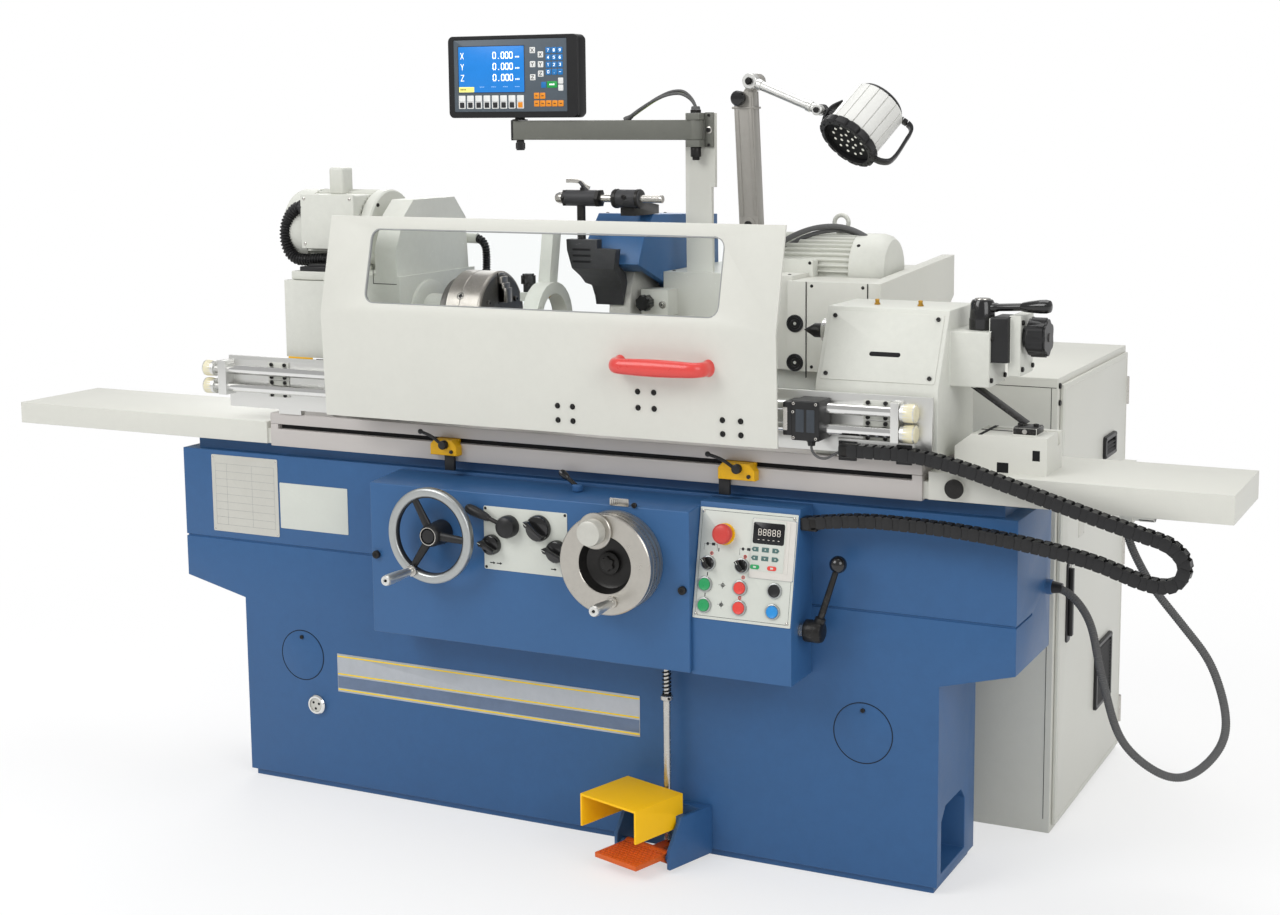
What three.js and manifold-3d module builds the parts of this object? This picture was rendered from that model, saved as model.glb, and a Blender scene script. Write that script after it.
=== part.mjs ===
// Cylindrical grinding machine, in millimetres, +Z up.
// The origin is on the floor under the work axis, at the middle of the bed. X runs along the table to the
// right, Y runs from the operator to the back. The work axis runs along X at y = 0.
import * as THREE from "three";
import { mergeVertices } from "three/addons/utils/BufferGeometryUtils.js";
import Module from "manifold-3d";

const wasm = await Module();
wasm.setup();

// Looks
const PAINT_BLUE = { color: 0x4a6e9c, roughness: 0.45, metalness: 0.05 };
const PAINT_WHITE = { color: 0xdedfd6, roughness: 0.5, metalness: 0.05 };
const PAINT_YELLOW = { color: 0xfac30a, roughness: 0.45, metalness: 0.05 };
const PAINT_ORANGE = { color: 0xdc5f23, roughness: 0.5, metalness: 0.05 };
const GROUND_IRON = { color: 0x96908a, roughness: 0.35, metalness: 0.8 };
const BRIGHT_STEEL = { color: 0xc8c8c6, roughness: 0.25, metalness: 0.9 };
const SATIN_ALUMINIUM = { color: 0xb8b8b4, roughness: 0.4, metalness: 0.85 };
const BLACK_PLASTIC = { color: 0x232324, roughness: 0.5, metalness: 0 };
const BLACK_RUBBER = { color: 0x1c1c1c, roughness: 0.8, metalness: 0 };
const GREY_PLASTIC = { color: 0x4b4848, roughness: 0.5, metalness: 0.1 };
const RED_PLASTIC = { color: 0xeb5a55, roughness: 0.4, metalness: 0 };
const GREEN_PLASTIC = { color: 0x1e9a57, roughness: 0.4, metalness: 0 };
const BLUE_PLASTIC = { color: 0x2e8fd0, roughness: 0.4, metalness: 0 };
const CLEAR_PANE = { color: 0xdfe9ea, roughness: 0.05, metalness: 0 };

// Clearances and section counts
const SEAT = 0.3; // between two pieces that touch
const SLIP = 0.5; // between a moving piece and the piece that guides it
const OVERRUN = 4; // how far a cut runs past the face that it opens
const ROUND = 32; // sides of a large turned piece
const SMALL_ROUND = 16; // sides of a small turned piece

// Main places that several pieces share
const WORK_HEIGHT = 1075; // work axis above the floor
const BED_FRONT = -110;
const BED_BACK = 128;
const TABLE_BOTTOM = 778;

// Helpers
const group = new THREE.Group();

/** A manifold-3d solid of a closed three.js geometry, turned the right way out. */
function solid(geometry) {
  const bare = new THREE.BufferGeometry();
  const source = geometry.index ? geometry.toNonIndexed() : geometry;
  bare.setAttribute("position", source.getAttribute("position"));
  const merged = mergeVertices(bare, 1e-3);
  const index = merged.index.array;
  const kept = [];
  for (let i = 0; i < index.length; i += 3) {
    const [a, b, c] = [index[i], index[i + 1], index[i + 2]];
    if (a !== b && b !== c && a !== c) kept.push(a, b, c);
  }
  const build = (triVerts) =>
    new wasm.Manifold(
      new wasm.Mesh({
        numProp: 3,
        vertProperties: merged.attributes.position.array,
        triVerts: new Uint32Array(triVerts),
      }),
    );
  const made = build(kept);
  return made.volume() < 0 ? build(kept.reverse()) : made;
}

const join = (...pieces) => pieces.flat().reduce((a, b) => a.add(b));
const cut = (body, ...tools) => tools.flat().reduce((a, b) => a.subtract(b), body);

/** Adds a solid to the part as a named mesh. */
function piece(name, body, looks) {
  const { numProp, vertProperties, triVerts, numVert } = body.getMesh();
  const points = new Float32Array(numVert * 3);
  for (let i = 0; i < numVert; i++) {
    points.set(vertProperties.subarray(i * numProp, i * numProp + 3), i * 3);
  }
  const geometry = new THREE.BufferGeometry();
  geometry.setAttribute("position", new THREE.BufferAttribute(points, 3));
  geometry.setIndex(new THREE.BufferAttribute(triVerts, 1));
  geometry.computeVertexNormals();
  const mesh = new THREE.Mesh(geometry, new THREE.MeshStandardMaterial(looks));
  mesh.name = name;
  group.add(mesh);
}

/** A box between two corners, each given as [x, y, z]. */
function box(low, high) {
  const [lx, ly, lz] = low;
  const [hx, hy, hz] = high;
  const geometry = new THREE.BoxGeometry(hx - lx, hy - ly, hz - lz);
  return solid(geometry.translate((lx + hx) / 2, (ly + hy) / 2, (lz + hz) / 2));
}

function extruded(outline, depth) {
  const shape = new THREE.Shape(outline.map(([a, b]) => new THREE.Vector2(a, b)));
  return new THREE.ExtrudeGeometry(shape, { depth, bevelEnabled: false, curveSegments: 8 });
}

/** An outline of [y, z] points, run along X. */
function alongX(from, to, outline) {
  const turn = new THREE.Matrix4().set(0, 0, 1, from, 1, 0, 0, 0, 0, 1, 0, 0, 0, 0, 0, 1);
  return solid(extruded(outline, to - from).applyMatrix4(turn));
}

/** An outline of [x, z] points, run along Y. */
function alongY(from, to, outline) {
  const turn = new THREE.Matrix4().set(1, 0, 0, 0, 0, 0, -1, to, 0, 1, 0, 0, 0, 0, 0, 1);
  return solid(extruded(outline, to - from).applyMatrix4(turn));
}

/** An outline of [x, y] points, run along Z. */
function alongZ(from, to, outline) {
  return solid(extruded(outline, to - from).translate(0, 0, from));
}

/** Turns a geometry built along +Y so that it runs from a point in a direction. */
function aimed(geometry, start, direction) {
  const up = new THREE.Vector3(0, 1, 0);
  const spin = new THREE.Quaternion().setFromUnitVectors(up, direction.clone().normalize());
  return geometry.applyQuaternion(spin).translate(start.x, start.y, start.z);
}

const at = (x, y, z) => new THREE.Vector3(x, y, z);

/** A turned piece: its profile is a list of [distance along, radius] from start in a direction. */
function turned(start, direction, profile, sides = SMALL_ROUND) {
  const points = profile.map(([along, radius]) => new THREE.Vector2(radius, along));
  const first = new THREE.Vector2(0, points[0].y);
  const last = new THREE.Vector2(0, points[points.length - 1].y);
  const geometry = new THREE.LatheGeometry([first, ...points, last], sides);
  return solid(aimed(geometry, start, direction));
}

/** A round bar from one point to another. */
function bar(from, to, radius, sides = SMALL_ROUND) {
  const way = to.clone().sub(from);
  return turned(from, way, [[0, radius], [way.length(), radius]], sides);
}

/** A ring of round section about an axis. */
function ring(centre, direction, radius, section, sides = ROUND, steps = 10) {
  const points = [];
  for (let i = 0; i <= steps; i++) {
    const turn = (2 * Math.PI * (i % steps)) / steps;
    points.push(new THREE.Vector2(radius + section * Math.cos(turn), section * Math.sin(turn)));
  }
  return solid(aimed(new THREE.LatheGeometry(points, sides), centre, direction));
}

function ball(centre, radius, sides = SMALL_ROUND) {
  const geometry = new THREE.SphereGeometry(radius, sides, Math.round(sides / 2));
  return solid(geometry.translate(centre.x, centre.y, centre.z));
}

/** A round tube through points. */
function tube(points, radius, steps, sides = 10) {
  const section = new THREE.Shape();
  for (let i = 0; i < sides; i++) {
    const turn = (2 * Math.PI * i) / sides;
    const [a, b] = [radius * Math.cos(turn), radius * Math.sin(turn)];
    if (i === 0) section.moveTo(a, b);
    else section.lineTo(a, b);
  }
  const path = new THREE.CatmullRomCurve3(points, false, "centripetal");
  return solid(new THREE.ExtrudeGeometry(section, { steps, extrudePath: path, curveSegments: 1 }));
}

/** Turns a solid by degrees about the Z line through (x, y). */
function turnedAboutZ(body, degrees, x, y) {
  const move = new THREE.Matrix4()
    .makeTranslation(x, y, 0)
    .multiply(new THREE.Matrix4().makeRotationZ(THREE.MathUtils.degToRad(degrees)))
    .multiply(new THREE.Matrix4().makeTranslation(-x, -y, 0));
  return body.transform(move.elements);
}

// Bed
const BED = {
  left: -993,
  right: 960,
  beamLow: 455,
  beamTop: 752,
  legLeft: -832,
  legRight: 812,
  beamFoot: 417,
  floor: 15,
  plinthInset: 9,
  rimTop: 774,
  rimLeft: -960,
  rimRight: 930,
  rimInset: 18,
  wayTop: TABLE_BOTTOM - SEAT,
};
const WAYS = { frontLow: -85, frontHigh: -45, backLow: 60, backHigh: 110 };
const REAR_BASE = { left: 20, right: 559.5, front: 162, back: 790, top: 888 };
const POCKET = { front: -85, back: 65, bottom: 35, shoulder: 140, top: 165, taper: 25, depth: 65 };
const SEAM = { low: 547, height: 4, depth: 3 };

function makeBed() {
  const beam = alongY(BED_FRONT, BED_BACK, [
    [BED.left, BED.beamLow],
    [BED.legLeft, BED.beamFoot],
    [BED.legRight, BED.beamFoot],
    [BED.right, BED.beamLow],
    [BED.right, BED.beamTop],
    [BED.left, BED.beamTop],
  ]);
  const leg = box([BED.legLeft, BED_FRONT, BED.floor], [BED.legRight, BED_BACK, BED.beamTop]);
  const inset = BED.plinthInset;
  const plinth = box(
    [BED.legLeft + inset, BED_FRONT + inset, 0],
    [BED.legRight - inset, BED_BACK - inset, BED.beamFoot],
  );
  const rim = box(
    [BED.rimLeft, BED_FRONT + BED.rimInset, BED.beamLow],
    [BED.rimRight, BED_BACK - BED.rimInset, BED.rimTop],
  );
  const frontWay = box(
    [BED.rimLeft, WAYS.frontLow, BED.beamTop],
    [BED.rimRight, WAYS.frontHigh, BED.wayTop],
  );
  const backWay = box(
    [BED.rimLeft, WAYS.backLow, BED.beamTop],
    [BED.rimRight, WAYS.backHigh, BED.wayTop],
  );
  const rear = box(
    [REAR_BASE.left, 0, BED.floor],
    [REAR_BASE.right, REAR_BASE.back, BED.beamTop],
  );
  const rearTop = box(
    [REAR_BASE.left, REAR_BASE.front, BED.beamFoot],
    [REAR_BASE.right, REAR_BASE.back, REAR_BASE.top],
  );
  const rearFoot = box(
    [REAR_BASE.left + inset, 0, 0],
    [REAR_BASE.right - inset, REAR_BASE.back - inset, BED.beamFoot],
  );
  const pocketOutline = [
    [POCKET.front, POCKET.bottom],
    [POCKET.back, POCKET.bottom],
    [POCKET.back, POCKET.shoulder],
    [POCKET.back - POCKET.taper, POCKET.top],
    [POCKET.front + POCKET.taper, POCKET.top],
    [POCKET.front, POCKET.shoulder],
  ];
  const pockets = [
    alongX(BED.legRight - POCKET.depth, BED.legRight + OVERRUN, pocketOutline),
    alongX(BED.legLeft - OVERRUN, BED.legLeft + POCKET.depth, pocketOutline),
  ];
  const seamTop = SEAM.low + SEAM.height;
  const seam = cut(
    box([BED.left - OVERRUN, BED_FRONT - OVERRUN, SEAM.low], [BED.right + OVERRUN, 0, seamTop]),
    box(
      [BED.left + SEAM.depth, BED_FRONT + SEAM.depth, SEAM.low - OVERRUN],
      [BED.right - SEAM.depth, OVERRUN, seamTop + OVERRUN],
    ),
  );
  const gland = bar(
    at(BED.right - OVERRUN, GLAND.y, GLAND.z),
    at(BED.right + GLAND.long, GLAND.y, GLAND.z),
    GLAND.radius,
  );
  const body = join(beam, leg, plinth, rim, frontWay, backWay, rear, rearTop, rearFoot);
  piece("bed", join(cut(body, pockets, seam), gland), PAINT_BLUE);
}

// Apron: the housing of the hand controls on the bed front
const APRON = {
  left: -400,
  right: 342,
  front: -225,
  bottom: 417,
  top: 747,
  frontTop: 738,
};
// Control box: its upper face leans back
const CONTROL = { right: 552, front: -216, lean: -171, bottom: 414, edge: 525, top: 750 };
const PANEL = { side: 2, thick: 1.5, low: 3, high: 219 };
const KEYPAD = { left: 457.5, right: 548, low: 91.6, high: 205.8, thick: 3 };
// Places of the controls on the leaning panel: x, and the distance up from the panel's lower edge
const BEZEL = { outer: 14.75, inner: 12.6, height: 4, bore: 8 };
const CAP = { radius: 12, proud: 3, below: 2 };
const STOP_RING = { outer: 21, inner: 9.5, height: 3, bore: 12 };
const STOP = {
  across: 400.3,
  up: 169.8,
  radius: 20,
  head: 16,
  neck: 9,
  gap: 6,
  stem: 5,
  shoulderShare: 0.7,
  topShare: 0.72,
};
const BUTTONS = [
  { name: "button_green_upper", across: 366.1, up: 69.5, looks: GREEN_PLASTIC },
  { name: "button_green_lower", across: 367.5, up: 28.8, looks: GREEN_PLASTIC },
  { name: "button_red_upper", across: 440.6, up: 69.3, looks: RED_PLASTIC },
  { name: "button_red_lower", across: 441.8, up: 30.9, looks: RED_PLASTIC },
  { name: "button_black", across: 512.7, up: 70.9, looks: BLACK_PLASTIC },
  { name: "button_blue", across: 511.9, up: 30.7, looks: BLUE_PLASTIC },
];
const SELECTORS = [
  { name: "selector_left", across: 370.1, up: 110.7 },
  { name: "selector_right", across: 441.2, up: 111.7 },
];
const SELECTOR = { radius: 12, height: 5, grip: 6, gripHigh: 13 };

const boxFront = BED_FRONT - SEAT;
const panelUp = at(0, CONTROL.lean - CONTROL.front, CONTROL.top - CONTROL.edge).normalize();
const panelOut = at(0, -panelUp.z, panelUp.y);

/** A point on the leaning panel's plate: x, the distance up the panel and the distance out of it. */
function onPanel(across, up, out) {
  const base = at(across, CONTROL.front, CONTROL.edge);
  return base.addScaledVector(panelUp, up).addScaledVector(panelOut, out);
}

/** A slab on the leaning panel between two places and two distances out of it. */
function panelSlab(left, right, low, high, inner, outer) {
  const corner = (up, out) => {
    const p = onPanel(0, up, out);
    return [p.y, p.z];
  };
  return alongX(left, right, [
    corner(low, inner),
    corner(low, outer),
    corner(high, outer),
    corner(high, inner),
  ]);
}

function makeApron() {
  const body = alongX(APRON.left, APRON.right, [
    [boxFront, APRON.bottom],
    [APRON.front, APRON.bottom],
    [APRON.front, APRON.frontTop],
    [boxFront, APRON.top],
  ]);
  const boreFloor = at(rodPlace.x, rodPlace.y, APRON.bottom - OVERRUN);
  const rodBore = turned(boreFloor, at(0, 0, 1), [[0, ROD.bore], [ROD.boreDeep, ROD.bore]]);
  piece("apron_housing", cut(body, rodBore), PAINT_BLUE);
}

function makeControlBox() {
  const left = APRON.right + SEAT;
  const body = alongX(left, CONTROL.right, [
    [boxFront, CONTROL.bottom],
    [CONTROL.front, CONTROL.bottom],
    [CONTROL.front, CONTROL.edge],
    [CONTROL.lean, CONTROL.top],
    [boxFront, CONTROL.top],
  ]);
  const inside = -PANEL.thick;
  const plateLeft = left + PANEL.side;
  const plateRight = CONTROL.right - PANEL.side;
  const plate = panelSlab(plateLeft, plateRight, PANEL.low, PANEL.high, inside, PANEL.thick);
  const keys = panelSlab(KEYPAD.left, KEYPAD.right, KEYPAD.low, KEYPAD.high, inside, KEYPAD.thick);
  const rings = [];
  const bores = [];
  const seat = (item, size) => {
    const foot = onPanel(item.across, item.up, inside);
    const high = PANEL.thick + size.height - inside;
    rings.push(turned(foot, panelOut, [[0, size.outer], [high, size.outer]]));
    const floor = onPanel(item.across, item.up, PANEL.thick - size.bore);
    bores.push(turned(floor, panelOut, [[0, size.inner], [size.bore + OVERRUN + high, size.inner]]));
  };
  [...BUTTONS, ...SELECTORS].forEach((item) => seat(item, BEZEL));
  seat(STOP, STOP_RING);
  piece("control_box", cut(join(body, plate, keys, rings), bores), PAINT_BLUE);
}

function makePanelControls() {
  for (const { name, across, up, looks } of BUTTONS) {
    const foot = onPanel(across, up, PANEL.thick - CAP.below);
    const height = CAP.below + BEZEL.height + CAP.proud;
    piece(name, turned(foot, panelOut, [[0, CAP.radius], [height, CAP.radius]]), looks);
  }
  for (const { name, across, up } of SELECTORS) {
    const out = PANEL.thick - CAP.below;
    const high = PANEL.thick + BEZEL.height + SELECTOR.height;
    const base = turned(onPanel(across, up, out), panelOut, [
      [0, SELECTOR.radius],
      [high - out, SELECTOR.radius],
    ]);
    const left = across - SELECTOR.grip / 2;
    const right = across + SELECTOR.grip / 2;
    const low = up - SELECTOR.radius + SEAT;
    const top = up + SELECTOR.radius - SEAT;
    const grip = panelSlab(left, right, low, top, out, high + SELECTOR.gripHigh);
    piece(name, join(base, grip), BLACK_PLASTIC);
  }
  const stem = STOP_RING.height + STOP.gap + STOP.stem;
  const foot = onPanel(STOP.across, STOP.up, PANEL.thick - STOP.stem);
  const head = [
    [0, STOP.neck],
    [stem, STOP.neck],
    [stem, STOP.radius],
    [stem + STOP.head * STOP.shoulderShare, STOP.radius],
    [stem + STOP.head, STOP.radius * STOP.topShare],
  ];
  piece("emergency_stop", turned(foot, panelOut, head, 24), RED_PLASTIC);
}

// Hand controls on the apron. Each turned piece starts at the apron's front face and runs to the operator.
const WHEEL = {
  x: -222,
  z: 649,
  radius: 90,
  section: 10,
  plane: 43,
  hub: 26,
  hubLong: 56,
  spoke: 16,
  neckShare: 0.7,
  stepShare: 0.6,
  spokes: 3,
  spokeTurnShare: 0.325,
};
const GRIP_SHARES = {
  taperShare: 0.75,
  neckShare: 0.08,
  rootShare: 0.12,
  bellyShare: 0.6,
  headShare: 0.9,
  headWideShare: 0.95,
};
const WHEEL_GRIP = { x: -263, z: 574, radius: 11.5, length: 92, neck: 7, boss: 9 };
const DRUM = {
  x: 188,
  z: 631,
  radius: 100,
  long: 60,
  groove: 3,
  dish: 57.5,
  dishDeep: 24,
  footShare: 0.96,
  footLongShare: 0.12,
  bands: 3,
  bandStartShare: 0.14,
  bandPitchShare: 0.28,
  bandWideShare: 0.2,
  grooveStartShare: 0.21,
  grooveEndShare: 0.27,
};
const DRUM_HUB = { radius: 24, topShare: 0.8 };
const DRUM_GRIP = { x: 204, z: 559, radius: 11.5, length: 72, neck: 7, boss: 9 };
const FINE_KNOB = { x: 170, z: 698, flange: 36, thick: 7, radius: 26, long: 33 };
const TOWARDS = at(0, -1, 0);
const controlFace = APRON.front - SEAT;

function gripOf(name, size, start) {
  const taper = size.radius * GRIP_SHARES.taperShare;
  const profile = [
    [0, size.neck],
    [size.length * GRIP_SHARES.neckShare, size.neck],
    [size.length * GRIP_SHARES.rootShare, taper],
    [size.length * GRIP_SHARES.bellyShare, size.radius],
    [size.length * GRIP_SHARES.headShare, size.radius * GRIP_SHARES.headWideShare],
    [size.length, size.neck],
  ];
  piece(name, turned(at(size.x, start, size.z), TOWARDS, profile), SATIN_ALUMINIUM);
}

function makeTableHandwheel() {
  const centre = at(WHEEL.x, controlFace - WHEEL.plane, WHEEL.z);
  const rim = ring(centre, TOWARDS, WHEEL.radius, WHEEL.section);
  const hub = turned(at(WHEEL.x, controlFace, WHEEL.z), TOWARDS, [
    [0, WHEEL.hub * WHEEL.neckShare],
    [WHEEL.hubLong * WHEEL.stepShare, WHEEL.hub * WHEEL.neckShare],
    [WHEEL.hubLong * WHEEL.stepShare, WHEEL.hub],
    [WHEEL.hubLong, WHEEL.hub],
  ]);
  const spokes = [0, 1, 2].map((i) => {
    const turn = (WHEEL.spokeTurnShare + i / WHEEL.spokes) * 2 * Math.PI;
    const tip = centre.clone();
    tip.add(at(WHEEL.radius * Math.cos(turn), 0, WHEEL.radius * Math.sin(turn)));
    return bar(centre, tip, WHEEL.spoke / 2, 8);
  });
  const bossFoot = at(WHEEL_GRIP.x, centre.y, WHEEL_GRIP.z);
  const bossLong = WHEEL.section + WHEEL_GRIP.boss / 2;
  const boss = turned(bossFoot, TOWARDS, [[0, WHEEL_GRIP.boss], [bossLong, WHEEL_GRIP.boss]]);
  piece("table_handwheel", join(rim, hub, spokes, boss), SATIN_ALUMINIUM);
  gripOf("table_handwheel_grip", WHEEL_GRIP, centre.y - bossLong - SEAT);
}

function makeCrossfeedHandwheel() {
  const start = at(DRUM.x, controlFace, DRUM.z);
  const inner = DRUM.radius - DRUM.groove;
  const foot = inner * DRUM.footShare;
  const profile = [[0, foot], [DRUM.long * DRUM.footLongShare, foot]];
  for (let i = 0; i < DRUM.bands; i++) {
    const low = DRUM.long * (DRUM.bandStartShare + i * DRUM.bandPitchShare);
    profile.push([low, DRUM.radius], [low + DRUM.long * DRUM.bandWideShare, DRUM.radius]);
    profile.push([low + DRUM.long * DRUM.grooveStartShare, inner]);
    profile.push([low + DRUM.long * DRUM.grooveEndShare, inner]);
  }
  profile.push([DRUM.long, inner]);
  const drum = turned(start, TOWARDS, profile, ROUND);
  const floor = at(DRUM.x, controlFace - DRUM.long + DRUM.dishDeep, DRUM.z);
  const dish = turned(floor, TOWARDS, [[0, DRUM.dish], [DRUM.dishDeep + OVERRUN, DRUM.dish]], ROUND);
  const hubLong = DRUM.long - DRUM.dishDeep / 2;
  const hub = turned(start, TOWARDS, [[0, DRUM_HUB.radius], [hubLong, DRUM_HUB.radius * DRUM_HUB.topShare]]);
  const front = controlFace - DRUM.long;
  const bossFoot = at(DRUM_GRIP.x, front + DRUM.dishDeep / 2, DRUM_GRIP.z);
  const bossLong = DRUM.dishDeep / 2 + DRUM_GRIP.boss / 2;
  const boss = turned(bossFoot, TOWARDS, [[0, DRUM_GRIP.boss], [bossLong, DRUM_GRIP.boss]]);
  piece("crossfeed_handwheel", join(cut(drum, dish), hub, boss), SATIN_ALUMINIUM);
  gripOf("crossfeed_grip", DRUM_GRIP, front - DRUM_GRIP.boss / 2 - SEAT);
  const knob = turned(at(FINE_KNOB.x, front - SEAT, FINE_KNOB.z), TOWARDS, [
    [0, FINE_KNOB.flange],
    [FINE_KNOB.thick, FINE_KNOB.flange],
    [FINE_KNOB.thick, FINE_KNOB.radius],
    [FINE_KNOB.long, FINE_KNOB.radius],
  ]);
  piece("fine_feed_knob", knob, SATIN_ALUMINIUM);
}

// Knobs and levers of the apron, and the ball lever at the right of the control box
const POINTER_KNOBS = [
  { name: "pointer_knob_upper", x: 9, z: 677, radius: 27, lean: 35 },
  { name: "pointer_knob_left", x: -102, z: 633, radius: 21, lean: 25 },
  { name: "pointer_knob_right", x: 50, z: 633, radius: 23, lean: 20 },
];
const POINTER_KNOB = { thick: 14, grip: 9, proud: 18, topShare: 0.92, tailShare: 0.85, pointShare: 1.15 };
const BALL_LEVER = {
  x: -60,
  z: 675,
  radius: 23,
  long: 26,
  arm: 4.5,
  reach: 88,
  rise: 31,
  ball: 11,
  topShare: 0.8,
};
const TOP_LEVER = {
  x: 60,
  y: -157,
  radius: 11,
  high: 14,
  topShare: 0.8,
  arm: 4.5,
  tipX: 25,
  tipZ: 778,
  ball: 8,
};
const SIDE_LEVER = {
  rootShare: 0.6,
  endShare: 0.7,
  y: -170,
  z: 515,
  hub: 22,
  long: 48,
  arm: 6,
  tipY: -160,
  tipX: 625,
  tipZ: 648,
  ball: 17,
};

function makeApronKnobs() {
  for (const { name, x, z, radius, lean } of POINTER_KNOBS) {
    const base = turned(at(x, controlFace, z), TOWARDS, [
      [0, radius],
      [POINTER_KNOB.thick, radius * POINTER_KNOB.topShare],
    ]);
    const tilt = THREE.MathUtils.degToRad(lean);
    const way = at(Math.cos(tilt), 0, Math.sin(tilt)).multiplyScalar(radius);
    const side = at(-Math.sin(tilt), 0, Math.cos(tilt)).multiplyScalar(POINTER_KNOB.grip / 2);
    const corner = (a, b) => [x + a * way.x + b * side.x, z + a * way.z + b * side.z];
    const front = controlFace - POINTER_KNOB.thick - POINTER_KNOB.proud;
    const grip = alongY(front, controlFace - POINTER_KNOB.thick / 2, [
      corner(-POINTER_KNOB.tailShare, -1),
      corner(POINTER_KNOB.pointShare, -1),
      corner(POINTER_KNOB.pointShare, 1),
      corner(-POINTER_KNOB.tailShare, 1),
    ]);
    piece(name, join(base, grip), BLACK_PLASTIC);
  }
  const start = at(BALL_LEVER.x, controlFace, BALL_LEVER.z);
  const hub = turned(start, TOWARDS, [
    [0, BALL_LEVER.radius],
    [BALL_LEVER.long, BALL_LEVER.radius * BALL_LEVER.topShare],
  ]);
  const root = start.clone().add(at(0, -BALL_LEVER.long / 2, 0));
  const tip = root.clone().add(at(-BALL_LEVER.reach, 0, BALL_LEVER.rise));
  const lever = join(hub, bar(root, tip, BALL_LEVER.arm, 10), ball(tip, BALL_LEVER.ball));
  piece("ball_lever_knob", lever, BLACK_PLASTIC);
}

function makeLevers() {
  const slope = (APRON.top - APRON.frontTop) / (boxFront - APRON.front);
  const highest = APRON.top - slope * (boxFront - TOP_LEVER.y - TOP_LEVER.radius);
  const foot = at(TOP_LEVER.x, TOP_LEVER.y, highest + SEAT);
  const up = at(0, 0, 1);
  const hub = turned(foot, up, [
    [0, TOP_LEVER.radius],
    [TOP_LEVER.high, TOP_LEVER.radius * TOP_LEVER.topShare],
  ]);
  const root = foot.clone().add(at(0, 0, TOP_LEVER.high / 2));
  const tip = at(TOP_LEVER.tipX, TOP_LEVER.y, TOP_LEVER.tipZ);
  const arm = bar(root, tip, TOP_LEVER.arm, 10);
  piece("reversing_lever", join(hub, arm, ball(tip, TOP_LEVER.ball, 12)), BLACK_PLASTIC);

  const side = at(CONTROL.right + SEAT, SIDE_LEVER.y, SIDE_LEVER.z);
  const boss = turned(side, at(1, 0, 0), [
    [0, SIDE_LEVER.hub],
    [SIDE_LEVER.long * SIDE_LEVER.rootShare, SIDE_LEVER.hub],
    [SIDE_LEVER.long, SIDE_LEVER.hub * SIDE_LEVER.endShare],
  ]);
  const from = side.clone().add(at(SIDE_LEVER.long * SIDE_LEVER.rootShare, 0, 0));
  const knob = at(SIDE_LEVER.tipX, SIDE_LEVER.tipY, SIDE_LEVER.tipZ);
  const lever = join(boss, bar(from, knob, SIDE_LEVER.arm, 10), ball(knob, SIDE_LEVER.ball));
  piece("feed_ball_lever", lever, BLACK_PLASTIC);
}

// Foot pedal. It is drawn square to the bed and then turned about a Z line.
const PEDAL = {
  pinShare: 0.8,
  turn: -17,
  x: 207.5,
  y: -215,
  left: 164.5,
  right: 278.5,
  front: -280,
  bottom: 24,
  thick: 10,
  pivotY: -186,
  pivotZ: 25,
  hub: 13,
  rearEnd: -126,
  rearWide: 26,
  rearHigh: 31,
};
const GUARD = { left: 130, right: 285, front: -286, back: -149, top: 150, low: 82, sheet: 5 };
const CHEEK = { thick: 9, low: 8, high: 108, front: -204, back: -95, gap: 21 };
const ROD = {
  x: 233,
  y: -139,
  radius: 7.5,
  upper: 6,
  tip: 1,
  cone: 7,
  collarZ: 341,
  collar: 12.5,
  collarHigh: 10,
  end: 423,
  bore: 7.4,
  boreDeep: 26,
};
const SPRING = { coils: 9, mean: 8.3, wire: 1.2, lead: 2.4 };

const pedalTurned = (body) => turnedAboutZ(body, PEDAL.turn, PEDAL.x, PEDAL.y);

/** The place of a point drawn square to the bed once the pedal is turned. */
function pedalPoint(x, y, z) {
  const axis = at(0, 0, 1);
  const turn = THREE.MathUtils.degToRad(PEDAL.turn);
  return at(x - PEDAL.x, y - PEDAL.y, z).applyAxisAngle(axis, turn).add(at(PEDAL.x, PEDAL.y, 0));
}

const rodPlace = pedalPoint(ROD.x, ROD.y, 0);

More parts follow.
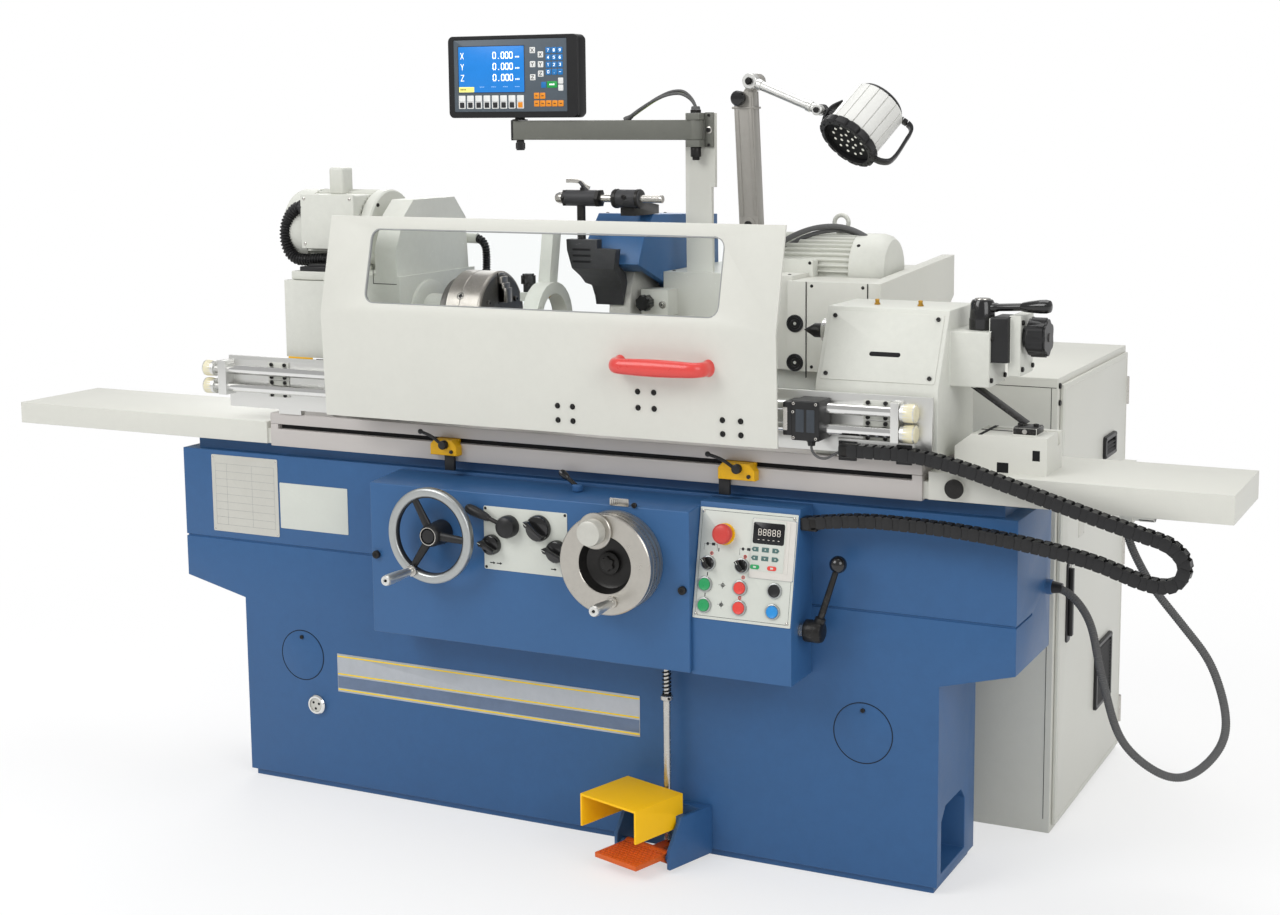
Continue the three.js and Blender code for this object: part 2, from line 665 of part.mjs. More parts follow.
function makePedal() {
  const plate = box(
    [PEDAL.left, PEDAL.front, PEDAL.bottom],
    [PEDAL.right, PEDAL.pivotY, PEDAL.bottom + PEDAL.thick],
  );
  const across = at(1, 0, 0);
  const pivot = at(PEDAL.left, PEDAL.pivotY, PEDAL.pivotZ);
  const width = PEDAL.right - PEDAL.left;
  const hub = turned(pivot, across, [[0, PEDAL.hub], [width, PEDAL.hub]]);
  const arm = box(
    [ROD.x - PEDAL.rearWide / 2, PEDAL.pivotY, PEDAL.bottom - PEDAL.thick / 2],
    [ROD.x + PEDAL.rearWide / 2, PEDAL.rearEnd, PEDAL.rearHigh - SEAT],
  );
  piece("pedal", pedalTurned(join(plate, hub, arm)), PAINT_ORANGE);

  const guardLeft = GUARD.left;
  const shell = cut(
    box([guardLeft, GUARD.front, GUARD.low], [GUARD.right, GUARD.back, GUARD.top]),
    box(
      [guardLeft + GUARD.sheet, GUARD.front - OVERRUN, GUARD.low - OVERRUN],
      [GUARD.right - GUARD.sheet, GUARD.back + OVERRUN, GUARD.top - GUARD.sheet],
    ),
  );
  const cheeks = [PEDAL.left - CHEEK.gap, PEDAL.right + CHEEK.gap - CHEEK.thick].map((left) =>
    alongX(left, left + CHEEK.thick, [
      [CHEEK.front, CHEEK.low],
      [CHEEK.back, CHEEK.low],
      [CHEEK.back, CHEEK.high],
      [GUARD.back - CHEEK.gap, CHEEK.high],
      [CHEEK.front, PEDAL.pivotZ + CHEEK.gap],
    ]),
  );
  const pins = [PEDAL.left - CHEEK.gap, PEDAL.right + SEAT].map((left) =>
    bar(
      at(left, PEDAL.pivotY, PEDAL.pivotZ),
      at(left + CHEEK.gap - SEAT, PEDAL.pivotY, PEDAL.pivotZ),
      PEDAL.hub * PEDAL.pinShare,
    ),
  );
  const cheekLeft = PEDAL.left - CHEEK.gap;
  const cheekRight = PEDAL.right + CHEEK.gap;
  const strips = [
    [guardLeft, cheekLeft + CHEEK.thick],
    [GUARD.right - GUARD.sheet, cheekRight],
  ].map(([from, to]) =>
    box([from, GUARD.back - CHEEK.gap, GUARD.low], [to, GUARD.back, CHEEK.high]),
  );
  const tie = box(
    [PEDAL.left - CHEEK.gap, GUARD.back + CHEEK.gap * 2, CHEEK.low],
    [PEDAL.right + CHEEK.gap, CHEEK.back + CHEEK.gap * 2, CHEEK.high],
  );
  const turnedBracket = pedalTurned(join(shell, cheeks, pins, strips, tie));
  const bedSide = box(
    [BED.legLeft, BED_FRONT - SEAT, -OVERRUN],
    [BED.legRight, BED_BACK, BED.beamTop],
  );
  piece("pedal_bracket", cut(turnedBracket, bedSide), PAINT_BLUE);
}

function makePedalRod() {
  const { x, y } = rodPlace;
  const foot = PEDAL.rearHigh;
  const profile = [
    [0, ROD.tip],
    [ROD.cone, ROD.radius],
    [ROD.collarZ - ROD.collarHigh - foot, ROD.radius],
    [ROD.collarZ - ROD.collarHigh - foot, ROD.collar],
    [ROD.collarZ - foot, ROD.collar],
    [ROD.collarZ - foot, ROD.upper],
    [ROD.end - foot, ROD.upper],
  ];
  piece("pedal_rod", turned(at(x, y, foot), at(0, 0, 1), profile), BRIGHT_STEEL);
}

/** A tube of 5 sides through many points, closed at both ends. */
function woundTube(points, radius) {
  const sides = 5;
  const positions = [];
  let across = at(1, 0, 0);
  points.forEach((point, i) => {
    const ahead = points[Math.min(i + 1, points.length - 1)];
    const behind = points[Math.max(i - 1, 0)];
    const way = ahead.clone().sub(behind).normalize();
    across = across.clone().addScaledVector(way, -across.dot(way)).normalize();
    const other = way.clone().cross(across);
    for (let k = 0; k < sides; k++) {
      const turn = (2 * Math.PI * k) / sides;
      const p = point.clone().addScaledVector(across, radius * Math.cos(turn));
      p.addScaledVector(other, radius * Math.sin(turn));
      positions.push(p.x, p.y, p.z);
    }
  });
  const faces = [];
  for (let i = 0; i + 1 < points.length; i++) {
    for (let k = 0; k < sides; k++) {
      const a = i * sides + k;
      const b = i * sides + ((k + 1) % sides);
      faces.push(a, b, b + sides, a, b + sides, a + sides);
    }
  }
  const end = (points.length - 1) * sides;
  for (let k = 1; k + 1 < sides; k++) {
    faces.push(0, k + 1, k, end, end + k, end + k + 1);
  }
  const geometry = new THREE.BufferGeometry();
  geometry.setAttribute("position", new THREE.Float32BufferAttribute(positions, 3));
  geometry.setIndex(faces);
  return solid(geometry);
}

/** The least gap between two places of a wound tube that are over half a turn apart. */
function leastGap(points, radius, apart) {
  let least = Infinity;
  points.forEach((p, i) => {
    for (let j = i + apart; j < points.length; j++) {
      least = Math.min(least, p.distanceTo(points[j]) - 2 * radius);
    }
  });
  return least;
}

function makePedalSpring() {
  const { x, y } = rodPlace;
  const low = ROD.collarZ + SEAT;
  const high = APRON.bottom - SEAT;
  const steps = 8;
  const turns = SPRING.coils;
  const points = [at(x + SPRING.mean, y, low)];
  const rise = high - low - 2 * SPRING.lead;
  for (let i = 0; i <= turns * steps; i++) {
    const turn = (2 * Math.PI * i) / steps;
    const z = low + SPRING.lead + (rise * i) / (turns * steps);
    points.push(at(x + SPRING.mean * Math.cos(turn), y + SPRING.mean * Math.sin(turn), z));
  }
  points.push(at(x + SPRING.mean, y, high));
  piece("pedal_spring", woundTube(points, SPRING.wire), BRIGHT_STEEL);
  const gap = leastGap(points, SPRING.wire, steps - 2);
  console.log("pedal_spring: least gap to itself " + gap.toFixed(2) + " mm");
}

// Table: the lower table slides on the bed, the upper table swivels on it and carries the rails and door
const TABLE = { left: -727, right: 780, front: -130, back: 130, top: 851 };
const JOINT_LINE = 827; // underside of the upper table
const SLOT = { bottom: 816, deep: 14, closed: 20 };
const SWIVEL = { x: 26, room: 12 };
const TRAY = { front: -128, back: 130, low: 781, high: 830, sheet: 5, tongue: 34, left: -1463 };
const RIGHT_TRAY = { low: 782, high: 835, right: 1350 };
const SCALE_BLOCK = { left: 829, right: 1005, front: -88, back: 22, top: 905, step: 880, slot: 16 };
const SCALE_CLAMP = { left: 935, right: 980, front: -70, back: -20, top: 919 };
const TRAY_KNOB = { x: 845, radius: 18, long: 12, z: 808 };

function makeTable() {
  const low = box(
    [TABLE.left, TABLE.front, TABLE_BOTTOM],
    [TABLE.right, TABLE.back, JOINT_LINE - SEAT],
  );
  const slot = box(
    [TABLE.left + SLOT.closed, TABLE.front - OVERRUN, SLOT.bottom],
    [TABLE.right - SLOT.closed, TABLE.front + SLOT.deep, JOINT_LINE + OVERRUN],
  );
  piece("lower_table", cut(low, slot), GROUND_IRON);
  const upper = box([TABLE.left, TABLE.front, JOINT_LINE], [TABLE.right, TABLE.back, TABLE.top]);
  piece("upper_table", upper, GROUND_IRON);
}

/** An inverted sheet tray beyond one end of the table. */
function tray(inner, outer, low, high) {
  const near = Math.min(inner, outer);
  const far = Math.max(inner, outer);
  const sheet = TRAY.sheet;
  const shell = cut(
    box([near, TRAY.front, low], [far, TRAY.back, high]),
    box(
      [near + sheet, TRAY.front + sheet, low - OVERRUN],
      [far - sheet, TRAY.back - sheet, high - sheet],
    ),
  );
  return shell;
}

function makeTrays() {
  const leftStart = TABLE.left - SWIVEL.room;
  const tongueTop = TRAY.low + TRAY.tongue;
  const leftTongue = box(
    [leftStart - TRAY.sheet, TRAY.front + TRAY.sheet, TRAY.low],
    [TABLE.left - SEAT, TRAY.back - TRAY.sheet, tongueTop],
  );
  const leftTray = tray(leftStart, TRAY.left, TRAY.low, TRAY.high);
  piece("way_guard_left", join(leftTray, leftTongue), PAINT_WHITE);

  const rightStart = TABLE.right + SWIVEL.room;
  const rightTongue = box(
    [TABLE.right + SEAT, TRAY.front + TRAY.sheet, RIGHT_TRAY.low],
    [rightStart + TRAY.sheet, TRAY.back - TRAY.sheet, tongueTop],
  );
  const rightTray = tray(rightStart, RIGHT_TRAY.right, RIGHT_TRAY.low, RIGHT_TRAY.high);
  const block = alongY(SCALE_BLOCK.front, SCALE_BLOCK.back, [
    [SCALE_BLOCK.left, RIGHT_TRAY.high - TRAY.sheet],
    [SCALE_BLOCK.right, RIGHT_TRAY.high - TRAY.sheet],
    [SCALE_BLOCK.right, SCALE_BLOCK.top],
    [SCALE_BLOCK.left + SCALE_BLOCK.slot * 2, SCALE_BLOCK.top],
    [SCALE_BLOCK.left, SCALE_BLOCK.step],
  ]);
  const groove = box(
    [SCALE_BLOCK.left - OVERRUN, SCALE_BLOCK.back - SCALE_BLOCK.slot * 2, SCALE_BLOCK.step],
    [SCALE_BLOCK.right + OVERRUN, SCALE_BLOCK.back - SCALE_BLOCK.slot, SCALE_CLAMP.top],
  );
  const clamp = box(
    [SCALE_CLAMP.left, SCALE_CLAMP.front, SCALE_BLOCK.step],
    [SCALE_CLAMP.right, SCALE_CLAMP.back, SCALE_CLAMP.top],
  );
  const knob = bar(
    at(TRAY_KNOB.x, TRAY.front + TRAY.sheet / 2, TRAY_KNOB.z),
    at(TRAY_KNOB.x, TRAY.front - TRAY_KNOB.long, TRAY_KNOB.z),
    TRAY_KNOB.radius,
  );
  const hoseClamp = box(
    [HOSE_CLAMP.left, HOSE_CLAMP.front, HOSE_CLAMP.low],
    [HOSE_CLAMP.right, HOSE_CLAMP.back, RIGHT_TRAY.high - TRAY.sheet / 2],
  );
  const hanger = box(
    [HOSE_CLAMP.left, TRAY.back - TRAY.sheet / 2, RIGHT_TRAY.low],
    [HOSE_CLAMP.right, HOSE_CLAMP.back, RIGHT_TRAY.high - TRAY.sheet / 2],
  );
  const middle = (HOSE_CLAMP.front + HOSE_CLAMP.back) / 2;
  const hoseKnob = bar(
    at(HOSE_CLAMP.left + OVERRUN, middle, HOSE_CLAMP.z),
    at(HOSE_CLAMP.knobEnd, middle, HOSE_CLAMP.z),
    HOSE_CLAMP.knob,
  );
  const scale = join(cut(block, groove), clamp);
  const hoseHolder = join(hanger, hoseClamp, hoseKnob);
  piece("way_guard_right", join(rightTray, rightTongue, scale, knob, hoseHolder), PAINT_WHITE);
}

// Table dogs, held in the slot of the lower table
const DOG = { front: -152, low: 792, lip: 10, fingerFront: -141, fingerWide: 24, fingerThick: 8, drop: 33 };
const DOG_LEVER = { radius: 9, long: 12, arm: 4, reach: 52, tipZ: 842 };
const DOGS = [
  { name: "table_dog_left", left: -296, right: -231, fingerAt: -256 },
  { name: "table_dog_right", left: 369, right: 448, fingerAt: 378 },
];

function makeDogs() {
  for (const { name, left, right, fingerAt } of DOGS) {
    const back = TABLE.front - SEAT;
    const block = box([left, DOG.front, DOG.low], [right, back, JOINT_LINE - SEAT]);
    const lip = box(
      [left, back - OVERRUN, SLOT.bottom + SLIP],
      [right, back + DOG.lip, JOINT_LINE - SLIP],
    );
    const finger = box(
      [fingerAt, DOG.fingerFront, DOG.low - DOG.drop],
      [fingerAt + DOG.fingerWide, DOG.fingerFront + DOG.fingerThick, DOG.low + OVERRUN],
    );
    const middle = (left + right) / 2;
    const mid = (DOG.low + JOINT_LINE) / 2;
    const boss = bar(at(middle, DOG.front + OVERRUN, mid), at(middle, DOG.front - DOG_LEVER.long, mid),
      DOG_LEVER.radius);
    const root = at(middle, DOG.front - DOG_LEVER.long / 2, mid);
    const tip = at(middle - DOG_LEVER.reach, DOG.front - DOG_LEVER.long, DOG_LEVER.tipZ);
    const lever = bar(root, tip, DOG_LEVER.arm, 8);
    piece(name, join(block, lip, finger, boss, lever), PAINT_YELLOW);
  }
}

// Rails that the door slides on
const RAIL = { y: -150, radius: 10, upper: 946, lower: 907, left: -881, right: 774 };
const BUMPER = { radius: 17.5, long: 28 };
const RAIL_PLATE = { left: -832, right: 800, front: -134, back: -126, low: 861, high: 975 };
const RAIL_FOOT = { back: -120.5, high: 892, leftAt: [-700, -640], rightAt: [628, 690] };
const RAIL_BLOCK = { front: -164, low: 890, high: 966, leftAt: [-840, -818], rightAt: [728, 744] };
const HANGER = { left: 616, right: 766, low: 855, front: -143.5 };
const SWITCH = { left: 525, right: 600, front: -198, back: -163, low: 888, high: 965 };
const SWITCH_ARM = { left: 545, right: 580, low: 921, high: 932 };

function makeRails() {
  const plate = box(
    [RAIL_PLATE.left, RAIL_PLATE.front, RAIL_PLATE.low],
    [RAIL_PLATE.right, RAIL_PLATE.back, RAIL_PLATE.high],
  );
  const feet = [RAIL_FOOT.leftAt, RAIL_FOOT.rightAt].map(([from, to]) =>
    box([from, RAIL_PLATE.front, TABLE.top + SEAT], [to, RAIL_FOOT.back, RAIL_FOOT.high]),
  );
  const blocks = [RAIL_BLOCK.leftAt, RAIL_BLOCK.rightAt].map(([from, to]) =>
    box([from, RAIL_BLOCK.front, RAIL_BLOCK.low], [to, RAIL_PLATE.back, RAIL_BLOCK.high]),
  );
  const hanger = box(
    [HANGER.left, HANGER.front, HANGER.low],
    [HANGER.right, RAIL_PLATE.back, RAIL_PLATE.low + BUMPER.long],
  );
  const rods = [RAIL.upper, RAIL.lower].flatMap((z) => [
    bar(at(RAIL.left, RAIL.y, z), at(RAIL.right, RAIL.y, z), RAIL.radius, 20),
    bar(at(RAIL.left, RAIL.y, z), at(RAIL.left + BUMPER.long, RAIL.y, z), BUMPER.radius, 20),
    bar(at(RAIL.right - BUMPER.long, RAIL.y, z), at(RAIL.right, RAIL.y, z), BUMPER.radius, 20),
  ]);
  piece("rail_frame", join(plate, feet, blocks, hanger, rods), SATIN_ALUMINIUM);
  const body = box(
    [SWITCH.left, SWITCH.front, SWITCH.low],
    [SWITCH.right, SWITCH.back, SWITCH.high],
  );
  const arm = box(
    [SWITCH_ARM.left, SWITCH.back - OVERRUN, SWITCH_ARM.low],
    [SWITCH_ARM.right, RAIL_PLATE.front - SEAT, SWITCH_ARM.high],
  );
  piece("safety_switch", join(body, arm), BLACK_PLASTIC);
}

// Splash door
const DOOR = {
  left: -515,
  right: 521,
  bottom: 872,
  bottomY: -210,
  fold: 1089,
  foldY: -220,
  top: 1291,
  topY: -170,
  sheet: 5,
};
const WINDOW = { left: -410, right: 400, low: 1114, high: 1267, corner: 22, lap: 14, pane: 3 };
const BEARING = { wide: 46, high: 32, back: -139, bore: 10.6 };
const BEARINGS = [
  { x: 57, z: RAIL.lower },
  { x: 420, z: RAIL.lower },
  { x: 236, z: RAIL.upper },
];
const HANDLE = { left: 192, right: 381, z: 1019, reach: 42, radius: 17, bend: 22 };

/** The door's outer face at a height. */
function doorFace(z) {
  if (z <= DOOR.fold) {
    const share = (z - DOOR.bottom) / (DOOR.fold - DOOR.bottom);
    return DOOR.bottomY + share * (DOOR.foldY - DOOR.bottomY);
  }
  const share = (z - DOOR.fold) / (DOOR.top - DOOR.fold);
  return DOOR.foldY + share * (DOOR.topY - DOOR.foldY);
}

function roundedOutline(left, right, low, high, corner) {
  const steps = 4;
  const outline = [];
  const corners = [
    [right - corner, low + corner, -90],
    [right - corner, high - corner, 0],
    [left + corner, high - corner, 90],
    [left + corner, low + corner, 180],
  ];
  for (const [x, z, start] of corners) {
    for (let i = 0; i <= steps; i++) {
      const turn = THREE.MathUtils.degToRad(start + (90 * i) / steps);
      outline.push([x + corner * Math.cos(turn), z + corner * Math.sin(turn)]);
    }
  }
  return outline;
}

function makeDoor() {
  const heights = [DOOR.bottom, DOOR.fold, DOOR.top];
  const outer = heights.map((z) => [doorFace(z), z]);
  const inner = heights.map((z) => [doorFace(z) + DOOR.sheet, z]).reverse();
  const sheet = alongX(DOOR.left, DOOR.right, [...outer, ...inner]);
  const opening = alongY(
    DOOR.foldY - OVERRUN,
    DOOR.topY + DOOR.sheet + OVERRUN,
    roundedOutline(WINDOW.left, WINDOW.right, WINDOW.low, WINDOW.high, WINDOW.corner),
  );
  const blocks = BEARINGS.map(({ x, z }) => {
    const half = BEARING.wide / 2;
    const face = doorFace(z) + DOOR.sheet / 2;
    const low = z - BEARING.high / 2;
    const block = box([x - half, face, low], [x + half, BEARING.back, low + BEARING.high]);
    const bore = bar(at(x - half - OVERRUN, RAIL.y, z), at(x + half + OVERRUN, RAIL.y, z), BEARING.bore, 20);
    return cut(block, bore);
  });
  piece("door_panel", join(cut(sheet, opening), blocks), PAINT_WHITE);

  const paneHeights = [WINDOW.low - WINDOW.lap, WINDOW.high + WINDOW.lap];
  const near = DOOR.sheet + SEAT;
  const pane = alongX(WINDOW.left - WINDOW.lap, WINDOW.right + WINDOW.lap, [
    ...paneHeights.map((z) => [doorFace(z) + near, z]),
    ...paneHeights.map((z) => [doorFace(z) + near + WINDOW.pane, z]).reverse(),
  ]);
  piece("door_window", pane, CLEAR_PANE);

  const face = doorFace(HANDLE.z);
  const out = face - HANDLE.reach;
  const bend = HANDLE.bend;
  const grip = tube(
    [
      at(HANDLE.left, face + DOOR.sheet, HANDLE.z),
      at(HANDLE.left, face - bend / 2, HANDLE.z),
      at(HANDLE.left + bend, out, HANDLE.z),
      at((HANDLE.left + HANDLE.right) / 2, out, HANDLE.z),
      at(HANDLE.right - bend, out, HANDLE.z),
      at(HANDLE.right, face - bend / 2, HANDLE.z),
      at(HANDLE.right, face + DOOR.sheet, HANDLE.z),
    ],
    HANDLE.radius,
    24,
    12,
  );
  const limits = [HANDLE.z - HANDLE.reach, HANDLE.z + HANDLE.reach];
  const wall = alongX(HANDLE.left - HANDLE.reach, HANDLE.right + HANDLE.reach, [
    ...limits.map((z) => [doorFace(z) - SEAT, z]),
    ...limits.map((z) => [doorFace(z) + DOOR.sheet * 3, z]).reverse(),
  ]);
  piece("door_handle", cut(grip, wall), RED_PLASTIC);
}

// Workhead: a round pedestal that swivels on the table, with the casting, the covers and the motor on it
const HEAD = {
  x: -488,
  pedestal: 108,
  left: -586,
  right: -390,
  front: -110,
  back: 190,
  floor: 976,
  top: 1160,
  boxLeft: -691,
  boxTop: 1144,
  boxBack: 60,
  nose: 42,
};
const COVER = { left: -450, right: -395, top: 1320, shoulder: 1289, edge: 1217, back: 173 };
const COVER_SLOPES = { front: -77, upper: -41, upperBack: 120, lowBack: 165, lowEdge: 1273 };
const HEAD_MOTOR = { y: 40, z: 1250, radius: 88, left: -735, right: -505, hub: 60, cap: 18, foot: 60 };
const TERMINAL = { left: -678, right: -538, front: -60, low: 1210, high: 1329 };
const CONDUIT_BOX = { left: -675, right: -600, high: 1372, front: -30, back: 70 };
const CONDUIT = { radius: 13.5, y: -50 };
const CHUCK = { back: -315, ring: -290, face: -206, radius: 95, ringRadius: 78, bore: 26 };
const JAW = { proud: 20, wide: 26, inner: 30, outer: 84, step: 60 };
const WORK_AXIS = at(1, 0, 0);

function makeWorkhead() {
  const pedestal = turned(at(HEAD.x, 0, TABLE.top + SEAT), at(0, 0, 1), [
    [0, HEAD.pedestal],
    [HEAD.floor - TABLE.top, HEAD.pedestal],
  ], ROUND);
  const casting = box([HEAD.left, HEAD.front, HEAD.floor], [HEAD.right, HEAD.back, HEAD.top]);
  const side = box([HEAD.boxLeft, HEAD.front, HEAD.floor], [HEAD.left + OVERRUN, HEAD.boxBack, HEAD.boxTop]);
  const cover = alongX(COVER.left, COVER.right, [
    [HEAD.front, HEAD.top - OVERRUN],
    [HEAD.front, COVER.edge],
    [COVER_SLOPES.front, COVER.shoulder],
    [COVER_SLOPES.upper, COVER.top],
    [COVER_SLOPES.upperBack, COVER.top],
    [COVER_SLOPES.lowBack, COVER_SLOPES.lowEdge],
    [COVER.back, HEAD.top - OVERRUN],
  ]);
  const nose = bar(
    at(HEAD.right - OVERRUN, 0, WORK_HEIGHT),
    at(CHUCK.back - SEAT, 0, WORK_HEIGHT),
    HEAD.nose,
    ROUND,
  );
  piece("workhead_body", join(pedestal, casting, side, cover, nose), PAINT_WHITE);

  const axis = (x) => at(x, HEAD_MOTOR.y, HEAD_MOTOR.z);
  const long = HEAD_MOTOR.right - HEAD_MOTOR.left;
  const barrel = turned(axis(HEAD_MOTOR.left), WORK_AXIS, [
    [0, HEAD_MOTOR.hub],
    [HEAD_MOTOR.cap, HEAD_MOTOR.radius],
    [long - HEAD_MOTOR.cap, HEAD_MOTOR.radius],
    [long, HEAD_MOTOR.hub],
  ], 24);
  const middle = (HEAD_MOTOR.left + HEAD_MOTOR.right) / 2;
  const foot = box(
    [HEAD.left + OVERRUN, HEAD_MOTOR.y - HEAD_MOTOR.foot, HEAD.top + SEAT],
    [HEAD_MOTOR.right - HEAD_MOTOR.cap, HEAD_MOTOR.y + HEAD_MOTOR.foot, HEAD_MOTOR.z],
  );
  const terminal = box(
    [TERMINAL.left, TERMINAL.front, TERMINAL.low],
    [TERMINAL.right, HEAD_MOTOR.y, TERMINAL.high],
  );
  const upper = box(
    [CONDUIT_BOX.left, CONDUIT_BOX.front, TERMINAL.high - OVERRUN],
    [CONDUIT_BOX.right, CONDUIT_BOX.back, CONDUIT_BOX.high],
  );
  const support = box(
    [middle - HEAD_MOTOR.cap, CONDUIT_BOX.front, HEAD_MOTOR.z],
    [CONDUIT_BOX.right, CONDUIT_BOX.back, TERMINAL.high],
  );
  const conduitY = CONDUIT.y;
  const conduit = tube(
    [
      at(TERMINAL.left + CONDUIT.radius, conduitY, TERMINAL.high - CONDUIT.radius * 2),
      at(TERMINAL.left - CONDUIT.radius, conduitY, TERMINAL.high - CONDUIT.radius * 2),
      at(HEAD_MOTOR.left, conduitY, HEAD_MOTOR.z),
      at(HEAD.boxLeft - CONDUIT.radius, conduitY, TERMINAL.low - CONDUIT.radius),
      at(HEAD.boxLeft + CONDUIT.radius * 3, conduitY, HEAD.top + CONDUIT.radius),
    ],
    CONDUIT.radius,
    20,
  );
  piece("workhead_motor", join(barrel, foot, terminal, upper, support, conduit), PAINT_WHITE);
}

function makeChuck() {
  const start = at(CHUCK.back, 0, WORK_HEIGHT);
  const toRing = CHUCK.ring - CHUCK.back;
  const long = CHUCK.face - CHUCK.back;
  const body = turned(start, WORK_AXIS, [
    [0, CHUCK.ringRadius],
    [toRing, CHUCK.ringRadius],
    [toRing, CHUCK.radius],
    [long, CHUCK.radius],
  ], ROUND);
  const bore = turned(start, WORK_AXIS, [[toRing, CHUCK.bore], [long + JAW.proud, CHUCK.bore]], 20);
  const jaws = [0, 1, 2].map((i) => {
    const lower = box(
      [CHUCK.face - OVERRUN, -JAW.wide / 2, JAW.inner],
      [CHUCK.face + JAW.proud / 2, JAW.wide / 2, JAW.outer],
    );
    const upper = box(
      [CHUCK.face - OVERRUN, -JAW.wide / 2, JAW.inner],
      [CHUCK.face + JAW.proud, JAW.wide / 2, JAW.step],
    );
    const turn = new THREE.Matrix4().makeRotationX((2 * Math.PI * i) / 3);
    return join(lower, upper)
      .transform(turn.elements)
      .transform(new THREE.Matrix4().makeTranslation(0, 0, WORK_HEIGHT).elements);
  });
  piece("chuck", cut(join(body, jaws), bore), BRIGHT_STEEL);
}

// Steady rest
const STEADY = {
  left: -172,
  right: -22,
  front: -70,
  back: 35,
  foot: 40,
  ringLeft: -112,
  ringRight: -76,
  outer: 76,
  inner: 52,
  arm: 17,
  armTop: 1252,
  armWide: 27,
  armLean: 13,
};
const STEADY_SCREW = { x: -150, z: 1128, radius: 11, high: 26, block: 18 };

function makeSteadyRest() {
  const foot = box(
    [STEADY.left, STEADY.front, TABLE.top + SEAT],
    [STEADY.right, STEADY.back, TABLE.top + STEADY.foot],
  );
  const leg = box(
    [STEADY.ringLeft, -STEADY.inner, TABLE.top + STEADY.foot / 2],
    [STEADY.ringRight, STEADY.back, WORK_HEIGHT - STEADY.inner],
  );
  const from = at(STEADY.ringLeft, 0, WORK_HEIGHT);
  const wide = STEADY.ringRight - STEADY.ringLeft;
  const hoop = turned(from, WORK_AXIS, [[0, STEADY.outer], [wide, STEADY.outer]], 28);
  const hole = turned(from, WORK_AXIS, [[-OVERRUN, STEADY.inner], [wide + OVERRUN, STEADY.inner]], 28);
  const lowArm = WORK_HEIGHT + STEADY.inner + STEADY.arm / 2;
  const arm = alongY(-STEADY.arm / 2, STEADY.arm + STEADY.arm / 2, [
    [STEADY.ringLeft, lowArm],
    [STEADY.ringLeft + STEADY.armWide, lowArm],
    [STEADY.ringLeft + STEADY.armWide + STEADY.armLean, STEADY.armTop],
    [STEADY.ringLeft + STEADY.armLean, STEADY.armTop],
  ]);
  const block = box(
    [STEADY_SCREW.x, -STEADY_SCREW.block, STEADY_SCREW.z - STEADY_SCREW.block],
    [STEADY.ringRight, STEADY_SCREW.block, STEADY_SCREW.z],
  );
  const screw = bar(
    at(STEADY_SCREW.x + STEADY_SCREW.radius, 0, STEADY_SCREW.z - OVERRUN),
    at(STEADY_SCREW.x + STEADY_SCREW.radius, 0, STEADY_SCREW.z + STEADY_SCREW.high),
    STEADY_SCREW.radius,
  );
  piece("steady_rest", join(foot, cut(join(leg, hoop, arm, block), hole), screw), PAINT_WHITE);
}

// Tailstock
const TAIL = {
  left: 560,
  right: 805,
  front: -118,
  back: 105,
  slopeLow: 987,
  slopeTopY: -50,
  top: 1130,
  bore: 24.7,
  boreDeep: 120,
};
const QUILL = { tip: 490, point: 1.5, nose: 512, collar: 532, slim: 14, radius: 24, end: 640 };
const CLAMP_BLOCK = { right: 882, front: -50, back: 60, low: 987, high: 1091 };
const FLANGE = { right: 915, front: -42, back: 42, low: 1034, high: 1118 };
const END_PLATE = { right: 935, front: -28, back: 62, low: 1008, high: 1122 };
const STAR_KNOB = { neck: 20, start: 945, end: 985, radius: 35, z: 1081, topShare: 0.9 };
const STRAP = { thick: 12, front: -40, back: -10, fromX: 846, fromZ: 992, toX: 953, toZ: 922 };
const TAIL_LEVER = {
  topShare: 0.85,
  rootShare: 0.7,
  gripShare: 0.62,
  x: 852,
  y: 2,
  radius: 25,
  high: 58,
  arm: 7,
  grip: 11,
  tipX: 991,
  tipY: -24,
  tipZ: 1142,
};

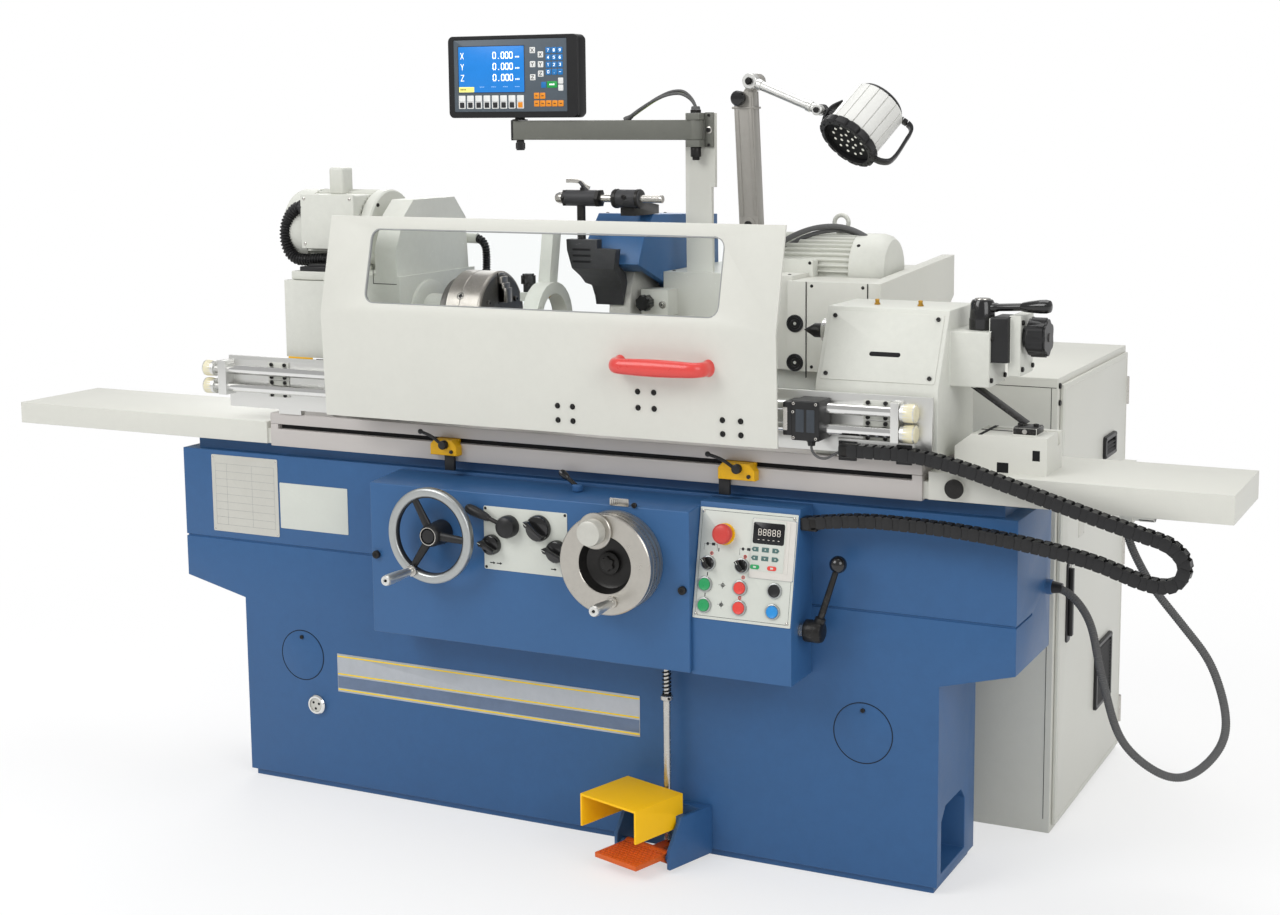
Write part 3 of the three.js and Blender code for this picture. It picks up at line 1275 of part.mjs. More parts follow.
function makeTailstock() {
  const body = alongX(TAIL.left, TAIL.right, [
    [TAIL.front, TABLE.top + SEAT],
    [TAIL.back, TABLE.top + SEAT],
    [TAIL.back, TAIL.top],
    [TAIL.slopeTopY, TAIL.top],
    [TAIL.front, TAIL.slopeLow],
  ]);
  const block = box(
    [TAIL.right - OVERRUN, CLAMP_BLOCK.front, CLAMP_BLOCK.low],
    [CLAMP_BLOCK.right, CLAMP_BLOCK.back, CLAMP_BLOCK.high],
  );
  const flange = box(
    [CLAMP_BLOCK.right - OVERRUN, FLANGE.front, FLANGE.low],
    [FLANGE.right, FLANGE.back, FLANGE.high],
  );
  const plate = box(
    [FLANGE.right - OVERRUN, END_PLATE.front, END_PLATE.low],
    [END_PLATE.right, END_PLATE.back, END_PLATE.high],
  );
  const knob = turned(at(END_PLATE.right - OVERRUN, 0, STAR_KNOB.z), WORK_AXIS, [
    [0, STAR_KNOB.neck],
    [STAR_KNOB.start - END_PLATE.right + OVERRUN, STAR_KNOB.neck],
    [STAR_KNOB.start - END_PLATE.right + OVERRUN, STAR_KNOB.radius],
    [STAR_KNOB.end - END_PLATE.right, STAR_KNOB.radius * STAR_KNOB.topShare],
  ]);
  const strap = alongY(STRAP.front, STRAP.back, [
    [STRAP.fromX - STRAP.thick, STRAP.fromZ],
    [STRAP.toX - STRAP.thick, STRAP.toZ],
    [STRAP.toX, STRAP.toZ],
    [STRAP.fromX, STRAP.fromZ],
  ]);
  const bore = bar(
    at(TAIL.left - OVERRUN, 0, WORK_HEIGHT),
    at(TAIL.left + TAIL.boreDeep, 0, WORK_HEIGHT),
    TAIL.bore,
    ROUND,
  );
  piece("tailstock_body", cut(join(body, block, flange, plate, knob, strap), bore), PAINT_WHITE);

  const quill = turned(at(QUILL.tip, 0, WORK_HEIGHT), WORK_AXIS, [
    [0, QUILL.point],
    [QUILL.nose - QUILL.tip, QUILL.slim],
    [QUILL.collar - QUILL.tip, QUILL.slim],
    [QUILL.collar - QUILL.tip, QUILL.radius],
    [QUILL.end - QUILL.tip, QUILL.radius],
  ], ROUND);
  piece("tailstock_quill", quill, BRIGHT_STEEL);

  const foot = at(TAIL_LEVER.x, TAIL_LEVER.y, CLAMP_BLOCK.high + SEAT);
  const hub = turned(foot, at(0, 0, 1), [
    [0, TAIL_LEVER.radius],
    [TAIL_LEVER.high / 2, TAIL_LEVER.radius],
    [TAIL_LEVER.high, TAIL_LEVER.radius * TAIL_LEVER.topShare],
  ], 20);
  const root = foot.clone().add(at(0, 0, TAIL_LEVER.high * TAIL_LEVER.rootShare));
  const tip = at(TAIL_LEVER.tipX, TAIL_LEVER.tipY, TAIL_LEVER.tipZ);
  const gripStart = root.clone().lerp(tip, TAIL_LEVER.gripShare);
  const lever = join(hub, bar(root, tip, TAIL_LEVER.arm, 10), bar(gripStart, tip, TAIL_LEVER.grip, 12));
  piece("tailstock_lever", lever, BLACK_PLASTIC);
}

// Wheelhead: cross slide, housing, hood, wheel and motor
const SLIDE = { left: 60, right: 520, front: 200, back: 640, top: 968, cornerWide: 62, cornerDeep: 190 };
const HOUSING = {
  left: 92,
  step: 387,
  guard: 563,
  right: 591,
  leftFront: 175,
  front: 160,
  back: 645,
  leftTop: 1164,
  top: 1155,
  backTop: 1181,
  guardCut: 450,
  guardLow: 1090,
};
const BAY = { left: 222, right: 562, front: 282, back: 460, floor: 1080 };
const DRIVE = { y: 370, z: 1165, radius: 78, left: 232, right: 552, cap: 26, hub: 48, footHalf: 50 };
const EYE = { x: 425, radius: 16, section: 5, stem: 8 };
const DRESSER = { left: 62, right: 125, front: 128, low: WORK_HEIGHT, tall: 55, knob: 15, knobLong: 26 };
const POST = { left: 140, right: 209, neckRight: 201, neckTop: 1345, front: 190, back: 200, top: 1500 };
const ARM = { y: 174, half: 12, low: 1444, high: 1486, hub: 15.5, pivotX: 172, end: -269, ear: 14 };
const CONSOLE = { left: -424, right: -97, low: 1492, high: 1670, front: 152, back: 196, stemX: -255 };
const CONSOLE_STEM = { radius: 11 };
const HOOD = {
  left: -40,
  lowFront: 59,
  lip: 1187,
  noseY: 65,
  noseZ: 1201,
  browY: 84,
  browZ: 1238,
  crownY: 133,
  crownZ: 1289,
  back: 455,
  backTop: 1274,
  heelY: 330,
  chinY: 190,
  chinZ: 1138,
  cavityLeft: -30,
  cavityRight: 72,
};
const GRINDER = {
  y: 270,
  radius: 172,
  left: 0,
  right: 50,
  hub: 60,
  hubEndShare: 0.6,
  hubLong: 12,
  spindle: 30,
  room: 12,
};

const slideTop = SLIDE.top;
const housingFloor = slideTop + SEAT;

function makeCrossSlide() {
  // Its left front corner is cut off, to leave room for the wheel when the wheelhead swivels
  const body = alongZ(REAR_BASE.top + SEAT, slideTop, [
    [SLIDE.left + SLIDE.cornerWide, SLIDE.front],
    [SLIDE.right, SLIDE.front],
    [SLIDE.right, SLIDE.back],
    [SLIDE.left, SLIDE.back],
    [SLIDE.left, SLIDE.front + SLIDE.cornerDeep],
  ]);
  piece("cross_slide", body, PAINT_WHITE);
}

function makeHousing() {
  const left = box(
    [HOUSING.left, HOUSING.leftFront, housingFloor],
    [HOUSING.step + OVERRUN, HOUSING.back, HOUSING.leftTop],
  );
  const right = box(
    [HOUSING.step, HOUSING.front, housingFloor],
    [HOUSING.guard + OVERRUN, HOUSING.back, HOUSING.top],
  );
  const guard = alongX(HOUSING.guard, HOUSING.right, [
    [HOUSING.front, housingFloor],
    [HOUSING.guardCut, housingFloor],
    [HOUSING.back, HOUSING.guardLow],
    [HOUSING.back, HOUSING.backTop],
    [HOUSING.front, HOUSING.top],
  ]);
  const bay = box(
    [BAY.left, BAY.front, BAY.floor],
    [BAY.right, BAY.back, HOUSING.backTop + OVERRUN],
  );
  const post = alongY(POST.front, POST.back, [
    [POST.left, HOUSING.leftTop - OVERRUN],
    [POST.neckRight, HOUSING.leftTop - OVERRUN],
    [POST.neckRight, POST.neckTop],
    [POST.right, POST.neckTop],
    [POST.right, POST.top],
    [POST.left, POST.top],
  ]);
  const ears = [ARM.low - SEAT - ARM.ear, ARM.high + SEAT].map((z) =>
    box([ARM.pivotX - ARM.hub, ARM.y - ARM.hub, z], [ARM.pivotX + ARM.hub, POST.back, z + ARM.ear]),
  );
  const dresser = box(
    [DRESSER.left, DRESSER.front, DRESSER.low],
    [DRESSER.right, HOUSING.leftFront + OVERRUN, DRESSER.low + DRESSER.tall],
  );
  const dresserMid = DRESSER.low + DRESSER.tall / 2;
  const dresserKnob = bar(
    at(DRESSER.left + DRESSER.knob, DRESSER.front + OVERRUN, dresserMid),
    at(DRESSER.left + DRESSER.knob, DRESSER.front - DRESSER.knobLong, dresserMid),
    DRESSER.knob,
  );
  const lampStub = bar(
    at(LAMP.x, LAMP.y, HOUSING.leftTop - OVERRUN),
    at(LAMP.x, LAMP.y, LAMP.stubTop),
    LAMP.stub,
  );
  const body = join(cut(join(left, right, guard), bay), post, ears, dresser, dresserKnob, lampStub);
  piece("wheelhead_housing", body, PAINT_WHITE);
}

function makeHood() {
  const right = HOUSING.left - SEAT;
  const outer = alongX(HOOD.left, right, [
    [HOOD.lowFront, HOOD.lip],
    [HOOD.noseY, HOOD.noseZ],
    [HOOD.browY, HOOD.browZ],
    [HOOD.crownY, HOOD.crownZ],
    [HOOD.back, HOOD.backTop],
    [HOOD.back, housingFloor],
    [HOOD.heelY, housingFloor],
    [HOOD.chinY, HOOD.chinZ],
  ]);
  const axis = (x) => at(x, GRINDER.y, WORK_HEIGHT);
  const room = GRINDER.radius + GRINDER.room;
  const cavity = bar(axis(HOOD.cavityLeft), axis(HOOD.cavityRight), room, 40);
  const spindle = bar(axis(HOOD.cavityRight - OVERRUN), axis(right + OVERRUN), GRINDER.spindle + SLIP, 24);
  piece("wheel_hood", cut(outer, cavity, spindle), PAINT_BLUE);

  const long = GRINDER.right - GRINDER.left;
  const wheel = turned(axis(GRINDER.left - GRINDER.hubLong), WORK_AXIS, [
    [0, GRINDER.hub * GRINDER.hubEndShare],
    [GRINDER.hubLong, GRINDER.hub],
    [GRINDER.hubLong, GRINDER.radius],
    [GRINDER.hubLong + long, GRINDER.radius],
    [GRINDER.hubLong + long, GRINDER.spindle],
    [HOUSING.left - SEAT - GRINDER.left + GRINDER.hubLong, GRINDER.spindle],
  ], 40);
  piece("grinding_wheel", wheel, GREY_PLASTIC);
}

function makeWheelMotor() {
  const long = DRIVE.right - DRIVE.left;
  const barrel = turned(at(DRIVE.left, DRIVE.y, DRIVE.z), WORK_AXIS, [
    [0, DRIVE.hub],
    [DRIVE.cap, DRIVE.radius],
    [long - DRIVE.cap, DRIVE.radius],
    [long, DRIVE.hub],
  ], 28);
  const foot = box(
    [DRIVE.left + DRIVE.cap * 2, DRIVE.y - DRIVE.footHalf, BAY.floor + SEAT],
    [DRIVE.right - DRIVE.cap * 2, DRIVE.y + DRIVE.footHalf, DRIVE.z],
  );
  const top = DRIVE.z + DRIVE.radius;
  const stem = bar(at(EYE.x, DRIVE.y, DRIVE.z), at(EYE.x, DRIVE.y, top + EYE.section * 2), EYE.stem, 12);
  const eyeAt = at(EYE.x, DRIVE.y, top + EYE.section + EYE.radius);
  const eye = ring(eyeAt, at(0, 1, 0), EYE.radius, EYE.section, 20, 8);
  piece("wheel_motor", join(barrel, foot, stem, eye), PAINT_WHITE);
}

// Coolant nozzle in front of the hood, with its pipe, tap, rod and clamp
const NOZZLE_FRONT_SHARES = [
  [0, 1],
  [0.62, 1],
  [0.62, 0.87],
  [1, 0.86],
  [0.86, 0],
  [0.31, 0],
  [0.3, 0.3],
  [0.19, 0.33],
  [0.01, 0.84],
];
const NOZZLE = { left: -65, right: 52, low: 1098, high: 1238 };
const NOZZLE_SIDE = {
  front: 34,
  back: 56,
  shoulder: 1178,
  neckY: 60,
  neckZ: 1160,
  throatY: 80,
  throatZ: 1137,
  biteY: 91,
  biteZ: 1115,
  tipY: 94.5,
  heelY: 97.5,
  backY: 104,
  backZ: 1145,
  rootY: 90,
  rootZ: 1168,
  jointZ: 1184,
};
const TAP = { y: 47, z: 1325, pipeX: -35, pipe: 9, left: -88, right: 156, rod: 8 };
const TAP_BODY = { left: -72, right: 9, radius: 17, nose: 11 };
const TAP_CLAMP = { left: 44, right: 107, radius: 19, footLeft: 58, footRight: 92, back: 158 };
const TAP_HANDLE = { x: -8, toX: -38, rise: 34, radius: 4 };

function makeCoolant() {
  const wide = NOZZLE.right - NOZZLE.left;
  const tall = NOZZLE.high - NOZZLE.low;
  const front = alongY(
    0,
    HOOD.crownY,
    NOZZLE_FRONT_SHARES.map(([a, b]) => [NOZZLE.left + a * wide, NOZZLE.low + b * tall]),
  );
  const side = alongX(NOZZLE.left - OVERRUN, NOZZLE.right + OVERRUN, [
    [NOZZLE_SIDE.tipY, NOZZLE.low],
    [NOZZLE_SIDE.heelY, NOZZLE.low],
    [NOZZLE_SIDE.backY, NOZZLE_SIDE.backZ],
    [NOZZLE_SIDE.rootY, NOZZLE_SIDE.rootZ],
    [NOZZLE_SIDE.back, NOZZLE_SIDE.jointZ],
    [NOZZLE_SIDE.back, NOZZLE.high],
    [NOZZLE_SIDE.front, NOZZLE.high],
    [NOZZLE_SIDE.front, NOZZLE_SIDE.shoulder],
    [NOZZLE_SIDE.neckY, NOZZLE_SIDE.neckZ],
    [NOZZLE_SIDE.throatY, NOZZLE_SIDE.throatZ],
    [NOZZLE_SIDE.biteY, NOZZLE_SIDE.biteZ],
  ]);
  const pipe = bar(at(TAP.pipeX, TAP.y, NOZZLE.high - OVERRUN), at(TAP.pipeX, TAP.y, TAP.z), TAP.pipe, 12);
  const point = (x) => at(x, TAP.y, TAP.z);
  const rod = bar(point(TAP.left), point(TAP.right), TAP.rod, 12);
  const nose = bar(point(TAP.left), point(TAP_BODY.left + OVERRUN), TAP_BODY.nose, 12);
  const body = bar(point(TAP_BODY.left), point(TAP_BODY.right), TAP_BODY.radius, 16);
  const grip = bar(point(TAP_CLAMP.left), point(TAP_CLAMP.right), TAP_CLAMP.radius, 16);
  const foot = alongX(TAP_CLAMP.footLeft, TAP_CLAMP.footRight, [
    [TAP.y, HOOD.crownZ + SEAT],
    [TAP_CLAMP.back, HOOD.crownZ + SEAT],
    [TAP_CLAMP.back, HOOD.crownZ + TAP_CLAMP.radius],
    [TAP.y, TAP.z],
  ]);
  const handle = bar(
    point(TAP_HANDLE.x),
    at(TAP_HANDLE.toX, TAP.y, TAP.z + TAP_HANDLE.rise),
    TAP_HANDLE.radius,
    8,
  );
  const nozzle = front.intersect(side);
  piece("coolant_nozzle", join(nozzle, pipe, rod, nose, body, grip, foot, handle), BLACK_PLASTIC);
}

function makeDisplay() {
  const up = at(0, 0, 1);
  const hub = turned(at(ARM.pivotX, ARM.y, ARM.low), up, [[0, ARM.hub], [ARM.high - ARM.low, ARM.hub]]);
  const bar1 = box(
    [ARM.end, ARM.y - ARM.half, ARM.low],
    [ARM.pivotX, ARM.y + ARM.half, ARM.high],
  );
  piece("display_arm", join(hub, bar1), GREY_PLASTIC);
  const body = box(
    [CONSOLE.left, CONSOLE.front, CONSOLE.low],
    [CONSOLE.right, CONSOLE.back, CONSOLE.high],
  );
  const stem = bar(
    at(CONSOLE.stemX, ARM.y, ARM.high + SEAT),
    at(CONSOLE.stemX, ARM.y, CONSOLE.low + OVERRUN),
    CONSOLE_STEM.radius,
  );
  piece("display_console", join(body, stem), GREY_PLASTIC);
}

// Lamp on the wheelhead
const LAMP = { x: 280, y: 220, stub: 20, stubTop: 1238, knuckle: 22, lowZ: 1267, highX: 267, highZ: 1544 };
const LAMP_POST = { wide: 44, deep: 30, hubLong: 20, neckShare: 0.8 };
const LAMP_ARM = { hub: 16, tip: 11, radius: 8, startX: 290, startZ: 1565, endX: 440, endZ: 1505, gap: 0.5 };
const LAMP_HEAD = {
  frontX: 506,
  frontZ: 1436,
  backX: 554,
  backZ: 1522,
  depth: 78,
  radius: 68,
  body: 58,
  fin: 66,
  fins: 4,
  back: 40,
  rim: 14,
  bridgeShare: 0.45,
  bridgeWideShare: 0.8,
};

function makeLamp() {
  const forth = at(0, 1, 0);
  const low = at(LAMP.x, LAMP.y - LAMP_POST.deep / 2, LAMP.lowZ);
  const knuckle = turned(low, forth, [[0, LAMP.knuckle], [LAMP_POST.deep, LAMP.knuckle]]);
  const base = at(LAMP.x, LAMP.y, LAMP.stubTop + SEAT);
  const foot = bar(base, at(LAMP.x, LAMP.y, LAMP.lowZ), LAMP.stub);
  const beam = alongY(LAMP.y - LAMP_POST.deep / 2, LAMP.y + LAMP_POST.deep / 2, [
    [LAMP.x - LAMP_POST.wide / 2, LAMP.lowZ],
    [LAMP.x + LAMP_POST.wide / 2, LAMP.lowZ],
    [LAMP.highX + LAMP_POST.wide / 2, LAMP.highZ],
    [LAMP.highX - LAMP_POST.wide / 2, LAMP.highZ],
  ]);
  const elbowY = LAMP.y - LAMP_POST.deep / 2;
  const tab = bar(
    at(LAMP_ARM.startX, elbowY, LAMP_ARM.startZ),
    at(LAMP_ARM.startX, elbowY + LAMP_POST.deep, LAMP_ARM.startZ),
    LAMP_ARM.hub,
  );
  const neck = bar(
    at(LAMP.highX, LAMP.y, LAMP.highZ - LAMP_ARM.hub),
    at(LAMP_ARM.startX, LAMP.y, LAMP_ARM.startZ),
    LAMP_ARM.hub * LAMP_POST.neckShare,
  );
  piece("lamp_post", join(knuckle, foot, beam, neck, tab), SATIN_ALUMINIUM);

  const near = elbowY - LAMP_ARM.gap;
  const armY = near - LAMP_POST.hubLong / 2;
  const hub = (x, z, radius) =>
    bar(at(x, near, z), at(x, near - LAMP_POST.hubLong, z), radius);
  const stick = bar(
    at(LAMP_ARM.startX, armY, LAMP_ARM.startZ),
    at(LAMP_ARM.endX, armY, LAMP_ARM.endZ),
    LAMP_ARM.radius,
    12,
  );
  const tip = hub(LAMP_ARM.endX, LAMP_ARM.endZ, LAMP_ARM.tip);
  piece("lamp_arm", join(hub(LAMP_ARM.startX, LAMP_ARM.startZ, LAMP_ARM.hub), stick, tip), SATIN_ALUMINIUM);

  const headY = LAMP.y;
  const front = at(LAMP_HEAD.frontX, headY - LAMP_HEAD.depth / 2, LAMP_HEAD.frontZ);
  const back = at(LAMP_HEAD.backX, headY + LAMP_HEAD.depth / 2, LAMP_HEAD.backZ);
  const way = back.clone().sub(front);
  const long = way.length();
  const profile = [
    [0, LAMP_HEAD.radius],
    [LAMP_HEAD.rim, LAMP_HEAD.radius],
    [LAMP_HEAD.rim, LAMP_HEAD.body],
  ];
  const pitch = (long - LAMP_HEAD.rim * 2) / LAMP_HEAD.fins;
  for (let i = 0; i < LAMP_HEAD.fins; i++) {
    const start = LAMP_HEAD.rim + LAMP_HEAD.rim / 2 + i * pitch;
    profile.push([start, LAMP_HEAD.body], [start, LAMP_HEAD.fin]);
    profile.push([start + pitch / 2, LAMP_HEAD.fin], [start + pitch / 2, LAMP_HEAD.body]);
  }
  profile.push([long, LAMP_HEAD.back]);
  const head = turned(front, way, profile, 20);
  const knuckleY = near + LAMP_ARM.gap;
  const fork = bar(
    at(LAMP_ARM.endX, knuckleY, LAMP_ARM.endZ),
    at(LAMP_ARM.endX, knuckleY + LAMP_POST.hubLong, LAMP_ARM.endZ),
    LAMP_ARM.tip,
  );
  const bridge = bar(
    at(LAMP_ARM.endX, knuckleY + LAMP_POST.hubLong / 2, LAMP_ARM.endZ),
    front.clone().lerp(back, LAMP_HEAD.bridgeShare),
    LAMP_ARM.tip * LAMP_HEAD.bridgeWideShare,
  );
  piece("lamp_head", join(head, fork, bridge), SATIN_ALUMINIUM);
}

// Electrical cabinet behind the bed's right end
const CABINET = { left: 560, right: 925, front: 295, back: 900, top: 963, sheet: 4, frame: 22 };
const CABINET_DOOR = { thick: 8, margin: 14, handleY: 370, handleWide: 12, handleLow: 410, handleHigh: 551 };

function makeCabinet() {
  const outer = box([CABINET.left, CABINET.front, 0], [CABINET.right, CABINET.back, CABINET.top]);
  const sheet = CABINET.sheet;
  const inner = box(
    [CABINET.left + sheet, CABINET.front + sheet, sheet],
    [CABINET.right - sheet, CABINET.back - sheet, CABINET.top - sheet],
  );
  const mouth = box(
    [CABINET.right - sheet * 2, CABINET.front + CABINET.frame, CABINET.frame],
    [CABINET.right + OVERRUN, CABINET.back - CABINET.frame, CABINET.top - CABINET.frame],
  );
  piece("electrical_cabinet", cut(outer, inner, mouth), PAINT_WHITE);
  const face = CABINET.right + SEAT;
  const margin = CABINET_DOOR.margin;
  const door = box(
    [face, CABINET.front + margin, margin],
    [face + CABINET_DOOR.thick, CABINET.back - margin, CABINET.top - margin],
  );
  const handle = box(
    [face + CABINET_DOOR.thick - OVERRUN, CABINET_DOOR.handleY, CABINET_DOOR.handleLow],
    [
      face + CABINET_DOOR.thick + CABINET_DOOR.handleWide,
      CABINET_DOOR.handleY + CABINET_DOOR.handleWide,
      CABINET_DOOR.handleHigh,
    ],
  );
  piece("cabinet_door", join(door, handle), PAINT_WHITE);
}

// Energy chain from the control box to the rails, and the cable hose from the bed to the right guard
const CHAIN = { front: -172, back: -144, half: 12.5, steps: 70 };
const CHAIN_ROUTE = [
  [552.3, 722],
  [665, 736],
  [781, 737],
  [894, 731],
  [1004, 719],
  [1111, 700],
  [1225, 668],
  [1262, 676],
  [1275, 710],
  [1251, 740],
  [1188, 760],
  [1109, 782],
  [1029, 805],
  [947, 829],
  [860, 853],
  [776, 868],
  [700, 870],
  [630, 870],
];
const HOSE = { radius: 8.5, steps: 60, sides: 8 };
const HOSE_ROUTE = [
  [972.3, 100, 580],
  [992, 100, 580],
  [1041.5, 101, 529.5],
  [1072.5, 104, 408],
  [1121.5, 108, 274.5],
  [1223.5, 113, 224],
  [1305, 119, 312.5],
  [1278, 126, 447],
  [1218, 132, 523],
  [1158.5, 138, 590],
  [1116, 144, 659],
  [1103.5, 146, 691.5],
  [1103.5, 146, 710.7],
];
const GLAND = { y: 100, z: 580, radius: 15, long: 12 };
const HOSE_CLAMP = {
  left: 1091,
  right: 1116,
  front: 134,
  back: 158,
  low: 711,
  knobEnd: 1158,
  knob: 12,
  z: 728,
};

function makeChain() {
  const curve = new THREE.CatmullRomCurve3(
    CHAIN_ROUTE.map(([x, z]) => at(x, 0, z)),
    false,
    "centripetal",
  );
  const upper = [];
  const lower = [];
  for (let i = 0; i <= CHAIN.steps; i++) {
    const p = curve.getPointAt(i / CHAIN.steps);
    const way = curve.getTangentAt(i / CHAIN.steps);
    if (i === 0) way.set(1, 0, 0);
    upper.push([p.x - way.z * CHAIN.half, p.z + way.x * CHAIN.half]);
    lower.push([p.x + way.z * CHAIN.half, p.z - way.x * CHAIN.half]);
  }
  const body = alongY(CHAIN.front, CHAIN.back, [...lower, ...upper.reverse()]);
  piece("energy_chain", body, BLACK_PLASTIC);
}

function makeHose() {
  const points = HOSE_ROUTE.map(([x, y, z]) => at(x, y, z));
  piece("cable_hose", tube(points, HOSE.radius, HOSE.steps, HOSE.sides), BLACK_RUBBER);
}

makeBed();
makeApron();
makeControlBox();
makePanelControls();
makeTableHandwheel();
makeCrossfeedHandwheel();
makeApronKnobs();
makeLevers();
makePedal();
makePedalRod();
makePedalSpring();
makeTable();
makeTrays();
makeDogs();
makeRails();
makeDoor();
makeWorkhead();
makeChuck();
makeSteadyRest();
makeTailstock();
makeCrossSlide();
makeHousing();
makeHood();
makeWheelMotor();
makeCoolant();
makeDisplay();
makeLamp();
makeCabinet();
makeChain();
makeHose();

export default group;
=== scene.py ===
"""The looks of a cylindrical grinding machine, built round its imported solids.

Lengths are in metres, in the frame of the solids: the origin is on the floor under the work axis, X runs
along the table to the right, Y runs from the operator to the back and Z is up.
"""
import logging
import math
from collections.abc import Callable, Sequence
from dataclasses import dataclass
from enum import Enum

import bmesh
import bpy
import numpy as np
from mathutils import Euler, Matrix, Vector


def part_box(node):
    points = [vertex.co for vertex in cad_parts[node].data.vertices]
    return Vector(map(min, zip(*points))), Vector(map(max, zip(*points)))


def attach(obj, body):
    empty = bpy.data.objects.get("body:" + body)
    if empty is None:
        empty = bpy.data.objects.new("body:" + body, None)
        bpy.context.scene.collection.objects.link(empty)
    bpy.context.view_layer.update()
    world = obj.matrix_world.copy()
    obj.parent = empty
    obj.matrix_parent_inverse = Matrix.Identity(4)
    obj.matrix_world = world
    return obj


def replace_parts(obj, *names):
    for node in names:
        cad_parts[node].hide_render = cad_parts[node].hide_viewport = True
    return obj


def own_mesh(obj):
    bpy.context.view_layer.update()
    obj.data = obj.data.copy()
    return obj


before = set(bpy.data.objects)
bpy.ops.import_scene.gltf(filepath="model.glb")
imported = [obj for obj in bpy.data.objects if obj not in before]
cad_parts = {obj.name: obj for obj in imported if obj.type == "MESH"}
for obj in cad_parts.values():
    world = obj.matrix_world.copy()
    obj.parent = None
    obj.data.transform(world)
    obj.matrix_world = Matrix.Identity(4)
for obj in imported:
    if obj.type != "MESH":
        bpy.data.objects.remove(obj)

LOG = logging.getLogger("grinding_machine")
Array = np.ndarray
Numbers = np.ndarray | Sequence
Colour = tuple[float, float, float]
Tree = bpy.types.ShaderNodeTree
Socket = bpy.types.NodeSocket
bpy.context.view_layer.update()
SMOOTH_ANGLE = math.radians(32)
BEVEL_ANGLE = math.radians(38)
FLAT_ANGLE = math.radians(0.6)
WORK_HEIGHT = 1.075
WELD = 1e-6
SOLID_WELD = 2e-5
RIGHT = (1.0, 0.0, 0.0)
LEFT = (-1.0, 0.0, 0.0)
TOWARDS = (0.0, -1.0, 0.0)
AWAY = (0.0, 1.0, 0.0)
UP = (0.0, 0.0, 1.0)
DOWN = (0.0, 0.0, -1.0)


def vec(values: Numbers) -> Array:
    """The values as an array of floats."""
    return np.asarray(values, float)


def unit(values: Numbers) -> Array:
    """The direction of a vector, with length one."""
    v = vec(values)
    return v / np.linalg.norm(v)


def side_axes(direction: Numbers) -> tuple[Array, Array]:
    """Two unit vectors square to a direction and to each other.

    Args:
        direction: the axis, of any length.

    Returns:
        The first lies as near to level as it can, the second is direction x first.
    """
    d = unit(direction)
    guide = vec(UP) if abs(d[2]) < 0.9 else vec(AWAY)
    first = unit(np.cross(guide, d))
    return first, np.cross(d, first)


def spread(count: int) -> Array:
    """That many angles spread evenly over a whole turn."""
    return np.arange(count) * 2 * np.pi / count


def on_circle(angles: Array) -> Array:
    """The points of the unit circle at the given angles."""
    return np.stack([np.cos(angles), np.sin(angles)], -1)


def spokes(angles: Array, axis: Numbers) -> Array:
    """Unit vectors square to an axis, at angles counted from the first of its side axes."""
    first, second = side_axes(axis)
    return np.cos(angles)[:, None] * first + np.sin(angles)[:, None] * second


def grid_faces(rows: int, columns: int, closed: bool = True) -> list[tuple[int, ...]]:
    """Four-sided faces of a grid of points stored row after row.

    Args:
        rows: how many rows the grid has.
        columns: how many points a row has.
        closed: whether the last column joins the first.

    Returns:
        Faces whose normals follow (along the row) x (to the next row).
    """
    last = columns if closed else columns - 1
    r, c = np.meshgrid(np.arange(rows - 1), np.arange(last), indexing="ij")
    n = (c + 1) % columns
    quads = np.stack([r * columns + c, r * columns + n, (r + 1) * columns + n, (r + 1) * columns + c], -1)
    return [tuple(q) for q in quads.reshape(-1, 4).tolist()]


def tube_faces(rows: int, columns: int) -> list[tuple[int, ...]]:
    """The faces of a closed grid, and one flat face for its first and one for its last row."""
    last = (rows - 1) * columns
    return [*grid_faces(rows, columns), tuple(range(columns))[::-1], tuple(range(last, last + columns))]


@dataclass(frozen=True)
class Swing:
    """A turn about an axis through a point, by an angle in radians."""

    point: tuple
    axis: tuple
    angle: float

    def applied(self, points: Array) -> Array:
        """Turned points: p' = c + d cos(a) + (k x d) sin(a) + k (k . d)(1 - cos(a)), with d = p - c.

        Args:
            points: the points p, (n, 3).

        Returns:
            The turned points.
        """
        k = unit(self.axis)
        d = vec(points) - vec(self.point)
        c, s = math.cos(self.angle), math.sin(self.angle)
        return vec(self.point) + d * c + np.cross(k, d) * s + (d @ k)[..., None] * k * (1 - c)


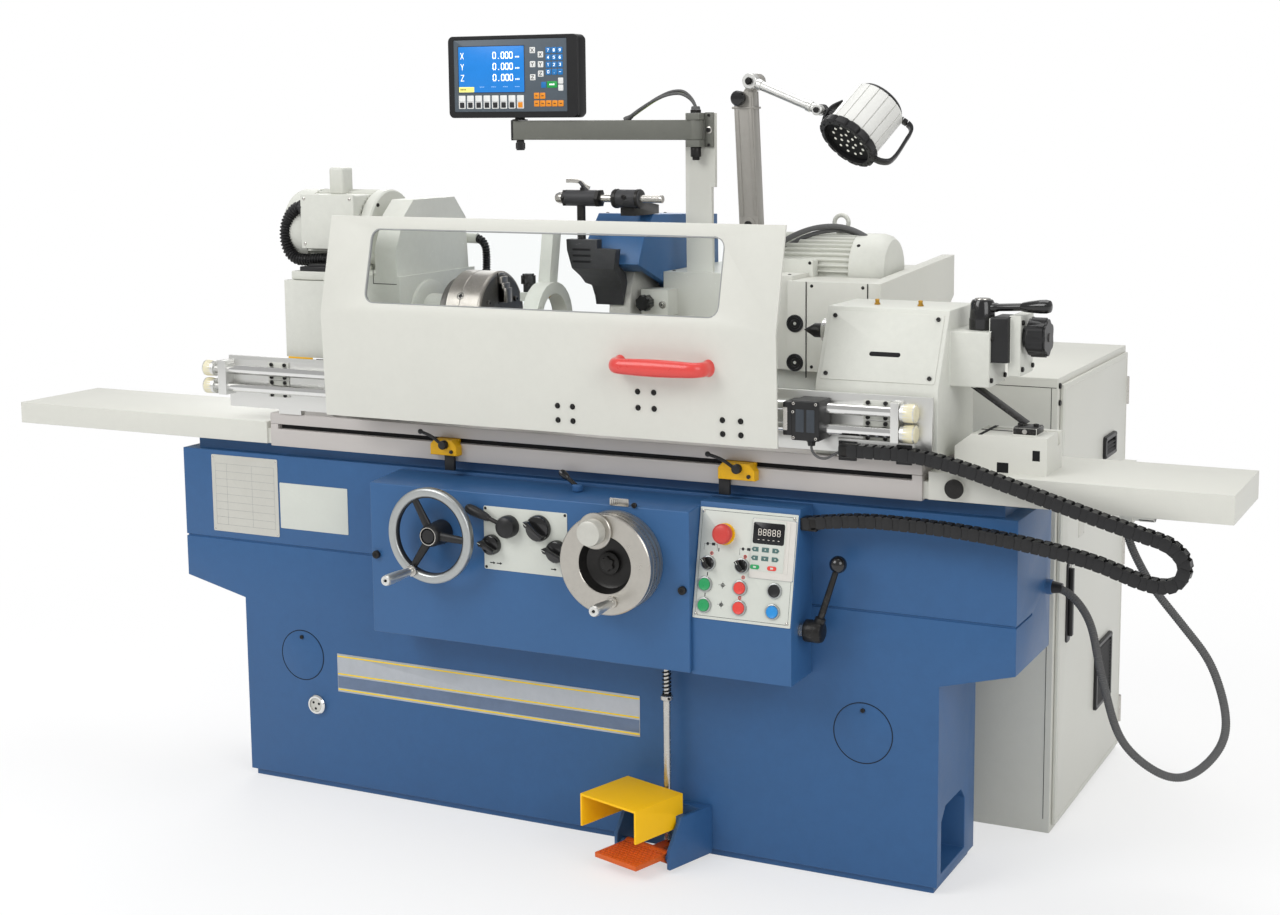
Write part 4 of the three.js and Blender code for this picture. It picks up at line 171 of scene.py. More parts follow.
GLYPHS = {
    "0": [((0, 0.2), (0.2, 0), (0.8, 0), (1, 0.2), (1, 0.8), (0.8, 1), (0.2, 1), (0, 0.8), (0, 0.2))],
    "1": [((0.2, 0.75), (0.55, 1), (0.55, 0))],
    "2": [((0, 0.85), (0.25, 1), (0.75, 1), (1, 0.8), (1, 0.6), (0, 0), (1, 0))],
    "3": [((0, 1), (1, 1), (0.45, 0.58), (0.8, 0.55), (1, 0.3), (0.8, 0), (0, 0.05))],
    "4": [((0.75, 0), (0.75, 1), (0, 0.3), (1, 0.3))],
    "5": [((1, 1), (0.1, 1), (0, 0.55), (0.75, 0.6), (1, 0.35), (0.75, 0), (0, 0.05))],
    "6": [
        (
            (0.9, 0.95), (0.3, 0.95), (0, 0.5), (0, 0.2), (0.3, 0), (0.8, 0), (1, 0.3), (0.7, 0.55),
            (0.1, 0.5)
        )
    ],
    "7": [((0, 1), (1, 1), (0.35, 0))],
    "8": [
        (
            (0.3, 0.55), (0, 0.8), (0.3, 1), (0.7, 1), (1, 0.8), (0, 0.25), (0.25, 0), (0.75, 0), (1, 0.25),
            (0.3, 0.55)
        )
    ],
    "9": [
        (
            (0.1, 0.05), (0.7, 0.05), (1, 0.5), (1, 0.8), (0.7, 1), (0.2, 1), (0, 0.7), (0.3, 0.45),
            (0.9, 0.5)
        )
    ],
    ".": [((0.45, 0), (0.55, 0))],
    "-": [((0, 0.5), (1, 0.5))],
    "X": [((0, 0), (1, 1)), ((0, 1), (1, 0))],
    "Y": [((0, 1), (0.5, 0.5), (1, 1)), ((0.5, 0.5), (0.5, 0))],
    "Z": [((0, 1), (1, 1), (0, 0), (1, 0))],
}


class Shape:
    """Points and faces gathered for one piece, a surface at a time."""

    def __init__(self) -> None:
        """An empty shape."""
        self.points: list[Array] = []
        self.faces: list[tuple[int, ...]] = []
        self.slots: list[int] = []
        self.count = 0

    def add(self, points: Array, faces: list[tuple[int, ...]], slot: int = 0) -> "Shape":
        """Adds one surface.

        Args:
            points: its points, (n, 3).
            faces: its faces, as indices into those points.
            slot: the material slot of the faces.

        Returns:
            The shape itself.
        """
        self.points.append(vec(points).reshape(-1, 3))
        self.faces += [tuple(i + self.count for i in f) for f in faces]
        self.slots += [slot] * len(faces)
        self.count += len(self.points[-1])
        return self

    def turned(
        self,
        start: Numbers,
        direction: Numbers,
        profile: Numbers,
        sides: int = 48,
        slot: int = 0,
        angle: float = 0.0,
    ) -> "Shape":
        """A profile of (along, radius) turned about an axis.

        Point (i, j) = start + along_i * axis + radius_i * (cos(a_j) * first + sin(a_j) * second). An end of
        the profile whose radius isn't zero is closed by one flat face.

        Args:
            start: the point of the axis from which along is counted.
            direction: the axis.
            profile: pairs of along and radius, in the direction of the axis.
            sides: how many faces go round.
            slot: the material slot.
            angle: where the first side stands, in radians.

        Returns:
            The shape itself.
        """
        table = vec(profile)
        ring = spokes(angle + spread(sides), direction)
        grid = vec(start) + table[:, 0, None, None] * unit(direction) + table[:, 1, None, None] * ring[None]
        return self.add(grid, tube_faces(len(table), sides), slot)

    def carried(
        self, path: Numbers, outline: Numbers, slot: int = 0, up: Numbers | None = None
    ) -> "Shape":
        """An outline carried along a path, closed by a face at each end.

        Point (i, j) = path_i + outline_j across the path, in a frame that turns as little as it can from
        one point to the next.

        Args:
            path: points that the outline follows.
            outline: pairs (side, up) counter-clockwise as seen against the path's direction.
            slot: the material slot.
            up: a direction that the outline's up keeps to, where given.

        Returns:
            The shape itself.
        """
        p = vec(path)
        o = vec(outline)
        along = np.gradient(p, axis=0)
        along /= np.linalg.norm(along, axis=1, keepdims=True)
        if up is None:
            side = [side_axes(along[0])[0]]
            for t in along[1:]:
                side.append(unit(side[-1] - np.dot(side[-1], t) * t))
            first = np.array(side)
        else:
            first = np.cross(vec(up)[None], along)
            first /= np.linalg.norm(first, axis=1, keepdims=True)
        second = np.cross(along, first)
        grid = p[:, None] + o[None, :, :1] * first[:, None] + o[None, :, 1:] * second[:, None]
        return self.add(grid, tube_faces(len(p), len(o)), slot)

    def bar(self, path: Numbers, radius: float, sides: int = 16, slot: int = 0) -> "Shape":
        """A round bar along a path."""
        return self.carried(path, circle(radius, sides), slot)

    def box(
        self,
        low: Numbers,
        high: Numbers,
        radius: float = 0.002,
        steps: int = 3,
        slot: int = 0,
        turn: Swing | None = None,
    ) -> "Shape":
        """A box with rounded edges and corners.

        Point = middle + sign(d) * (half size - radius) + radius * d, where d runs over a sphere whose rows
        and columns are doubled at the planes between its eight parts.

        Args:
            low: its lowest corner.
            high: its highest corner.
            radius: the radius of its edges.
            steps: faces across each rounded edge.
            slot: the material slot.
            turn: how it is swung from there, where given.

        Returns:
            The shape itself.
        """
        lo, hi = np.minimum(low, high), np.maximum(low, high)
        half = (hi - lo) / 2
        r = min(radius, 0.49 * float(half.min()))
        q = np.linspace(0, np.pi / 2, steps + 1)
        around = np.concatenate([q + k * np.pi / 2 for k in range(4)])
        quarter = np.repeat(np.arange(4), steps + 1)
        signs = vec(((1, 1), (-1, 1), (-1, -1), (1, -1)))[quarter]
        up = np.concatenate([q - np.pi / 2, q])
        top = np.repeat((-1.0, 1.0), steps + 1)
        ball = np.stack(
            [
                np.cos(up)[:, None] * np.cos(around)[None],
                np.cos(up)[:, None] * np.sin(around)[None],
                np.repeat(np.sin(up)[:, None], len(around), 1),
            ],
            -1,
        )
        corner = np.stack(
            [
                np.repeat(signs[None, :, 0], len(up), 0),
                np.repeat(signs[None, :, 1], len(up), 0),
                np.repeat(top[:, None], len(around), 1),
            ],
            -1,
        )
        grid = corner * (half - r) + r * ball
        grid = grid + (lo + hi) / 2
        if turn is not None:
            grid = turn.applied(grid)
        return self.add(grid, tube_faces(len(up), len(around)), slot)

    def slab(
        self,
        outline: Numbers,
        base: Numbers,
        across: Numbers,
        up: Numbers,
        thickness: float,
        edge: float = 0.001,
        slot: int = 0,
    ) -> "Shape":
        """A flat plate with a rounded front edge.

        Point = base + s * across + t * up + depth * out, out = across x up. The rings stand at depth 0,
        thickness - edge and thickness, and the last is the outline drawn in by edge along its mitres.

        Args:
            outline: pairs (s, t), counter-clockwise as seen from outside.
            base: where (0, 0) is.
            across: direction of s.
            up: direction of t.
            thickness: how thick the plate is.
            edge: the size of its front edge.
            slot: the material slot.

        Returns:
            The shape itself.
        """
        o = vec(outline)
        out = np.cross(unit(across), unit(up))
        rings = [(o, 0.0), (o, thickness - edge), (inset(o, 0.3 * edge), thickness - 0.3 * edge)]
        rings.append((inset(o, edge), thickness))
        grid = [vec(base) + r[:, :1] * unit(across) + r[:, 1:] * unit(up) + d * out for r, d in rings]
        return self.add(np.array(grid), tube_faces(len(rings), len(o)), slot)

    def frame(
        self,
        outer: Numbers,
        inner: Numbers,
        base: Numbers,
        across: Numbers,
        up: Numbers,
        low: float,
        high: float,
        slot: int = 0,
    ) -> "Shape":
        """A flat ring between two outlines.

        Args:
            outer: pairs (s, t) of the outer outline, counter-clockwise.
            inner: the inner outline, with as many points.
            base: where (0, 0) is.
            across: direction of s.
            up: direction of t.
            low: the depth of its back along across x up.
            high: the depth of its front.
            slot: the material slot.

        Returns:
            The shape itself.
        """
        out = np.cross(unit(across), unit(up))
        edge = 0.25 * min(high - low, float(np.abs(vec(outer) - vec(inner)).max()))
        rings = [
            (outer, low), (outer, high - edge), (inset(vec(outer), edge), high),
            (inset(vec(inner), -edge), high), (inner, high - edge), (inner, low), (outer, low)
        ]
        grid = [
            vec(base) + vec(r)[:, :1] * unit(across) + vec(r)[:, 1:] * unit(up) + d * out for r, d in rings
        ]
        return self.add(np.array(grid), grid_faces(len(rings), len(vec(outer))), slot)

    def strokes(
        self,
        text: str,
        corner: Numbers,
        across: Numbers,
        up: Numbers,
        size: tuple,
        pitch: float,
        width: float,
        slot: int,
    ) -> "Shape":
        """Characters drawn as thin flat strokes.

        Args:
            text: what is drawn.
            corner: the first character's lowest left corner.
            across: the direction of the line of text.
            up: the direction of the characters' height.
            size: a character's width and height.
            pitch: the distance from character to character.
            width: a stroke's width.
            slot: the material slot.

        Returns:
            The shape itself.
        """
        for i, letter in enumerate(text):
            for line in GLYPHS[letter]:
                line = vec(line) * vec(size) + (i * pitch, 0.0)
                for a, b in zip(line[:-1], line[1:]):
                    way = (b - a) / np.linalg.norm(b - a) * width / 2
                    side = np.array([-way[1], way[0]])
                    box = [a - way - side, b + way - side, b + way + side, a - way + side]
                    self.slab(box, corner, across, up, 0.0003, 0.0001, slot)
        return self

    def swung(self, swing: Swing, since: int = 0) -> "Shape":
        """Turns the surfaces that were added from number since on."""
        self.points[since:] = [swing.applied(p) for p in self.points[since:]]
        return self

    def ribbed(
        self, path: Numbers, radius: float, deep: float, rib: float, sides: int, slot: int = 0
    ) -> "Shape":
        """A corrugated tube: radius at s = radius - deep * (1 + cos(2 pi s / rib)) / 2.

        Args:
            path: its middle line, at least five points for each rib.
            radius: the ribs' radius.
            deep: how deep the grooves are.
            rib: the distance from rib to rib.
            sides: how many faces go round.
            slot: the material slot.

        Returns:
            The shape itself.
        """
        line = vec(path)
        along = np.gradient(line, axis=0)
        along /= np.linalg.norm(along, axis=1, keepdims=True)
        first = np.cross(AWAY, along)
        first /= np.linalg.norm(first, axis=1, keepdims=True)
        second = np.cross(along, first)
        s = np.concatenate([[0.0], np.cumsum(np.linalg.norm(np.diff(line, axis=0), axis=1))])
        size = radius - deep * (0.5 + 0.5 * np.cos(2 * np.pi * s / rib))
        a = spread(sides)
        ring = np.cos(a)[None, :, None] * first[:, None] + np.sin(a)[None, :, None] * second[:, None]
        return self.add(line[:, None] + size[:, None, None] * ring, tube_faces(len(line), sides), slot)

    def lobed(
        self, start: Numbers, way: Numbers, profile: Numbers, lobes: int, deep: float, slot: int = 0
    ) -> "Shape":
        """A turned ring with notches: radius = profile - deep * max(0, cos(lobes * angle))^6 outside.

        Args:
            start: the point of the axis from which along is counted.
            way: the axis.
            profile: pairs of along and radius.
            lobes: how many notches go round.
            deep: how deep they are.
            slot: the material slot.

        Returns:
            The shape itself.
        """
        sides = lobes * 12
        a = spread(sides)
        ring = spokes(a, way)
        table = vec(profile)
        outer = table[:, 1] > table[:, 1].min() + 2 * deep / 3
        dent = deep * np.clip(np.cos(lobes * a), 0, 1) ** 6
        size = table[:, 1][:, None] - outer[:, None] * dent[None]
        grid = vec(start) + table[:, 0, None, None] * unit(way) + size[..., None] * ring[None]
        return self.add(grid, grid_faces(len(table), sides), slot)

    def grooved(
        self, start: Numbers, way: Numbers, profile: Numbers, grooves: int, deep: float, slot: int = 0
    ) -> "Shape":
        """A tube with narrow lengthwise grooves, where the radius drops by deep, closed at its ends.

        Args:
            start: the point of the axis from which along is counted.
            way: the axis.
            profile: pairs of along and radius.
            grooves: how many grooves go round.
            deep: how deep they are.
            slot: the material slot.

        Returns:
            The shape itself.
        """
        step = 2 * np.pi / grooves
        marks = np.concatenate([np.linspace(0.0, 0.86, 9), (0.875, 0.9, 0.965, 0.985)]) * step
        drop = np.concatenate([np.zeros(9), (0.0, 1.0, 1.0, 0.0)])
        a = np.concatenate([marks + k * step for k in range(grooves)])
        dent = deep * np.tile(drop, grooves)
        ring = spokes(a, way)
        table = vec(profile)
        size = table[:, 1][:, None] - dent[None]
        grid = vec(start) + table[:, 0, None, None] * unit(way) + size[..., None] * ring[None]
        return self.add(grid, tube_faces(len(table), len(a)), slot)

    def made(self, name: str, body: str, *finishes: "Finish | bpy.types.Material") -> bpy.types.Object:
        """The shape as a finished object that rides on a body.

        Args:
            name: the object's name.
            body: the body that it moves with.
            finishes: a finish or a material for each slot.

        Returns:
            The object, at the origin, with its faces turned outwards.
        """
        mesh = bpy.data.meshes.new(name)
        mesh.from_pydata(np.concatenate(self.points).tolist(), [], self.faces)
        for f in finishes:
            mesh.materials.append(f.material() if isinstance(f, Finish) else f)
        mesh.polygons.foreach_set("material_index", self.slots)
        bm = bmesh.new()
        bm.from_mesh(mesh)
        bmesh.ops.remove_doubles(bm, verts=bm.verts, dist=WELD)
        bmesh.ops.recalc_face_normals(bm, faces=bm.faces)
        bm.to_mesh(mesh)
        bm.free()
        mesh.polygons.foreach_set("use_smooth", [True] * len(mesh.polygons))
        mesh.set_sharp_from_angle(angle=SMOOTH_ANGLE)
        obj = bpy.data.objects.new(name, mesh)
        bpy.context.scene.collection.objects.link(obj)
        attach(obj, body)
        LOG.info("%s: %d faces on %s", name, len(mesh.polygons), body)
        return obj


def circle(radius: float, sides: int = 16) -> Array:
    """The points of a circle round (0, 0), counter-clockwise."""
    return radius * on_circle(spread(sides))


def rotated(outline: Numbers, angle: float) -> Array:
    """An outline turned about (0, 0).

    Args:
        outline: its points.
        angle: the angle in radians, counter-clockwise.

    Returns:
        The new points.
    """
    o = vec(outline)
    c, d = math.cos(angle), math.sin(angle)
    return np.stack([o[:, 0] * c - o[:, 1] * d, o[:, 0] * d + o[:, 1] * c], -1)


def rectangle(x0: float, x1: float, y0: float, y1: float, radius: float = 0.0, steps: int = 4) -> Array:
    """A rectangle with rounded corners, counter-clockwise.

    Args:
        x0, x1, y0, y1: its sides.
        radius: the radius of its corners.
        steps: points on each corner after the first.

    Returns:
        Its points (n, 2): corner centre + radius * (cos, sin), a quarter turn at each corner.
    """
    if radius <= 0:
        return vec(((x0, y0), (x1, y0), (x1, y1), (x0, y1)))
    q = np.linspace(0, np.pi / 2, steps + 1)
    a = np.concatenate([q + k * np.pi / 2 for k in (2, 3, 0, 1)])
    cx = np.repeat((x0 + radius, x1 - radius, x1 - radius, x0 + radius), steps + 1)
    cy = np.repeat((y0 + radius, y0 + radius, y1 - radius, y1 - radius), steps + 1)
    return np.stack([cx + radius * np.cos(a), cy + radius * np.sin(a)], -1)


def inset(outline: Array, depth: float) -> Array:
    """An outline drawn in by depth along the mitre of each corner.

    Args:
        outline: its points, counter-clockwise.
        depth: how far each side moves in.

    Returns:
        The new points.
    """
    o = vec(outline)
    before = o - np.roll(o, 1, 0)
    after = np.roll(o, -1, 0) - o
    n1 = np.stack([-before[:, 1], before[:, 0]], -1) / (
        np.linalg.norm(before, axis=1, keepdims=True) + 1e-12
    )
    n2 = np.stack([-after[:, 1], after[:, 0]], -1) / (np.linalg.norm(after, axis=1, keepdims=True) + 1e-12)
    m = n1 + n2
    return o + depth * 2 * m / np.maximum((m * m).sum(1, keepdims=True), 0.6)


def smooth_path(points: Numbers, count: int) -> Array:
    """A smooth curve through points, sampled evenly along its length.

    Each stretch is the cubic p1 (2u3 - 3u2 + 1) + m1 (u3 - 2u2 + u) + p2 (3u2 - 2u3) + m2 (u3 - u2), where
    the slopes m1 and m2 weigh the neighbouring chords by the square roots of their lengths.

    Args:
        points: the points that it passes through.
        count: how many points the result has.

    Returns:
        The sampled points (count, 3).
    """
    p = vec(points)
    ends = np.vstack([2 * p[0] - p[1], p, 2 * p[-1] - p[-2]])
    p0, p1, p2, p3 = (ends[k : len(ends) - 3 + k][:, None] for k in range(4))
    d0, d1, d2 = (
        np.linalg.norm(b - a, axis=2, keepdims=True) ** 0.5 for a, b in ((p0, p1), (p1, p2), (p2, p3))
    )
    m1 = ((p1 - p0) / d0 - (p2 - p0) / (d0 + d1) + (p2 - p1) / d1) * d1
    m2 = ((p2 - p1) / d1 - (p3 - p1) / (d1 + d2) + (p3 - p2) / d2) * d1
    u = np.linspace(0, 1, 33)[:-1][None, :, None]
    curve = p1 * (2 * u**3 - 3 * u**2 + 1) + m1 * (u**3 - 2 * u**2 + u)
    curve = curve + p2 * (3 * u**2 - 2 * u**3) + m2 * (u**3 - u**2)
    curve = np.vstack([curve.reshape(-1, 3), p[-1]])
    s = np.concatenate([[0], np.cumsum(np.linalg.norm(np.diff(curve, axis=0), axis=1))])
    at = np.linspace(0, s[-1], count)
    return np.stack([np.interp(at, s, curve[:, k]) for k in range(3)], -1)


def eased(path: Array, share: float) -> Array:
    """A path with its bends spread out.

    Each point becomes the mean of its neighbours, weighted by 1 + cos(pi k / reach). Beyond its ends the
    path goes on as its image through the end point, so that both ends stay in place.

    Args:
        path: evenly spaced points.
        share: how far the mean reaches to each side, as a share of the path.

    Returns:
        The points, as many as before.
    """
    reach = max(1, round(share * len(path)))
    k = np.arange(-reach, reach + 1)
    weight = 1 + np.cos(np.pi * k / (reach + 1))
    weight /= weight.sum()
    before = 2 * path[0] - path[reach:0:-1]
    after = 2 * path[-1] - path[-2 : -reach - 2 : -1]
    whole = np.vstack([before, path, after])
    return np.stack([np.convolve(whole[:, a], weight, "valid") for a in range(3)], -1)


def path_length(points: Numbers) -> float:
    """The length of a path of straight stretches."""
    return float(np.linalg.norm(np.diff(vec(points), axis=0), axis=1).sum())


def dome(radius: float, height: float, start: float, steps: int = 6) -> list[tuple[float, float]]:
    """A profile for turned(): a quarter ellipse from (start, radius) in to (start + height, 0)."""
    a = np.linspace(0, np.pi / 2, steps + 1)
    return [(start + height * math.sin(k), radius * math.cos(k)) for k in a]


def barrel(start: float, end: float, radius: float, edge: float = 0.001) -> list[tuple[float, float]]:
    """A profile for turned(): a plain cylinder with both edges rounded off."""
    e = min(edge, 0.45 * (end - start))
    return [
        (start, radius - e),
        (start + 0.3 * e, radius - 0.3 * e),
        (start + e, radius),
        (end - e, radius),
        (end - 0.3 * e, radius - 0.3 * e),
        (end, radius - e),
    ]


# Shader groups


def group_socket(
    tree: Tree, name: str, kind: str, output: bool = False, value: float | tuple | None = None
) -> None:
    """Adds one named socket to a shader group.

    Args:
        tree: the group.
        name: the socket's name.
        kind: the socket's type.
        output: whether it is an output.
        value: its starting value, where it has one.
    """
    made = tree.interface.new_socket(name, in_out="OUTPUT" if output else "INPUT", socket_type=kind)
    if value is not None:
        made.default_value = value


def new_group(name: str) -> tuple[Tree, bpy.types.Node, bpy.types.Node]:
    """An empty shader group.

    Args:
        name: the group's name.

    Returns:
        The tree, its Group Input node and its Group Output node.
    """
    tree = bpy.data.node_groups.new(name, "ShaderNodeTree")
    return tree, tree.nodes.new("NodeGroupInput"), tree.nodes.new("NodeGroupOutput")


def node(tree: Tree, kind: str, **settings: object) -> bpy.types.Node:
    """A node with the given properties, or input values where the name is a socket's.

    Args:
        tree: the node tree.
        kind: the node's type.
        settings: names of properties or, with spaces as underscores, of input sockets.

    Returns:
        The new node.
    """
    made = tree.nodes.new(kind)
    for name, value in settings.items():
        if hasattr(made, name):
            setattr(made, name, value)
        else:
            made.inputs[name.replace("_", " ")].default_value = value
    return made


def maths(tree: Tree, operation: str, first: Socket | float, second: Socket | float) -> Socket:
    """The output of one Math node whose inputs are sockets or numbers.

    Args:
        tree: the node tree.
        operation: the node's operation.
        first: the first input.
        second: the second input.

    Returns:
        The node's output socket.
    """
    made = tree.nodes.new("ShaderNodeMath")
    made.operation = operation
    for place, value in enumerate((first, second)):
        if isinstance(value, (int, float)):
            made.inputs[place].default_value = value
        else:
            tree.links.new(value, made.inputs[place])
    return made.outputs[0]


def mixed(
    tree: Tree,
    factor: Socket | float,
    first: Socket | tuple,
    second: Socket | tuple,
    blend: str = "MIX",
) -> Socket:
    """The colour output of one Mix node whose inputs are sockets, numbers or colours.

    Args:
        tree: the node tree.
        factor: how much of the second shows.
        first: the first colour.
        second: the second colour.
        blend: the node's blend type.

    Returns:
        The node's colour socket.
    """
    made = tree.nodes.new("ShaderNodeMix")
    made.data_type = "RGBA"
    made.blend_type = blend
    for place, value in zip((0, 6, 7), (factor, first, second)):
        if isinstance(value, bpy.types.NodeSocket):
            tree.links.new(value, made.inputs[place])
        else:
            made.inputs[place].default_value = value
    return made.outputs[2]


def tint_group() -> Tree:
    """Cloudy change of a colour: one slow and one quick noise over Object coordinates.

    Returns:
        The group.
    """
    tree, start, end = new_group("tint")
    group_socket(tree, "Vector", "NodeSocketVector")
    group_socket(tree, "Light", "NodeSocketColor")
    group_socket(tree, "Dark", "NodeSocketColor")
    group_socket(tree, "Scale", "NodeSocketFloat", value=8.0)
    group_socket(tree, "Colour", "NodeSocketColor", output=True)
    group_socket(tree, "Cloud", "NodeSocketFloat", output=True)
    slow = node(tree, "ShaderNodeTexNoise", Detail=4.0, Roughness=0.6)
    quick = node(tree, "ShaderNodeTexNoise", Detail=3.0, Roughness=0.7)
    tree.links.new(start.outputs["Vector"], slow.inputs["Vector"])
    tree.links.new(start.outputs["Vector"], quick.inputs["Vector"])
    tree.links.new(start.outputs["Scale"], slow.inputs["Scale"])
    tree.links.new(maths(tree, "MULTIPLY", start.outputs["Scale"], 9.0), quick.inputs["Scale"])
    both = maths(tree, "MULTIPLY", maths(tree, "ADD", slow.outputs[0], quick.outputs[0]), 0.5)
    spread = node(tree, "ShaderNodeMapRange", clamp=True)
    spread.inputs["From Min"].default_value = 0.36
    spread.inputs["From Max"].default_value = 0.64
    tree.links.new(both, spread.inputs["Value"])
    cloud = spread.outputs["Result"]
    tree.links.new(mixed(tree, cloud, start.outputs["Dark"], start.outputs["Light"]), end.inputs["Colour"])
    tree.links.new(cloud, end.inputs["Cloud"])
    return tree


def grain_group() -> Tree:
    """Fine height of a surface: noise stretched by a scale along each axis, as in paint or brushing.

    Returns:
        The group.
    """
    tree, start, end = new_group("grain")
    group_socket(tree, "Vector", "NodeSocketVector")
    group_socket(tree, "Scale", "NodeSocketVector", value=(900.0, 900.0, 900.0))
    group_socket(tree, "Pits", "NodeSocketFloat", value=0.0)
    group_socket(tree, "Height", "NodeSocketFloat", output=True)
    stretch = node(tree, "ShaderNodeVectorMath", operation="MULTIPLY")
    tree.links.new(start.outputs["Vector"], stretch.inputs[0])
    tree.links.new(start.outputs["Scale"], stretch.inputs[1])
    fine = node(tree, "ShaderNodeTexNoise", Scale=1.0, Detail=3.0, Roughness=0.55)
    pit = node(tree, "ShaderNodeTexVoronoi", Scale=0.35)
    tree.links.new(stretch.outputs[0], fine.inputs["Vector"])
    tree.links.new(stretch.outputs[0], pit.inputs["Vector"])
    low = maths(tree, "MULTIPLY", pit.outputs["Distance"], start.outputs["Pits"])
    tree.links.new(maths(tree, "ADD", fine.outputs[0], low), end.inputs["Height"])
    return tree


def wear_group() -> Tree:
    """Small scuffs: where a fine noise stands above a threshold inside slow clouds.

    Returns:
        The group.
    """
    tree, start, end = new_group("wear")
    group_socket(tree, "Vector", "NodeSocketVector")
    group_socket(tree, "Amount", "NodeSocketFloat", value=0.2)
    group_socket(tree, "Mask", "NodeSocketFloat", output=True)
    slow = node(tree, "ShaderNodeTexNoise", Scale=6.0, Detail=2.0)
    fine = node(tree, "ShaderNodeTexNoise", Scale=160.0, Detail=4.0, Roughness=0.7)
    tree.links.new(start.outputs["Vector"], slow.inputs["Vector"])
    tree.links.new(start.outputs["Vector"], fine.inputs["Vector"])
    sharp = node(tree, "ShaderNodeMapRange", clamp=True)
    sharp.inputs["From Min"].default_value = 0.34
    sharp.inputs["From Max"].default_value = 0.42
    tree.links.new(maths(tree, "MULTIPLY", slow.outputs[0], fine.outputs[0]), sharp.inputs["Value"])
    tree.links.new(
        maths(tree, "MULTIPLY", sharp.outputs["Result"], start.outputs["Amount"]), end.inputs["Mask"]
    )
    return tree


class Grain(Enum):
    """How fine the surface is, as scales along X, Y and Z per metre, a share of pits and a bump height."""

    PAINT = ((340.0, 340.0, 340.0), 0.0, 0.00012)
    CASTING_PAINT = ((150.0, 150.0, 150.0), 0.25, 0.0003)
    CAST = ((420.0, 420.0, 420.0), 0.8, 0.0004)
    GROUND_ALONG_X = ((35.0, 1400.0, 1400.0), 0.0, 0.0001)
    BRUSHED = ((1500.0, 1500.0, 300.0), 0.0, 0.00006)
    MOULDED = ((1100.0, 1100.0, 1100.0), 0.3, 0.00008)
    RUBBER = ((1500.0, 1500.0, 1500.0), 0.6, 0.0001)
    POLISHED = ((500.0, 500.0, 500.0), 0.0, 0.00001)


def linear(code: int) -> Colour:
    """A colour written as 0xRRGGBB, in Blender's linear values."""
    parts = [((code >> shift) & 255) / 255 for shift in (16, 8, 0)]
    return tuple(c / 12.92 if c <= 0.04045 else ((c + 0.055) / 1.055) ** 2.4 for c in parts)


@dataclass(frozen=True)
class Finish:
    """One finish of the machine: a tint that clouds between two tones, a grain, scuffs, and its gloss."""

    name: str
    colour: int
    roughness: float
    metallic: float = 0.0
    grain: Grain = Grain.PAINT
    shade: float = 0.93
    cloud: float = 7.0
    wear: float = 0.0
    coat: float = 0.0
    gloss: float = 0.35
    glow: float = 0.0

    def material(self) -> bpy.types.Material:
        """The material, made the first time that it is asked for."""
        found = bpy.data.materials.get(self.name)
        return found if found is not None else self.build()

    def build(self) -> bpy.types.Material:
        """Builds the nodes: tint and wear feed the colour, grain the bump, and the clouds the roughness.

        Returns:
            The material.
        """
        made = bpy.data.materials.new(self.name)
        made.use_nodes = True
        tree = made.node_tree
        shader = tree.nodes["Principled BSDF"]
        place = tree.nodes.new("ShaderNodeTexCoord").outputs["Object"]
        light = linear(self.colour)
        dark = tuple(c * self.shade for c in light)
        tint = self.effect(tree, "tint", place, Light=(*light, 1), Dark=(*dark, 1), Scale=self.cloud)
        scales, pits, height = self.grain.value
        grain = self.effect(tree, "grain", place, Scale=scales, Pits=pits)
        colour = tint.outputs["Colour"]
        if self.wear:
            scuff = self.effect(tree, "wear", place, Amount=self.wear)
            worn = tuple(0.5 * c + 0.5 * 0.35 for c in light)
            colour = mixed(tree, scuff.outputs["Mask"], colour, (*worn, 1))
        tree.links.new(colour, shader.inputs["Base Color"])
        rough = maths(tree, "MULTIPLY", tint.outputs["Cloud"], 0.06)
        tree.links.new(maths(tree, "ADD", rough, self.roughness - 0.03), shader.inputs["Roughness"])
        bump = node(tree, "ShaderNodeBump", Strength=0.6, Distance=height)
        tree.links.new(grain.outputs["Height"], bump.inputs["Height"])
        tree.links.new(bump.outputs["Normal"], shader.inputs["Normal"])
        shader.inputs["Metallic"].default_value = self.metallic
        shader.inputs["Specular IOR Level"].default_value = self.gloss
        shader.inputs["Coat Weight"].default_value = self.coat
        shader.inputs["Emission Strength"].default_value = self.glow
        shader.inputs["Emission Color"].default_value = (*light, 1)
        return made

    @staticmethod
    def effect(tree: Tree, name: str, place: Socket, **values: object) -> bpy.types.Node:
        """A shared shader group placed in a material.

        Args:
            tree: the material's tree.
            name: the group's name.
            place: the coordinates that it reads.
            values: its other inputs.

        Returns:
            The group's node.
        """
        made = tree.nodes.new("ShaderNodeGroup")
        made.node_tree = bpy.data.node_groups[name]
        tree.links.new(place, made.inputs["Vector"])
        for key, value in values.items():
            made.inputs[key].default_value = value
        return made


